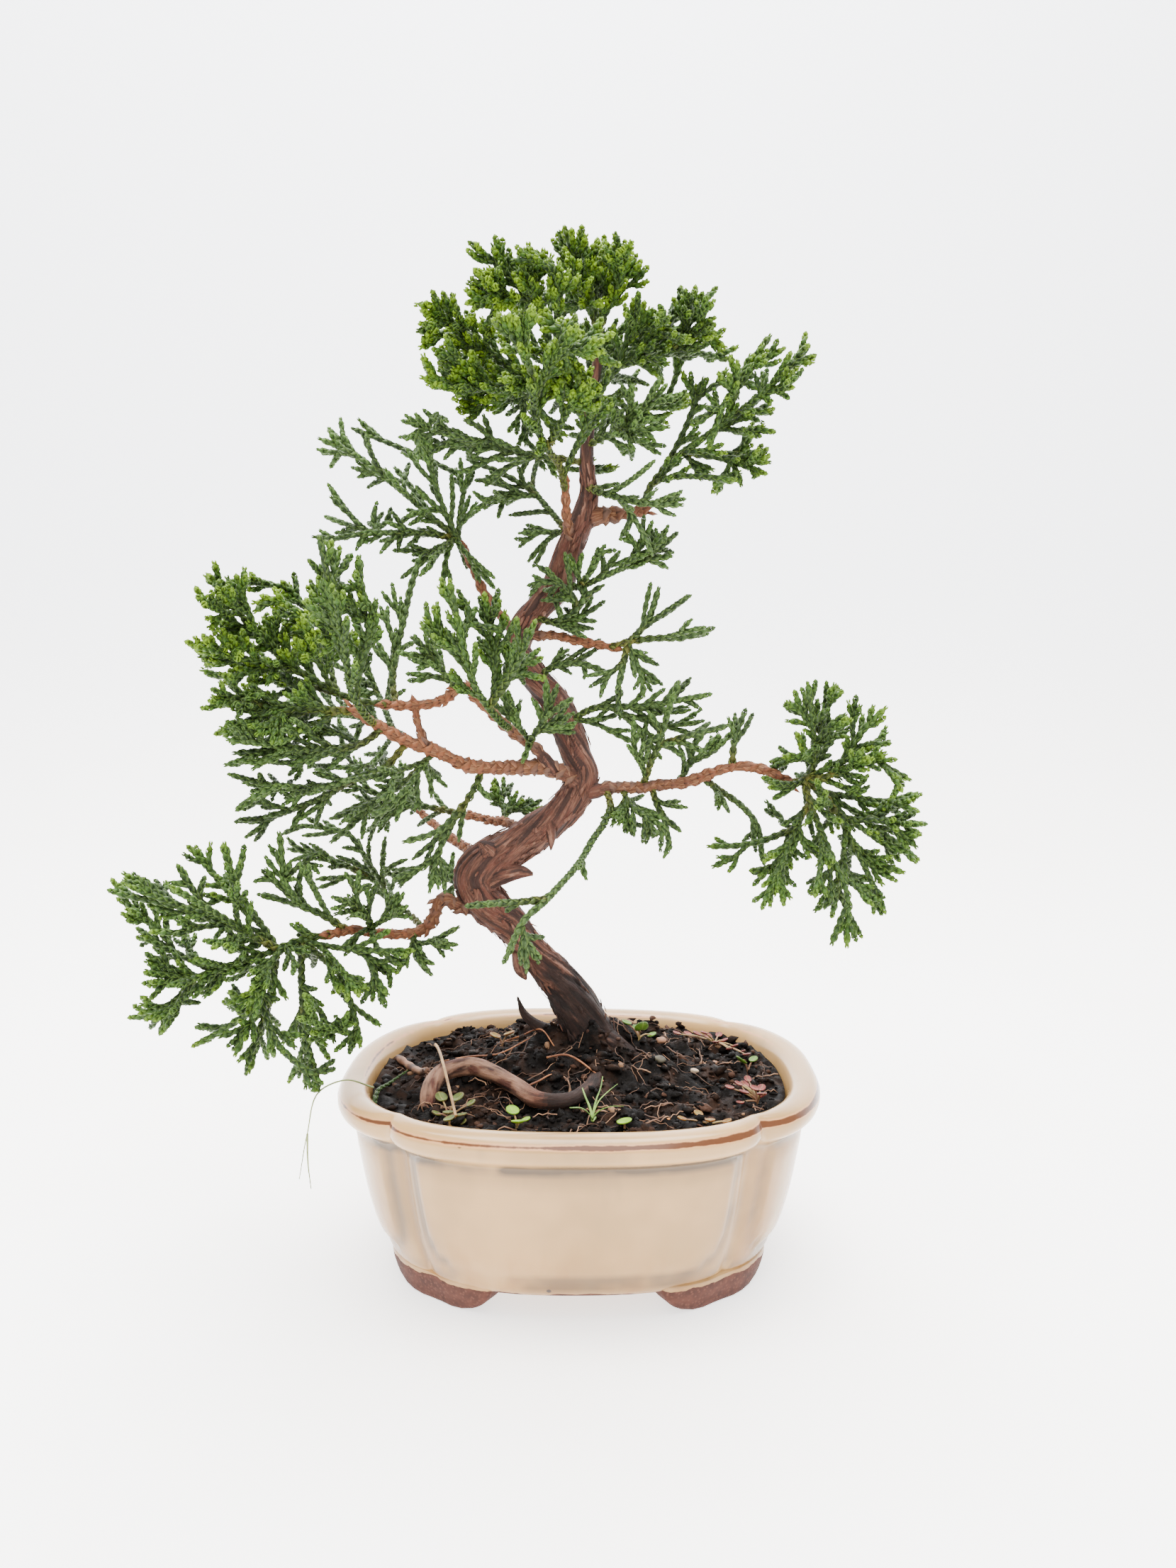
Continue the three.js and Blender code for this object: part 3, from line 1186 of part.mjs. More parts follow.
// Grows a cord to a tip from the best place on what has grown, bowed away from its parent.
function forkTo(bud, tip) {
  const places = bud.cords.flatMap((cord) => forkPlaces(cord, bud.root));
  let best = places[0];
  for (const place of places) {
    place.cost = forkCost(place, tip);
    if (place.cost < (best.cost ?? Infinity)) best = place;
  }
  const { point, way, cord, at } = best;
  const length = point.distanceTo(tip);
  const bow = tip.clone().sub(point).normalize().add(way).normalize();
  const bend = point.clone().addScaledVector(bow, length * BOW_REACH);
  const curve = new THREE.QuadraticBezierCurve3(point, bend, tip);
  const grown = addCord(bud, curve.getPoints(length > LONG_CORD ? 2 : 1), cord.level + 1);
  if (grown) cord.forks.push(at);
  return grown;
}

// Grows a cord to each tip and shorter ones between them. Long cords come first, so that
// short ones fork from their sides.
function growTips(bud) {
  const { spray, draw, cords, root } = bud;
  const [firstAcross, firstUp] = spray.stems[0][0];
  const reaches = spray.tips.map(([across, up]) => Math.hypot(across - firstAcross, up - firstUp));
  const furthest = Math.max(...reaches);
  const spots = spray.tips.map(([across, up, depth], i) => {
    const stray = (draw() * 2 - 1) * spray.spread;
    const usual = mix(spray.depth[0], spray.depth[1], reaches[i] / furthest) + stray;
    return seen(across, up, depth ?? usual);
  });
  const stemSpots = cords.flatMap((cord) => cord.points);
  const fromStems = (spot) => Math.min(...stemSpots.map((point) => point.distanceTo(spot)));
  const ordered = spots.map((spot) => [fromStems(spot), spot]).sort((a, b) => b[0] - a[0]);
  const grown = [];
  for (const [reach, spot] of ordered) {
    const crowded = grown.some((other) => other.distanceTo(spot) < CLOSEST_TIPS);
    if (reach < SHORTEST_CORD || crowded) continue;
    if (forkTo(bud, spot)) grown.push(spot);
  }
  for (let i = 0; i < spray.fill; i += 1) {
    const one = spots[Math.floor(draw() * spots.length)];
    const two = spots[Math.floor(draw() * spots.length)];
    const between = one.clone().lerp(two, mix(...FILL_BETWEEN, draw()));
    between.lerp(root, mix(...FILL_INWARD, draw()));
    between.y += (draw() * 2 - 1) * spray.spread * FILL_STRAY;
    forkTo(bud, between);
  }
}

// A cord as a limb, pointed where it starts inside its parent. A straight one swells to its belly
// and ends in a point, and a bent one is full from its neck on and blunt at its tip.
function cordLimb({ points, radius }, isFirst) {
  const [start, next] = points;
  if (!isFirst && points.length === 2) {
    return limb([start, start.clone().lerp(next, CORD_BELLY), next], [0, CORD_RADIUS, 0], CORD_SIDES);
  }
  const neck = start.clone().lerp(next, Math.min(NECK_SHARE, CORD_NECK / start.distanceTo(next)));
  const line = isFirst ? points : [start, neck, ...points.slice(1)];
  const radii = line.map((point, i) => mix(radius, TIP_RADIUS, i / (line.length - 1)));
  if (!isFirst) radii[0] = 0;
  return limb(line, radii, CORD_SIDES);
}

// One spray as one solid, cut clear of the wood that it grows from.
function makeSpray(cords, grownWood) {
  const parts = cords.map((cord, i) => cordLimb(cord, i === 0));
  return largest(wasm.Manifold.union(parts).subtract(grownWood)).simplify(FINEST);
}

// Things that grow in the soil or lie on it. grow makes them thicker, to cut the soil clear.

const LEAF_THICK = 0.7;
const LEAF_SHAPE = 0.43; // half a leaf's width as a share of its length
const FORK_HEIGHT = 0.8; // over the soil, where a seedling parts into its stems
const ROOT_DEPTH = 4;

const overSoil = (x, y, height) => new THREE.Vector3(x, y, soilTop(x, y) + height);

// A small leaf: an oval disc, tilted up and turned round.
function leaf(centre, turn, tilt, length) {
  const disc = new THREE.CylinderGeometry(1, 1, LEAF_THICK, 6, 1);
  disc.rotateX(Math.PI / 2);
  disc.scale(length / 2, length * LEAF_SHAPE, 1);
  disc.rotateY(-tilt);
  disc.rotateZ(turn);
  disc.translate(centre.x, centre.y, centre.z);
  return solidOf(disc);
}

// Each seedling: root [x, y], then leaves of [dx, dy, height over the soil, size, tilt].
const SEEDLINGS = {
  seedling_pair: {
    root: [-17, -43],
    leaves: [[-1.4, 2.4, 4, 3.8, 0.3], [0.6, -3.6, 3.4, 4.2, 0.4]],
  },
  seedling_grey: {
    root: [-37.4, -35.6],
    leaves: [
      [-2.6, 4, 4.6, 4, 0.4], [2.6, 1.8, 5.2, 4, 0.4], [0.4, -3.4, 4, 3.6, 0.2], [4, -5, 3.4, 4.2, 0.3],
    ],
  },
  seedling_heart: {
    root: [19.4, 7.4],
    leaves: [[0.8, -2.6, 6, 5, 0.9], [-4, 0.4, 3.6, 3.2, 0.3], [4.2, 1.2, 3.6, 3, 0.3]],
  },
  seedling_pink: {
    root: [54, -23],
    leaves: [
      [-4.4, -2, 4, 3.2, 0.3], [0.6, -4.6, 4.4, 3.4, 0.3], [1.6, 3.4, 4, 3, 0.3], [-3.4, 4.4, 4.8, 3, 0.4],
      [-8.4, 0.6, 3.6, 2.8, 0.2],
    ],
  },
  seedling_green: {
    root: [54.4, 3],
    leaves: [[-2.4, -1.4, 5, 4, 0.7], [2, 2, 3.8, 3, 0.3]],
  },
};

// A seedling: one buried root that parts into a stem for each leaf just over the soil.
function makeSeedling({ root: [x, y], leaves }, grow) {
  const fork = overSoil(x, y, FORK_HEIGHT);
  const buried = limb([overSoil(x, y, -ROOT_DEPTH), fork], [0.8, 0.8], 4, { grow });
  if (grow) return buried;
  const parts = leaves.map(([dx, dy, height, size, tilt]) => {
    const end = overSoil(x + dx, y + dy, height);
    return limb([fork, end], [0.6, 0], 3).add(leaf(end, Math.atan2(dy, dx), tilt, size));
  });
  return wasm.Manifold.union([buried, ...parts]).simplify(FINEST);
}

// A tuft of grass: blades of [dx, dy, height] from one root.
const TUFT_ROOT = [4.4, -37];
const TUFT_BLADES = [
  [-3.6, -3.6, 5.6],
  [5, 5.4, 6.4],
  [5.6, -1.4, 4.2],
  [-2, 4, 5],
];

function makeTuft(grow) {
  const [x, y] = TUFT_ROOT;
  const fork = overSoil(x, y, FORK_HEIGHT);
  const buried = limb([overSoil(x, y, -ROOT_DEPTH), fork], [1, 1], 4, { grow });
  if (grow) return buried;
  const parts = TUFT_BLADES.map(([dx, dy, rise]) => {
    const knee = overSoil(x + dx * 0.3, y + dy * 0.3, rise * 0.6);
    return limb([fork, knee, overSoil(x + dx, y + dy, rise)], [0.6, 0.5, 0], 3);
  });
  return wasm.Manifold.union([buried, ...parts]).simplify(FINEST);
}

// Loose stems on the soil: places are [x, y, height over the soil].
const LITTER = {
  twig_broken: {
    radii: [1.3, 1.2, 1.1, 1],
    places: [[-60.4, 13, 1.4], [-55, 4.4, 1.5], [-50, -5, 2.4], [-47, -11.4, 5.4]],
  },
  straw_stem: {
    radii: [0.6, 0.55, 0.5, 0.45],
    places: [[-50, 28, 0.6], [-46.4, 10, 4.4], [-40.4, -20.6, 8.2], [-34, -46, 4.8]],
  },
};

function makeLitter({ places, radii }, grow) {
  return limb(places.map(([x, y, height]) => overSoil(x, y, height)), radii, 5, { grow });
}

// Materials
const finish = (color, roughness) => new THREE.MeshStandardMaterial({ color, roughness, metalness: 0 });
const GLAZE = finish(0xe2d2bb, 0.3);
const BARK = finish(0x785041, 0.9);
const EARTH = finish(0x231e1c, 0.95);
const GREEN = finish(0x3f6f3c, 0.65);
const LEAF = finish(0x6f9a4a, 0.6);
const STRAW = finish(0x8a6a48, 0.8);
const PLASTIC = finish(0x20231f, 0.6);

// Assembly
const bonsai = new THREE.Group();

function addNode(name, solid, material) {
  const mesh = new THREE.Mesh(geometryOf(solid), material);
  mesh.name = name;
  bonsai.add(mesh);
}

const grownWood = makeWood(GAP);
occupy(placesOf(TRUNK), TRUNK.map((row) => row[3] * 1.1), "wood");
for (const rows of [...Object.values(BRANCHES), ...Object.values(STUBS)]) {
  occupy(placesOf(rows), rows.map((row) => row[3]), "wood");
}

addNode("pot", makePot(), GLAZE);
addNode("drain_mesh_left", makeDrainMesh(-1), PLASTIC);
addNode("drain_mesh_right", makeDrainMesh(1), PLASTIC);
addNode("tree", makeWood().simplify(FINEST), BARK);

const smallThings = [
  ...Object.entries(SEEDLINGS).map(([name, plan]) => [name, LEAF, (grow) => makeSeedling(plan, grow)]),
  ["grass_tuft", LEAF, makeTuft],
  ...Object.entries(LITTER).map(([name, plan]) => [name, STRAW, (grow) => makeLitter(plan, grow)]),
];
let soil = makeSoil().subtract(grownWood);
for (const [name, material, make] of smallThings) {
  addNode(name, make(0), material);
  soil = soil.subtract(make(GAP));
}
addNode("soil", largest(soil).simplify(FINEST), EARTH);

const buds = Object.entries(SPRAYS).map(([name, spray], i) => budOf(name, spray, seedOf(i)));
buds.forEach(plantStems);
buds.forEach(growTips);
for (const { name, cords } of buds) addNode(name, makeSpray(cords, grownWood), GREEN);

const box = new THREE.Box3().setFromObject(bonsai);
bonsai.position.set(-(box.min.x + box.max.x) / 2, -(box.min.y + box.max.y) / 2, -box.min.z);

export default bonsai;
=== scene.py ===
# Dresses a small potted juniper: bark, scale leaves, soil and what grows in it, glaze, stage.
import math
from collections import namedtuple

import bmesh
import bpy
import numpy as np
from bpy.props import FloatProperty, FloatVectorProperty, IntProperty, PointerProperty
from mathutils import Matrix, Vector


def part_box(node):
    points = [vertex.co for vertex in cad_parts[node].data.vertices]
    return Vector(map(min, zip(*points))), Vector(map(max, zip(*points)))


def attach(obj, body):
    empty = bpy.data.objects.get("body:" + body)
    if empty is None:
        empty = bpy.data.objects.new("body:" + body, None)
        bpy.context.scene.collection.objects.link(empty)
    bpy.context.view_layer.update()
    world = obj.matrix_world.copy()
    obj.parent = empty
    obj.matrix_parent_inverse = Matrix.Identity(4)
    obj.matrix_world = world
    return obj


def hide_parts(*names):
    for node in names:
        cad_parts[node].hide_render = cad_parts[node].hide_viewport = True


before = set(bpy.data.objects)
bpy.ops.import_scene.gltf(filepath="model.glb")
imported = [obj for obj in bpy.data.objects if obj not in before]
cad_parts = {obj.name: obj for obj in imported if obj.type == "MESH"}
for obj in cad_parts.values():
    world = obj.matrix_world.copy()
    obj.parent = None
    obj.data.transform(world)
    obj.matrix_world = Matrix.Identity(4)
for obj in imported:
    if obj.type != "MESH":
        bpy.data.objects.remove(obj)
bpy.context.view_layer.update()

bl_info = {
    "name": "Kishu juniper bonsai",
    "version": (1, 0, 0),
    "blender": (4, 5, 0),
    "location": "3D View > Sidebar > Bonsai",
    "description": "Makes the wood, the scale leaves, the soil, the pot and the stage of a potted juniper",
    "category": "Add Mesh",
}

BODY = "root"
SEAM_GAP = 2e-6  # metres between vertices that are one

# Places below are in millimetres from the pot's middle on the floor, X to the right, Y to the
# back and Z up. home() puts them in the frame, in metres.
MM = 0.001
POT_LOW, POT_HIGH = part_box("pot")
HOME = np.array([(POT_LOW.x + POT_HIGH.x) / 2, (POT_LOW.y + POT_HIGH.y) / 2, 0])

# The point that the tree's places are read from: across and up are measured where a sight line
# from here meets the upright plane through the pot's middle.
EYE = np.array([6.0, -363.0, 190.0])


def home(spots):
    return np.asarray(spots, float) * MM + HOME


def seen(across, up, depth):
    """The spot at a depth behind the pot's middle that lies on the sight line through across, up."""
    stretch = (depth - EYE[1]) / -EYE[1]
    return np.array([EYE[0] + (across - EYE[0]) * stretch, depth, EYE[2] + (up - EYE[2]) * stretch])


def mix(low, high, share):
    return low + (high - low) * share


def smooth_step(low, high, value):
    share = np.clip((value - low) / (high - low), 0, 1)
    return share * share * (3 - 2 * share)


def bell(value, middle, width):
    return np.exp(-(((value - middle) / width) ** 2))


def unit(vectors):
    length = np.linalg.norm(vectors, axis=-1, keepdims=True)
    return vectors / np.maximum(length, 1e-9)


def ripple(spots, seed, waves=9):
    """A smooth random value between about -1 and 1 for each spot, with features one unit apart."""
    draw = np.random.default_rng(seed)
    ways = unit(draw.normal(size=(waves, 3))) * draw.uniform(1.6, 3.4, (waves, 1))
    shifts = draw.uniform(0, 2 * math.pi, waves)
    spots = np.asarray(spots, np.float32)
    total = np.zeros(len(spots), np.float32)
    for way, shift in zip(ways.astype(np.float32), shifts):
        total += np.sin(spots @ way + np.float32(shift))
    return total / math.sqrt(waves) * 0.9


def linear(red, green, blue):
    """A screen colour, each part from 0 to 255, as the light values that shaders take."""
    parts = [value / 255 for value in (red, green, blue)]
    return tuple(part / 12.92 if part < 0.04 else ((part + 0.055) / 1.055) ** 2.4 for part in parts)


# Curves, meshes and pieces


def smooth_line(rows, spacing):
    """Rows of x, y, z and more on a smooth curve through the given rows, spaced evenly."""
    rows = np.asarray(rows, float)
    gaps = np.linalg.norm(np.diff(rows[:, :3], axis=0), axis=1)
    at = np.concatenate([[0], np.cumsum(gaps)])
    slopes = np.gradient(rows, at, axis=0)
    wanted = np.linspace(0, at[-1], max(2, round(at[-1] / spacing)) + 1)
    which = np.clip(np.searchsorted(at, wanted, side="right") - 1, 0, len(gaps) - 1)
    span = gaps[which][:, None]
    t = (wanted - at[which])[:, None] / span
    start, end = rows[which], rows[which + 1]
    rise, fall = slopes[which] * span, slopes[which + 1] * span
    ease = t * t * (3 - 2 * t)
    return start * (1 - ease) + end * ease + rise * t * (1 - t) ** 2 - fall * t * t * (1 - t)


def ways_along(points):
    return unit(np.gradient(points, axis=0))


def carried_frames(points):
    """The way along a line and two directions across it, turned as little as can be."""
    ways = ways_along(points)
    across = np.empty_like(points)
    last = np.cross(ways[0], [0.3, 1, 0.2])
    for i, way in enumerate(ways):
        last = last - way * (last @ way)
        last /= max(np.linalg.norm(last), 1e-9)
        across[i] = last
    return ways, across, np.cross(ways, across)


def read(mesh):
    spots = np.empty(len(mesh.vertices) * 3, np.float32)
    mesh.vertices.foreach_get("co", spots)
    return spots.reshape(-1, 3).astype(float)


def write(mesh, spots):
    mesh.vertices.foreach_set("co", np.ravel(spots).astype(np.float32))
    mesh.update()


def keep(mesh, name, values):
    """Stores a number, or a row of three, for each vertex."""
    values = np.asarray(values, np.float32)
    if values.ndim == 1:
        mesh.attributes.new(name, "FLOAT", "POINT").data.foreach_set("value", values)
    else:
        mesh.attributes.new(name, "FLOAT_VECTOR", "POINT").data.foreach_set("vector", values.ravel())


def mesh_from(bm):
    mesh = bpy.data.meshes.new("shape")
    bm.to_mesh(mesh)
    bm.free()
    return mesh


def opened(mesh):
    bm = bmesh.new()
    bm.from_mesh(mesh)
    return bm


def faced_out(bm):
    """The mesh of a bmesh, with its faces turned outwards."""
    bmesh.ops.recalc_face_normals(bm, faces=bm.faces)
    return mesh_from(bm)


def shown(name, data):
    """A new object in the scene."""
    thing = bpy.data.objects.new(name, data)
    bpy.context.scene.collection.objects.link(thing)
    return thing


def rolled(sides, rings, place):
    """A closed body: a sheet rolled round the upright axis, with its first and last row drawn
    together. place(angle, row) gives each vertex's spot, with row from 0 to rings."""
    bm = bmesh.new()
    bmesh.ops.create_grid(bm, x_segments=sides, y_segments=rings, size=1)
    mesh = mesh_from(bm)
    flat = read(mesh)
    write(mesh, home(place((flat[:, 0] + 1) * math.pi, (flat[:, 1] + 1) / 2 * rings)))
    bm = opened(mesh)
    bmesh.ops.remove_doubles(bm, verts=bm.verts, dist=SEAM_GAP)
    return faced_out(bm)


def applied(shape, dress=None):
    """The mesh that a curve, or a mesh with the modifiers that dress adds, comes out as."""
    thing = shown("raw", shape)
    if dress:
        dress(thing)
    settled = thing.evaluated_get(bpy.context.evaluated_depsgraph_get())
    mesh = bpy.data.meshes.new_from_object(settled)
    bpy.data.objects.remove(thing)
    return mesh


def tubes(lines, sides_step=1):
    """Closed tubes along lines of x, y, z, radius in millimetres, as one mesh."""
    curve = bpy.data.curves.new("tubes", "CURVE")
    curve.dimensions = "3D"
    curve.bevel_depth = MM
    curve.bevel_resolution = sides_step
    for line in lines:
        line = np.asarray(line, float)
        spline = curve.splines.new("POLY")
        spline.points.add(len(line) - 1)
        spots = np.ones((len(line), 4))
        spots[:, :3] = home(line[:, :3])
        spline.points.foreach_set("co", spots.ravel())
        spline.points.foreach_set("radius", line[:, 3])
    bm = opened(applied(curve))
    bmesh.ops.holes_fill(bm, edges=[edge for edge in bm.edges if edge.is_boundary])
    return faced_out(bm)


def tube_values(mesh, values):
    """Spreads one value for each point of a tube's lines over the ring of vertices round it."""
    around = len(mesh.vertices) / len(values)
    if around != int(around):
        raise RuntimeError("the tubes have rings of unlike size")
    return np.repeat(values, int(around), axis=0)


def copy_nodes(template):
    """Geometry nodes that set a copy of a small mesh on each point: its Z along the point's value
    along, its X towards out, its size by size."""
    group = bpy.data.node_groups.new("copies", "GeometryNodeTree")
    for way in ("INPUT", "OUTPUT"):
        group.interface.new_socket("Geometry", in_out=way, socket_type="NodeSocketGeometry")
    add, link = group.nodes.new, group.links.new
    shape = add("GeometryNodeObjectInfo")
    shape.inputs["Object"].default_value = template
    turn = add("FunctionNodeAxesToRotation")
    turn.primary_axis, turn.secondary_axis = "Z", "X"
    copies = add("GeometryNodeInstanceOnPoints")
    sockets = {"along": turn.inputs[0], "out": turn.inputs[1], "size": copies.inputs["Scale"]}
    for name, socket in sockets.items():
        value = add("GeometryNodeInputNamedAttribute")
        value.data_type = "FLOAT_VECTOR"
        value.inputs["Name"].default_value = name
        link(value.outputs["Attribute"], socket)
    whole = add("GeometryNodeRealizeInstances")
    link(add("NodeGroupInput").outputs[0], copies.inputs["Points"])
    link(shape.outputs["Geometry"], copies.inputs["Instance"])
    link(turn.outputs[0], copies.inputs["Rotation"])
    link(copies.outputs[0], whole.inputs[0])
    link(whole.outputs[0], add("NodeGroupOutput").inputs[0])
    return group


def stamped(template, spots, values):
    """A small closed mesh copied to many spots. values holds a row for each spot: along and out,
    the ways that the copy's Z and X point, size in millimetres, and more to keep on its vertices."""
    points = bpy.data.meshes.new("points")
    points.vertices.add(len(spots))
    write(points, home(spots))
    for name, rows in values.items():
        keep(points, name, rows * MM if name == "size" else rows)
    small = bpy.data.objects.new("template", template)
    group = copy_nodes(small)
    mesh = applied(points, lambda thing: setattr(thing.modifiers.new("copies", "NODES"), "node_group", group))
    for name in ("along", "out", "size"):
        mesh.attributes.remove(mesh.attributes[name])
    bpy.data.node_groups.remove(group)
    bpy.data.objects.remove(small)
    return mesh


def joined(meshes):
    """Several meshes as one, with the values kept for their vertices."""
    layers = {layer.name: layer.data_type for mesh in meshes for layer in mesh.attributes}
    bm = bmesh.new()
    for mesh in meshes:
        for name, kind in layers.items():
            if kind in ("FLOAT", "FLOAT_VECTOR") and name != "position" and name not in mesh.attributes:
                mesh.attributes.new(name, kind, "POINT")
        bm.from_mesh(mesh)
    return mesh_from(bm)


def piece(name, mesh, materials, replaced=()):
    """Puts a finished mesh in the scene as a piece of the object."""
    mesh.name = name
    thing = shown(name, mesh)
    for material in materials:
        mesh.materials.append(material)
    mesh.shade_smooth()
    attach(thing, BODY)
    if replaced:
        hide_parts(*replaced)


def paint_faces(mesh, number):
    """Gives every face of a mesh the material with this number."""
    mesh.polygons.foreach_set("material_index", np.full(len(mesh.polygons), number, np.int32))
    return mesh


# Materials


class Finish:
    """A material that is put together node by node."""

    def __init__(self, name, roughness=0.6, **sockets):
        self.material = bpy.data.materials.new(name)
        self.material.use_nodes = True
        self.tree = self.material.node_tree
        self.shader = self.tree.nodes["Principled BSDF"]
        self.shader.inputs["Roughness"].default_value = roughness
        for socket, value in sockets.items():
            self.shader.inputs[socket.replace("_", " ")].default_value = value

    def add(self, kind, feeds=None, **settings):
        node = self.tree.nodes.new("ShaderNode" + kind)
        for name, value in settings.items():
            setattr(node, name, value)
        for key, value in (feeds or {}).items():
            self.feed(node.inputs[key], value)
        return node

    def feed(self, socket, value):
        if isinstance(value, bpy.types.NodeSocket):
            self.tree.links.new(value, socket)
        elif socket.type == "RGBA" and len(value) == 3:
            socket.default_value = (*value, 1)
        else:
            socket.default_value = value

    def set(self, socket, value):
        self.feed(self.shader.inputs[socket], value)

    def spots(self):
        return self.add("TexCoord").outputs["Object"]

    def kept(self, name, output="Fac"):
        return self.add("Attribute", attribute_name=name).outputs[output]

    def part(self, vector, letter):
        return self.add("SeparateXYZ", {"Vector": vector}).outputs[letter]

    def stretched(self, vector, scale):
        return self.add("Mapping", {"Vector": vector, "Scale": scale}).outputs["Vector"]

    def noise(self, vector, scale, detail=3.0, roughness=0.55):
        feeds = {"Vector": vector, "Scale": scale, "Detail": detail, "Roughness": roughness}
        return self.add("TexNoise", feeds).outputs["Fac"]

    def cells(self, vector, scale):
        return self.add("TexVoronoi", {"Vector": vector, "Scale": scale}).outputs["Distance"]

    def maths(self, kind, one, two=0.5):
        return self.add("Math", {0: one, 1: two}, operation=kind).outputs[0]

    def band(self, value, low, high, start=0.0, end=1.0):
        feeds = {"Value": value, "From Min": low, "From Max": high, "To Min": start, "To Max": end}
        return self.add("MapRange", feeds, interpolation_type="SMOOTHSTEP").outputs["Result"]

    def blend(self, share, one, two, kind="MIX"):
        node = self.add("MixRGB", {"Fac": share, "Color1": one, "Color2": two}, blend_type=kind)
        return node.outputs["Color"]

    def tint(self, colour, over, value, low, high, most=1.0):
        """Blends over into colour where value goes from low to high, up to the share most."""
        return self.blend(self.band(value, low, high, 0, most), colour, over)

    def ramp(self, value, *stops):
        node = self.add("ValToRGB", {"Fac": value})
        points = node.color_ramp.elements
        while len(points) < len(stops):
            points.new(0.5)
        for point, (place, colour) in zip(points, stops):
            point.position = place
            point.color = (*colour, 1)
        return node.outputs["Color"]

    def bump(self, height, strength, distance, below=None):
        feeds = {"Height": height, "Strength": strength, "Distance": distance}
        if below:
            feeds["Normal"] = below
        return self.add("Bump", feeds).outputs["Normal"]


# Pot

GLAZE_CREAM = linear(178, 140, 90)
GLAZE_SAND = linear(160, 126, 80)
GLAZE_STREAK = linear(132, 108, 74)
# Painted shade: darker, warmer glaze low on the wall and at the ends
GLAZE_WARM_SHADE = linear(156, 112, 60)
GLAZE_HALO = linear(190, 140, 96)
GLAZE_BROWN = linear(86, 52, 32)
# Painted shade in the grooves, under the lip and beside the notches
GLAZE_GROOVE_SHADE = linear(86, 68, 48)
CLAY = linear(84, 48, 38)
CLAY_DARK = linear(62, 35, 28)
CLAY_GRAIN = linear(92, 56, 45)
SPECK = linear(58, 44, 38)


class PotSizes(bpy.types.PropertyGroup):
    """Sizes and colours of the pot."""

    half_length: FloatProperty(
        name="Half length", description="From the middle to the rim's left or right end",
        default=0.0748, unit="LENGTH",
    )
    half_depth: FloatProperty(
        name="Half depth", description="From the middle to the rim's front or back",
        default=0.0618, unit="LENGTH",
    )
    squareness: FloatProperty(
        name="Squareness", description="Exponent of the oval, where 2 is an ellipse", default=2.5,
    )
    panel_rise: FloatProperty(
        name="Panel rise", description="How far the panels stand out of the wall",
        default=0.0008, unit="LENGTH",
    )
    glaze: FloatVectorProperty(
        name="Glaze", description="Colour of the glaze", default=GLAZE_CREAM, size=3,
        subtype="COLOR", min=0, max=1,
    )


NOTCH_ANGLE = math.radians(40)  # from the long axis, the same in all four corners
NOTCH_WIDTH = 0.085  # radians over which a notch fades
POT_SIDES = 288

# The pot's section from its underside's middle, out and up over the lip, and down inside:
# how far it is set in from the rim's outline, its height, and the depth of the notches.
POT_SECTION = [
    (61, 9, 0), (40, 9, 0.4), (20, 9, 1.2), (18.8, 8.2, 1.3), (17.2, 7.6, 1.4), (15.8, 8.0, 1.6),
    (14.9, 9.2, 1.8), (14.1, 11, 2), (13, 14, 2.2), (11.9, 17, 2.4), (10.7, 20.6, 2.6), (9.3, 26, 2.9),
    (8.1, 32, 3.1), (7.1, 38, 3.3), (6.3, 43, 3.5), (5.8, 47.4, 3.6), (5.4, 49.4, 3.6), (4.7, 50.7, 3.7),
    (3.6, 51.6, 4), (2.4, 52.3, 4.3), (1.3, 53.1, 4.4), (0.5, 54.1, 4.4), (0, 55.6, 4.4), (0, 57.2, 4.4),
    (0.5, 58.3, 4.3), (1.3, 59.6, 4), (2.6, 60.4, 3.2), (4.4, 60.6, 2.2), (6.3, 60.4, 1.5), (7.8, 59.6, 1.1),
    (8.8, 58.4, 0.8), (9.4, 56.9, 0.7), (10, 54, 0.6), (12.2, 44, 0.4), (15, 30, 0.2), (17.6, 17, 0),
    (19, 14.4, 0), (21, 13.5, 0), (40, 13.5, 0), (61, 13.5, 0),
]
FOOT_EDGE_ROW, NECK_ROW = 6, 17  # the rows of the section between which the wall has its panels
STILL_ROW = 2  # the rows up to here are the underside, which stays even
PANEL_LOW, PANEL_HIGH = 14.5, 48.8
PANEL_BORDER = 6.2  # from a notch to its panels' edges
PANEL_CORNER = 11
PANEL_GROOVE = 0.35  # depth of the shallow groove round a panel
NECK_HEIGHT = 50
RIM_NOTCH = 4.4
EDGE_HEIGHT = 58.3  # of the lip's outer edge, where the glaze breaks brown
INNER_EDGE = 7.9  # from the rim's outline to the edge of its inside


def pot_outline(angle, inset, notch):
    """Distance of the pot's outline from its axis, set in by inset, with notches this deep."""
    sizes = bpy.context.scene.bonsai_pot
    length = np.maximum(sizes.half_length / MM - inset, 1e-4)
    depth = np.maximum(sizes.half_depth / MM - inset, 1e-4)
    power = sizes.squareness
    across = np.abs(np.cos(angle)) / length
    deep = np.abs(np.sin(angle)) / depth
    return (across**power + deep**power) ** (-1 / power) - notch * np.exp(-notch_gap(angle) / NOTCH_WIDTH)


def notch_gap(angle):
    """How far round an angle is from the nearest notch."""
    from_axis = np.arctan2(np.abs(np.sin(angle)), np.abs(np.cos(angle)))
    return np.abs(from_axis - NOTCH_ANGLE)


def panel_inside(angle, height, reach):
    """How far inside the edge of the nearest panel a spot on the wall is, in millimetres."""
    side = notch_gap(angle) * reach - PANEL_BORDER
    low = height - PANEL_LOW
    corner = PANEL_CORNER - np.hypot(
        np.maximum(PANEL_CORNER - side, 0), np.maximum(PANEL_CORNER - low, 0)
    )
    return np.minimum(corner, PANEL_HIGH - height)


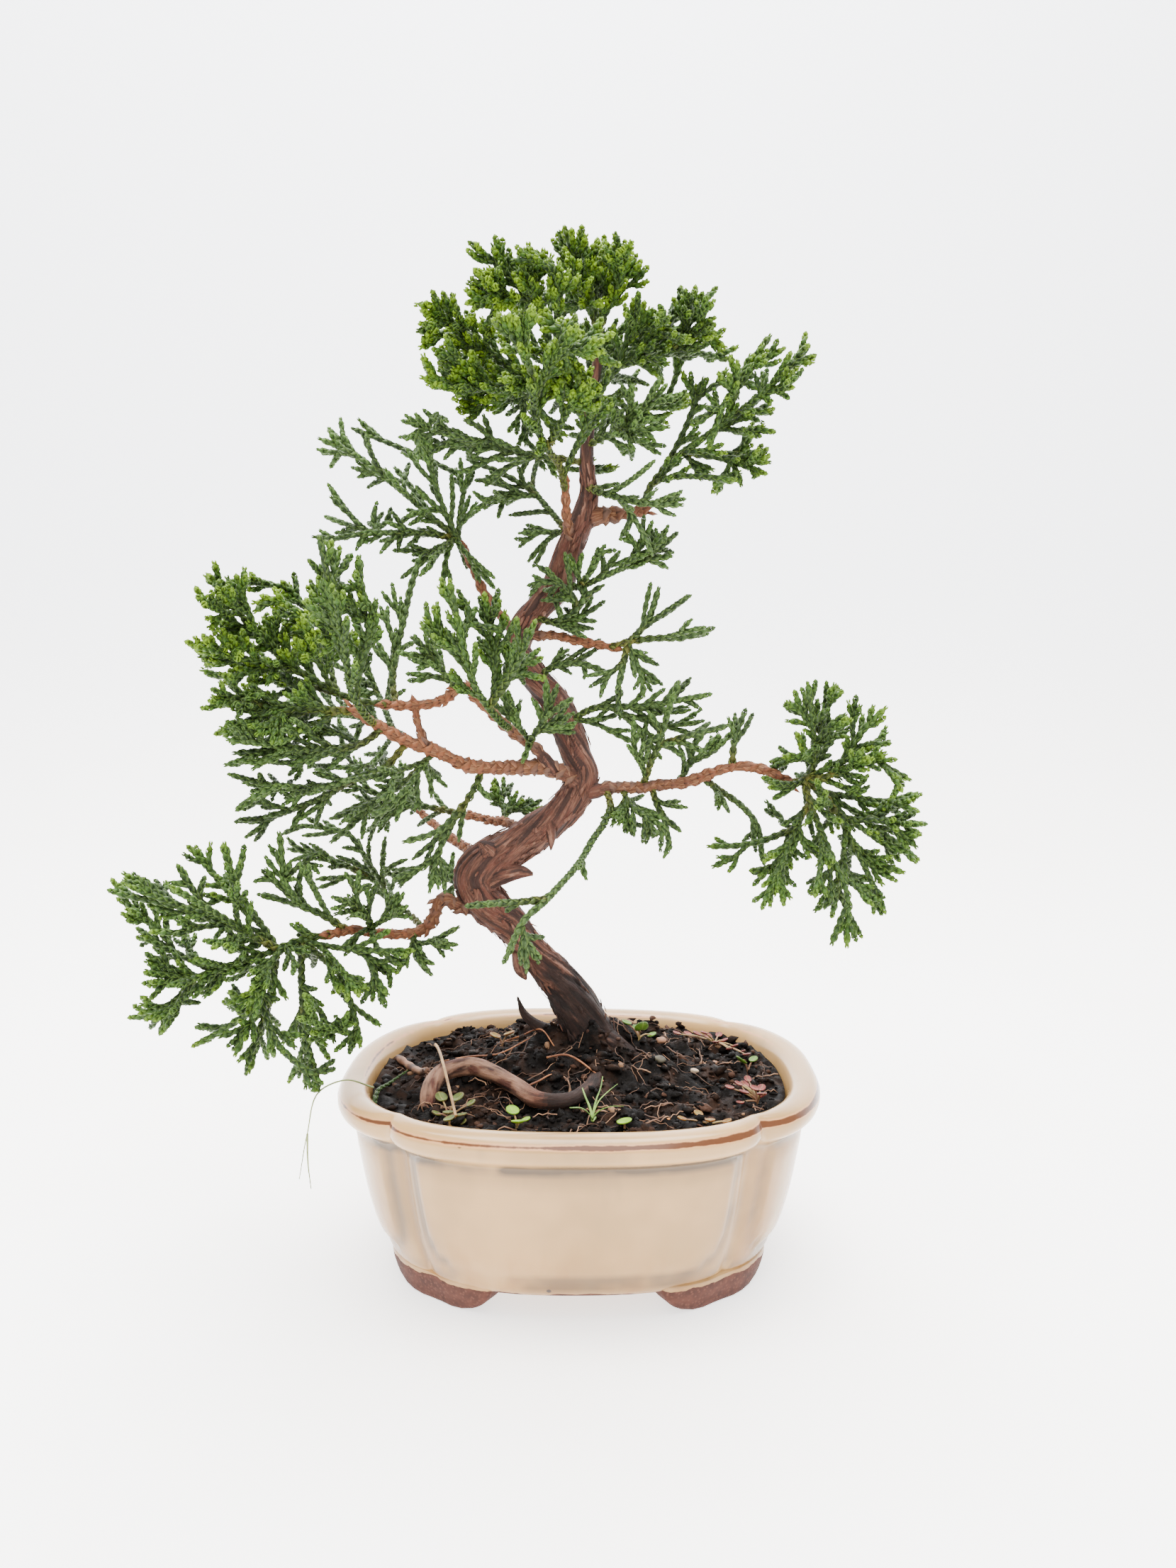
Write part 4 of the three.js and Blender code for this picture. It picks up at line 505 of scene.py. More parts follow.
def pot_spots(angle, row):
    rows = np.round(row).astype(int)
    inset, height, notch = np.array(POT_SECTION, float)[rows].T
    reach = np.maximum(pot_outline(angle, inset, notch), 0)
    reach[(rows == 0) | (rows == len(POT_SECTION) - 1)] = 0
    wall = (rows > FOOT_EDGE_ROW) & (height < PANEL_HIGH + 1) & (rows < NECK_ROW)
    rise = bpy.context.scene.bonsai_pot.panel_rise / MM
    inside = panel_inside(angle, height, reach)
    lift = rise * smooth_step(-0.6, 0.9, inside) - PANEL_GROOVE * bell(inside, -0.9, 0.8)
    reach = reach + np.where(wall, lift, 0)
    # A hand-made pot is a little uneven
    wave = 0.35 * np.sin(2 * angle + 0.8) + 0.25 * np.sin(3 * angle + height * 0.03)
    reach = reach + np.where(rows > STILL_ROW, wave * smooth_step(5, 30, reach), 0)
    uneven = 0.25 * np.sin(3 * angle + 1) * smooth_step(40, 60, height)
    return np.stack([reach * np.cos(angle), reach * np.sin(angle), height + uneven], axis=1)


FOOT_FROM, FOOT_TO = 0.27, 1.06  # radians from the long axis
FOOT_INSET = 15
FOOT_NOTCH = 1.6
FOOT_PROUD = 0.5
FOOT_THICK = 10
FOOT_LEAN = 1.8
FOOT_TOP = 10.4
FOOT_ARCH = 8.5
FOOT_ARCH_FROM = 0.36  # share of its half length where the arch starts
FOOT_ROUND = 0.16  # how much of a side its rounded edges take
FOOT_CUTS = 7


def pot_foot(sign_x, sign_y):
    """A corner foot under a notch: it follows the body's edge and is arched at its two ends."""
    bm = bmesh.new()
    bmesh.ops.create_cube(bm, size=1)
    bmesh.ops.bevel(
        bm, geom=bm.edges, offset=FOOT_ROUND, offset_type="OFFSET", segments=4, profile=0.5,
        affect="EDGES", material=-1,
    )
    bmesh.ops.subdivide_edges(bm, edges=bm.edges, cuts=FOOT_CUTS, use_grid_fill=True)
    mesh = mesh_from(bm)
    x, y, z = read(mesh).T
    angle = mix(FOOT_FROM, FOOT_TO, x + 0.5)
    arch = np.maximum(0, np.abs(x) * 2 - FOOT_ARCH_FROM) / (1 - FOOT_ARCH_FROM)
    low = FOOT_ARCH * (1 - np.sqrt(np.maximum(1 - arch**2, 0)))
    height = mix(low, FOOT_TOP, z + 0.5)
    outside = pot_outline(angle, FOOT_INSET, FOOT_NOTCH) + FOOT_PROUD
    lean = FOOT_LEAN * (1 - smooth_step(0, 9, height))
    reach = outside - lean - (0.5 - y) * (FOOT_THICK - 2 * lean)
    spots = np.stack([sign_x * reach * np.cos(angle), sign_y * reach * np.sin(angle), height], axis=1)
    write(mesh, home(spots))
    return faced_out(opened(mesh))


def glaze_finish():
    """Cream glaze that breaks brown on the lip's edge, over bare clay, with painted shade: grey-brown in the
    grooves, under the lip and beside the notches, and darker and warmer low on the wall and at the ends.
    """
    sizes = bpy.context.scene.bonsai_pot
    make = Finish("glaze", Specular_IOR_Level=0.35, Coat_Roughness=0.08)
    spots = make.spots()
    broad = make.noise(spots, 26, 3)
    fine = make.noise(spots, 420, 4)
    streaks = make.noise(make.stretched(spots, (90, 90, 12)), 1, 3)
    glaze = make.tint(tuple(sizes.glaze), GLAZE_SAND, broad, 0.42, 0.66)
    glaze = make.tint(glaze, GLAZE_STREAK, streaks, 0.55, 0.75, 0.35)
    # Painted shade: the glaze goes darker and warmer in streaks low on the wall and at the two ends
    low = make.maths("MULTIPLY", make.kept("low"), make.band(streaks, 0.3, 0.7))
    glaze = make.blend(low, glaze, GLAZE_WARM_SHADE)
    # Painted shade: grey-brown smudges in the panel grooves, under the lip, above the foot edge and beside
    # the notches
    patches = make.band(make.noise(spots, 38, 3), 0.3, 0.62)
    glaze = make.blend(make.maths("MULTIPLY", make.kept("groove_shade"), patches), glaze, GLAZE_GROOVE_SHADE)
    chosen = make.band(make.noise(spots, 60, 1), 0.62, 0.66)
    speck = make.maths("MULTIPLY", make.band(make.cells(spots, 95), 0.085, 0.05), chosen)
    glaze = make.blend(speck, glaze, SPECK)
    edge = make.maths("ADD", make.kept("brown"), make.band(fine, 0.3, 0.7, -0.07, 0.07))
    edge = make.maths("ADD", edge, make.band(make.noise(spots, 60, 2), 0.3, 0.7, -0.14, 0.14))
    glaze = make.tint(glaze, GLAZE_HALO, edge, 0.28, 0.6)
    glaze = make.tint(glaze, GLAZE_BROWN, edge, 0.55, 0.85)
    line = make.maths("ADD", make.kept("bare"), make.band(make.noise(spots, 120, 3), 0.2, 0.8, -0.3, 0.3))
    bare = make.band(line, 0.46, 0.54)
    clay = make.tint(CLAY_DARK, CLAY, make.noise(spots, 300, 5), 0.3, 0.7)
    clay = make.blend(make.band(make.cells(spots, 900), 0.1, 0.5), CLAY_GRAIN, clay)
    make.set("Base Color", make.blend(bare, glaze, clay))
    make.set("Roughness", make.band(bare, 0, 1, 0.24, 0.85))
    make.set("Coat Weight", make.band(bare, 0, 1, 0.12, 0.0))
    grain = make.bump(make.noise(spots, 900, 3), 0.35, 0.0002)
    smooth = make.bump(make.noise(spots, 150, 2), 0.06, 0.0006)
    chooser = make.add("Mix", {"Factor": bare}, data_type="VECTOR")
    make.feed(chooser.inputs[4], smooth)
    make.feed(chooser.inputs[5], grain)
    make.set("Normal", chooser.outputs[1])
    return make.material


def glaze_values(mesh):
    """Keeps on a mesh where its glaze breaks brown, where it takes painted shade in a groove, under the lip
    or beside a notch, where it takes painted shade low on the wall or at the ends, and where it ends.
    """
    x, y, z = ((read(mesh) - HOME) / MM).T
    angle = np.arctan2(y, x)
    reach = np.hypot(x, y)
    gap = notch_gap(angle)
    from_rim = pot_outline(angle, 0, 0) - reach
    outer = smooth_step(7, 1.5, from_rim - RIM_NOTCH * np.exp(-gap / NOTCH_WIDTH))
    heavier = 0.5 * smooth_step(0.3, 1, np.cos(angle + 0.6)) + 0.15 * np.exp(-gap / 0.12)
    brown = outer * bell(z, EDGE_HEIGHT, 0.62 + 0.6 * heavier) * (0.9 + heavier)
    behind = smooth_step(-0.6, 0.3, np.sin(angle) - 0.4 * np.cos(angle))
    brown = brown + 0.8 * (bell(from_rim, INNER_EDGE, 0.75) * (z > 56) * behind)
    wall = (z > 9) & (z < 52) & (from_rim < 17)
    # Painted shade along the panel edges, in a line under the lip, above the foot edge and, below, beside the
    # notches
    along = 0.75 * bell(panel_inside(angle, z, reach), -1.2, 2.2)
    groove_shade = wall * (along + 0.75 * bell(z, NECK_HEIGHT, 1.4) + 0.5 * bell(z, 11, 2))
    # Painted shade darkens the glaze towards both ends and, in the value low, towards the bottom of the wall
    ends = 0.9 * smooth_step(32, 64, np.abs(x)) * (z < NECK_HEIGHT)
    keep(mesh, "brown", brown)
    keep(mesh, "groove_shade", groove_shade + wall * 0.5 * np.exp(-gap / 0.04))
    keep(mesh, "low", np.minimum(smooth_step(34, 8, z) * 0.8 + ends, 1))
    keep(mesh, "bare", 1 - smooth_step(6.6, 10.2, z))


class BONSAI_OT_pot(bpy.types.Operator):
    """Turn the lobed pot with its lip and panels, and add its four corner feet"""

    bl_idname = "bonsai.pot"
    bl_label = "Pot"

    def execute(self, context):
        body = rolled(POT_SIDES, len(POT_SECTION) - 1, pot_spots)
        corners = [(1, 1), (-1, 1), (-1, -1), (1, -1)]
        mesh = joined([body] + [pot_foot(*corner) for corner in corners])
        glaze_values(mesh)
        piece("pot_body", mesh, [glaze_finish()], ["pot"])
        return {"FINISHED"}


# Soil

SOIL_EDGE = 56.2
SOIL_MOUND = 14.5
MOUND_PLACE = (2, 11)
MOUND_WIDTH = 18
CLOD_PLACE = (26, 20)
CLOD_HEIGHT = 3
CLOD_WIDTH = 6
SOIL_INSET = 10.15
SOIL_NOTCH = 0.5
SOIL_FOOT = [(61, 15), (20.4, 15), (17.6, 17.2), (SOIL_INSET, SOIL_EDGE - 0.6)]
SOIL_SIDES = 210
SOIL_ROWS = 58
CRUMB_SHAPES = 4
LARGEST_CRUMB = 2.4
FIBRE_STEP = 1.3
FIBRE_LENGTH = (5, 20)
FIBRE_RADII = [0.12, 0.15, 0.2, 0.3]


class SoilSizes(bpy.types.PropertyGroup):
    """How coarse the soil is, and its colour."""

    crumbs: IntProperty(name="Crumbs", description="Loose crumbs on the surface", default=3000)
    fibres: IntProperty(name="Fibres", description="Fine dead roots on the surface", default=190)
    colour: FloatVectorProperty(
        name="Soil", description="Colour of the wet mix", default=linear(12, 8, 5), size=3,
        subtype="COLOR", min=0, max=1,
    )


def soil_top(x, y):
    """Height of the soil: a mound at the trunk, lumps that fade at the wall, and a clod."""
    from_mound = (x - MOUND_PLACE[0]) ** 2 + (y - MOUND_PLACE[1]) ** 2
    mound = SOIL_MOUND * np.exp(-from_mound / (2 * MOUND_WIDTH**2))
    waves = 0.9 * np.sin(x * 0.31 + 1) * np.cos(y * 0.27) + 0.7 * np.sin(y * 0.53 + x * 0.17)
    fade = np.exp(-((x / 62) ** 8) - (y / 50) ** 8)
    from_clod = (x - CLOD_PLACE[0]) ** 2 + (y - CLOD_PLACE[1]) ** 2
    clod = CLOD_HEIGHT * np.exp(-from_clod / CLOD_WIDTH**2)
    return SOIL_EDGE + mound + waves * fade + clod


def crumbly(x, y):
    """Small rises and hollows of the loose surface."""
    flat = np.stack([x, y, np.zeros_like(x)], axis=1)
    edge = np.exp(-((x / 64) ** 10) - (y / 52) ** 10)
    rough = 1.25 * ripple(flat / 4.2, 1) + 0.75 * ripple(flat / 1.9, 2, 12)
    rough = rough + 0.3 * ripple(flat / 0.9, 3, 12)
    return rough * (0.35 + 0.65 * edge)


def over_soil(x, y, height=0.0):
    return np.array([x, y, float(soil_top(np.array(x), np.array(y))) + height])


def soil_spots(angle, row):
    rows = np.round(row).astype(int)
    foot = np.minimum(rows, len(SOIL_FOOT) - 1)
    inset, height = np.array(SOIL_FOOT, float)[foot].T
    share = 1 - np.maximum(rows - len(SOIL_FOOT) + 1, 0) / SOIL_ROWS
    reach = pot_outline(angle, inset, SOIL_NOTCH) * np.maximum(share, 0)
    reach[rows == 0] = 0
    x, y = reach * np.cos(angle), reach * np.sin(angle)
    top = rows >= len(SOIL_FOOT)
    middle = smooth_step(0, 3, reach)
    return np.stack([x, y, np.where(top, soil_top(x, y) + crumbly(x, y) * middle, height)], axis=1)


def scattered(draw, count, share=0.97):
    """Random spots over the soil."""
    angle = draw.uniform(0, 2 * math.pi, count)
    reach = pot_outline(angle, SOIL_INSET, SOIL_NOTCH) * share * np.sqrt(draw.uniform(0, 1, count))
    return reach * np.cos(angle), reach * np.sin(angle)


def lump(draw):
    """A small closed crumb with an uneven outline."""
    bm = bmesh.new()
    bmesh.ops.create_icosphere(bm, subdivisions=1, radius=1)
    for vertex in bm.verts:
        vertex.co *= 1 + draw.uniform(-0.32, 0.25)
        vertex.co.z *= 0.8
    return mesh_from(bm)


def random_ways(draw, count):
    """Random ways for copies, out and along, most of them lying flat."""
    turn = draw.uniform(0, 2 * math.pi, count)
    out = unit(np.stack([np.cos(turn), np.sin(turn), draw.normal(0, 0.5, count)], axis=1))
    side = unit(np.cross(np.tile([0.0, 0.0, 1.0], (count, 1)), out))
    return out, np.cross(out, side)


def soil_finish():
    make = Finish("soil", roughness=0.9, Specular_IOR_Level=0.1)
    spots = make.spots()
    colour = tuple(bpy.context.scene.bonsai_soil.colour)
    grain = make.noise(spots, 900, 5)
    dirt = make.tint(linear(6, 4, 3), colour, grain, 0.35, 0.7)
    dirt = make.tint(dirt, linear(40, 26, 18), make.noise(spots, 130, 3), 0.45, 0.72)
    chance = make.kept("chance")
    dirt = make.tint(dirt, linear(62, 42, 32), chance, 0.88, 0.93)
    make.set("Base Color", make.tint(dirt, linear(122, 92, 68), chance, 0.975, 0.98))
    make.set("Roughness", make.band(make.noise(spots, 200, 3), 0.4, 0.6, 0.62, 0.95))
    make.set("Normal", make.bump(grain, 0.9, 0.0006))
    return make.material


def fibre_finish(name, dark, light):
    make = Finish(name, roughness=0.75)
    spots = make.spots()
    make.set("Base Color", make.tint(dark, light, make.noise(spots, 160, 4), 0.38, 0.62))
    make.set("Normal", make.bump(make.noise(spots, 1500, 3), 0.5, 0.0002))
    return make.material


def fibre_lines(draw, count):
    """Dead fine roots that wander over the surface and dip under it."""
    lines = []
    xs, ys = scattered(draw, count, 0.9)
    for x, y in zip(xs, ys):
        length = draw.uniform(*FIBRE_LENGTH)
        way = draw.uniform(0, 2 * math.pi)
        radius = draw.choice(FIBRE_RADII)
        rows = []
        steps = int(length / FIBRE_STEP) + 3
        for step in range(steps):
            share = step / (steps - 1)
            rise = 0.2 + 1.3 * math.sin(math.pi * share) + draw.normal(0, 0.3)
            rows.append([*over_soil(x, y, rise - 0.1), radius * (1 - 0.6 * share)])
            way += draw.normal(0, 0.3)
            x += FIBRE_STEP * math.cos(way)
            y += FIBRE_STEP * math.sin(way)
            wall = pot_outline(np.array([math.atan2(y, x)]), SOIL_INSET, SOIL_NOTCH)[0]
            if wall * 0.98 < math.hypot(x, y):
                break
        if len(rows) > 3:
            lines.append(np.array(rows))
    return lines


class BONSAI_OT_soil(bpy.types.Operator):
    """Fill the pot with a mounded crumbly mix, with loose crumbs, bark bits and dead fine roots"""

    bl_idname = "bonsai.soil"
    bl_label = "Soil"

    def execute(self, context):
        sizes = context.scene.bonsai_soil
        draw = np.random.default_rng(11)
        ground = rolled(SOIL_SIDES, len(SOIL_FOOT) + SOIL_ROWS - 1, soil_spots)
        keep(ground, "chance", np.zeros(len(ground.vertices)))
        meshes = [paint_faces(ground, 0)]
        for _ in range(CRUMB_SHAPES):
            count = sizes.crumbs // CRUMB_SHAPES
            template = lump(draw)
            x, y = scattered(draw, count)
            radius = np.minimum(0.3 + draw.gamma(1.8, 0.32, count), LARGEST_CRUMB)
            long = draw.uniform(0.7, 1.5, count)
            shape = np.stack([radius * long, radius, radius * draw.uniform(0.5, 0.9, count)], axis=1)
            top = soil_top(x, y) + crumbly(x, y)
            origins = np.stack([x, y, top + radius * draw.uniform(-0.1, 0.55, count)], axis=1)
            out, along = random_ways(draw, count)
            rows = {"out": out, "along": along, "size": shape, "chance": draw.uniform(0, 1, count)}
            meshes.append(paint_faces(stamped(template, origins, rows), 0))
        lines = fibre_lines(draw, sizes.fibres)
        meshes += [paint_faces(tubes(lines[number::2], 0), number + 1) for number in (0, 1)]
        finishes = [
            soil_finish(),
            fibre_finish("dead_roots_dark", linear(46, 30, 21), linear(86, 58, 40)),
            fibre_finish("dead_roots_pale", linear(96, 66, 46), linear(140, 104, 76)),
        ]
        piece("soil_mix", joined(meshes), finishes, ["soil"])
        return {"FINISHED"}


# Wood: each row is across, up, depth, radius

TRUNK = [
    (5, 58, 9, 12), (4, 66, 9, 10.4), (1.8, 73, 8, 8.2), (-1.4, 80, 7, 6.9), (-7, 88, 6, 5.9),
    (-12.5, 94.5, 4, 5.3), (-18, 101, 2, 5.3), (-22, 106, 0, 5.6), (-27, 110.5, -2, 6.1),
    (-31.5, 116, -4, 6.5), (-32.6, 121.5, -5, 6.7), (-28.5, 126, -5, 6.3), (-21, 130.2, -4, 6.1),
    (-13.5, 135, -3, 6), (-6.4, 140.6, -1, 5.7), (-1.6, 146.6, 0, 5.4), (1.4, 152.6, 1, 5.1),
    (-0.8, 160, 2, 5), (-4, 168, 3, 4.8), (-8, 177, 4, 4.6), (-14, 184, 5, 4.4), (-19, 191.7, 6, 4.4),
    (-17.2, 198, 6, 4.3), (-12.2, 204.6, 5, 4.3), (-7, 210.5, 4, 4.4), (-4.4, 217, 3, 4.3),
    (-2.2, 224, 2, 4.1), (1, 231, 2, 3.8), (3.1, 238, 2, 3), (2.3, 247, 2, 2.4), (2.6, 257, 2, 2.1),
    (4, 268, 2, 1.8), (6, 279, 2, 1.5),
]
BRANCHES = {
    "low_left": [
        (-30, 112, -5, 2.6), (-36.5, 110.5, -6, 2.3), (-43.5, 113.2, -8, 2.3), (-45.4, 108.5, -9, 2.1),
        (-49, 104.5, -11, 2), (-55.5, 102.2, -14, 1.8), (-63, 102.6, -18, 1.7), (-71, 103.5, -22, 1.6),
        (-79.4, 102.4, -26, 1.5),
    ],
    "left": [
        (0.5, 148, 0, 3.4), (-3.5, 152.5, -4, 3), (-9.5, 155.4, -7, 2.7), (-18, 155.5, -9, 2.6),
        (-28, 155.2, -12, 2.5), (-36.5, 156.6, -14, 2.3), (-45, 160.5, -16, 2.1), (-53, 163.8, -18, 2),
        (-62, 168, -20, 1.9), (-71, 173.5, -22, 1.6),
    ],
    "left_upper": [
        (-8.5, 155, -7, 2.4), (-12.5, 160.5, -9, 2), (-18.5, 164.8, -10, 2), (-24.5, 169.8, -11, 1.9),
        (-30.5, 176, -12, 1.9), (-36, 180.6, -13, 1.8), (-41.6, 176.7, -13, 1.7),
        (-50.8, 174.8, -14, 1.6), (-60, 175, -15, 1.5),
    ],
    "left_link": [(-47.5, 161.8, -17, 1.6), (-49.6, 167.5, -16, 1.3), (-50.8, 174.5, -14, 1.3)],
    "right": [
        (0.5, 147.4, 0, 2.9), (6, 148.4, -2, 2.3), (13, 149.2, -3, 2.1), (21.5, 149.8, -4, 2),
        (30, 150.2, -4, 2), (36.5, 152, -4, 2.1), (43, 154.4, -4, 1.8), (49.5, 155.8, -5, 1.7),
        (56, 154.8, -6, 1.6), (61.5, 152.8, -7, 1.6), (66.5, 150.5, -8, 1.5),
    ],
    "upper_left": [
        (-16, 192, 6, 2), (-22.7, 201, 8, 1.7), (-28.5, 208, 9, 1.6), (-32.6, 216.5, 10, 1.4),
        (-34.5, 222, 10, 1.3),
    ],
    "upper_twig": [(-2.2, 224.5, 0, 1.9), (-3.9, 233, -4, 1.6), (-4.3, 241.5, -7, 1.4)],
    "right_stub": [(1, 231, 2, 3), (8.6, 232.4, 2, 2.6), (15, 233, 3, 2.1), (20.6, 233.6, 4, 1.7)],
    "back_low": [(-27, 124, 0, 2.2), (-33, 128.5, 12, 2), (-40.8, 133.6, 26, 1.8), (-49.3, 141, 38, 1.5)],
    "under_left": [
        (-16, 134.5, 0, 1.9), (-24, 138.2, 7, 1.6), (-31, 139.8, 13, 1.5), (-37.8, 141, 18, 1.3),
    ],
    "mid_right": [(-16, 196.5, 5, 1.9), (-7.2, 196, 1, 1.5), (2, 194.4, -3, 1.4), (10.6, 192.6, -6, 1.3)],
}
STUBS = {
    "lower_stub": [
        (-29, 120, -6, 3.4), (-22, 122, -9, 2.6), (-17.5, 122.4, -10, 1.9), (-14.2, 121.6, -10, 0.4),
    ],
    "flake": [(-27, 127, -8, 3), (-29, 130, -9, 2.6), (-31.6, 132, -10, 0.3)],
    "peg": [(-9, 137, -6, 1.8), (-8.6, 133, -8, 1.3), (-8.9, 128.8, -8, 0.3)],
    "base_flake": [(-19, 96, 1, 2.4), (-18.4, 90.6, -1, 2), (-16.6, 87.4, -1, 0.3)],
}
# Roots, in the pot's own places: each is x, y, z, radius
ROOTS = {
    "surface": [
        (5, 4, 62, 4.4), (6, -12, 60, 3), (2.4, -23.5, 60, 2.3), (-4.4, -31.4, 60, 2.3),
        (-11, -32.6, 60.8, 2.6), (-18.2, -23.6, 61.4, 2.7), (-26.5, -13.5, 61.8, 2.7),
        (-34, -7.6, 61.8, 2.8), (-41.4, -11.6, 61.6, 2.8), (-44.4, -20, 60.2, 2.8),
        (-44.8, -25.4, 57.4, 2.4), (-44.4, -28.6, 53, 1),
    ],
    "left": [(-1, 9, 66, 4), (-12, 10, 68.4, 2.2), (-18, 10, 73.2, 1.4), (-20.4, 10, 79.4, 0.3)],
    "back": [(5, 12, 66, 4.8), (10, 22, 62.6, 3.4), (20, 33, 57, 2.6), (28, 41, 50, 0.5)],
    "right": [(6, 6, 67, 5), (17, 3, 60.6, 3.4), (29, -3, 55, 2.6), (42, -8, 50, 0.5)],
}
TWIGS = {  # twigs with old scales, each with the share of its length where they begin
    "low_left": 0.08, "left": 0.08, "left_upper": 0.1, "left_link": 0, "right": 0.1, "upper_left": 0,
    "upper_twig": 0, "right_stub": 0.3, "back_low": 0, "under_left": 0, "mid_right": 0,
}
LIMB_STEP = 1.1
LIMB_APART = 400.0  # keeps the bark's pattern of one limb from that of the next
TWIG_SLIM = 0.82  # a twig inside its old scales, to what it measures with them
TWIG_COAT = 1.2
TWIG_PITCH = 2.1
THINNEST = 0.25
DIRTY_FROM, DIRTY_TO = 106, 77  # heights between which the trunk's foot gets dark
STRIPS_FROM = 12  # how far up the trunk the loose strips start
STRIPS_TO = 0.88  # share of the trunk's length
STRIP_LENGTH, STRIP_WIDTH, STRIP_THICK = (0.9, 3.1), (0.3, 0.9), (0.1, 0.24)
RAGGED_BELOW = 104  # where the strips stand off more
SEARCH_BLOCK = 4000
BARK_TWIST = 0.035  # radians for each millimetre
BARK_LUMPS = 0.42


class WoodSizes(bpy.types.PropertyGroup):
    """Sizes and colours of the bark."""

    voxel: FloatProperty(
        name="Grain", description="Size of the skin's smallest faces", default=0.00054, unit="LENGTH",
    )
    ridge: FloatProperty(
        name="Ridges", description="Height of the bark's ridges on the trunk", default=0.00046,
        unit="LENGTH",
    )
    flakes: IntProperty(name="Flakes", description="Loose strips of bark", default=520)
    colour: FloatVectorProperty(
        name="Bark", description="Colour of the bark", default=linear(88, 55, 42), size=3,
        subtype="COLOR", min=0, max=1,
    )


def placed(rows):
    """Rows of across, up, depth, radius as x, y, z, radius."""
    return np.array([[*seen(across, up, depth), radius] for across, up, depth, radius in rows])


def all_limbs():
    """Every limb by name, as a smooth line of x, y, z, radius."""
    limbs = {"trunk": smooth_line(placed(TRUNK), LIMB_STEP)}
    for table in (BRANCHES, STUBS):
        for name, rows in table.items():
            limbs[name] = smooth_line(placed(rows), LIMB_STEP)
    for name, rows in ROOTS.items():
        limbs["root_" + name] = smooth_line(rows, LIMB_STEP)
    for name, line in limbs.items():
        if name in BRANCHES:
            knots = 1 + 0.1 * ripple(line[:, :3] / 3.5, 40 + len(name))
            line[:, 3] *= knots
            line[:, :3] += 0.25 * np.stack([ripple(line[:, :3] / 5, 50 + k) for k in range(3)], axis=1)
            line[int(len(line) * TWIGS[name]) :, 3] *= TWIG_SLIM
        line[:, 3] = np.maximum(line[:, 3], THINNEST)
    limbs["trunk"][:, 3] *= 1 + 0.05 * ripple(limbs["trunk"][:, :3] / 9, 61)
    return limbs


def skinned(mesh, voxel):
    """One closed skin round overlapping bodies."""

    def wrap(thing):
        modifier = thing.modifiers.new("Skin", "REMESH")
        modifier.mode = "VOXEL"
        modifier.voxel_size = voxel

    return applied(mesh, wrap)


def nearest_places(spots, centres, radii):
    """For each spot, the number of the centreline place whose surface is nearest."""
    found = np.empty(len(spots), int)
    centres = centres.astype(np.float32)
    for start in range(0, len(spots), SEARCH_BLOCK):
        block = spots[start : start + SEARCH_BLOCK].astype(np.float32)
        gaps = np.linalg.norm(block[:, None, :] - centres[None], axis=2) - radii.astype(np.float32)
        found[start : start + SEARCH_BLOCK] = gaps.argmin(axis=1)
    return found


def limb_rows(limbs):
    """A row for every place on the limbs' lines: x, y, z, radius, the way along it and two across,
    how far along it is, and how much it is of a twig, dirty and pale."""
    rows = []
    for number, (name, line) in enumerate(limbs.items()):
        far = np.arange(len(line)) * LIMB_STEP + LIMB_APART * number
        branch = name in BRANCHES
        twig = smooth_step(0.05, 0.3, np.linspace(0, 1, len(line))) * branch
        dirt = smooth_step(DIRTY_FROM, DIRTY_TO, line[:, 2]) * (not branch)
        pale = np.zeros(len(line))
        if name == "root_surface":
            dirt = smooth_step(-14, -7, line[:, 0])
            pale = 0.8 * smooth_step(-11, -19, line[:, 0])
        elif name.startswith("root"):
            dirt = np.ones(len(line))
        rows.append(np.column_stack([line, *carried_frames(line[:, :3]), far, twig, dirt, pale]))
    return np.concatenate(rows)


def bark_skin(limbs, sizes):
    """The trunk, branches and roots as one skin with ridged bark, and the values its finish reads."""
    skin = skinned(tubes(list(limbs.values()), 4), sizes.voxel)
    spots = (read(skin) - HOME) / MM
    rows = limb_rows(limbs)
    near = rows[nearest_places(spots, rows[:, :3], rows[:, 3])]
    radius, way = near[:, 3], near[:, 4:7]
    far, twig, dirt, pale = near[:, 13:].T
    away = spots - near[:, :3]
    along, out_x, out_y = (np.einsum("vk,vk->v", away, near[:, k : k + 3]) for k in (4, 7, 10))
    length = far + along
    angle = np.arctan2(out_y, out_x) + length * BARK_TWIST
    round_ = np.stack([np.cos(angle) * radius, np.sin(angle) * radius], axis=1)

    def pattern(across, lengthwise, seed, waves=9):
        return ripple(np.column_stack([round_ * across, length * lengthwise]), seed, waves)

    coarse = 1 - 2.0 * np.abs(pattern(0.62, 0.075, 71, 12))
    thin = 1 - 1.8 * np.abs(pattern(1.7, 0.16, 72, 14))
    plates = smooth_step(0.1, 0.5, pattern(0.5, 0.2, 74, 12))
    rough = 0.3 + 0.7 * smooth_step(-0.1, 0.6, pattern(0.16, 0.06, 75))
    strength = np.interp(radius, [1.2, 2.5, 4, 7], [0.12, 0.3, 0.75, 1.15])
    lift = sizes.ridge / MM * strength * rough * (0.5 * coarse + 0.4 * thin + 0.7 * plates - 0.2)
    lift += BARK_LUMPS * strength * pattern(0.3, 0.16, 73)
    outward = unit(away - way * along[:, None])
    write(skin, home(spots + outward * lift[:, None]))
    keep(skin, "straight", np.column_stack([round_, length]))
    # Painted shade: darker where the coarse and thin ridges are low, in the furrows
    keep(skin, "furrow_shade_and_tone", np.clip(0.5 - 0.5 * coarse * 0.6 - 0.4 * thin * 0.6, 0, 1))
    for name, values in {"twig": twig, "stain": dirt, "pale": pale}.items():
        keep(skin, name, values)
    return paint_faces(skin, 0)


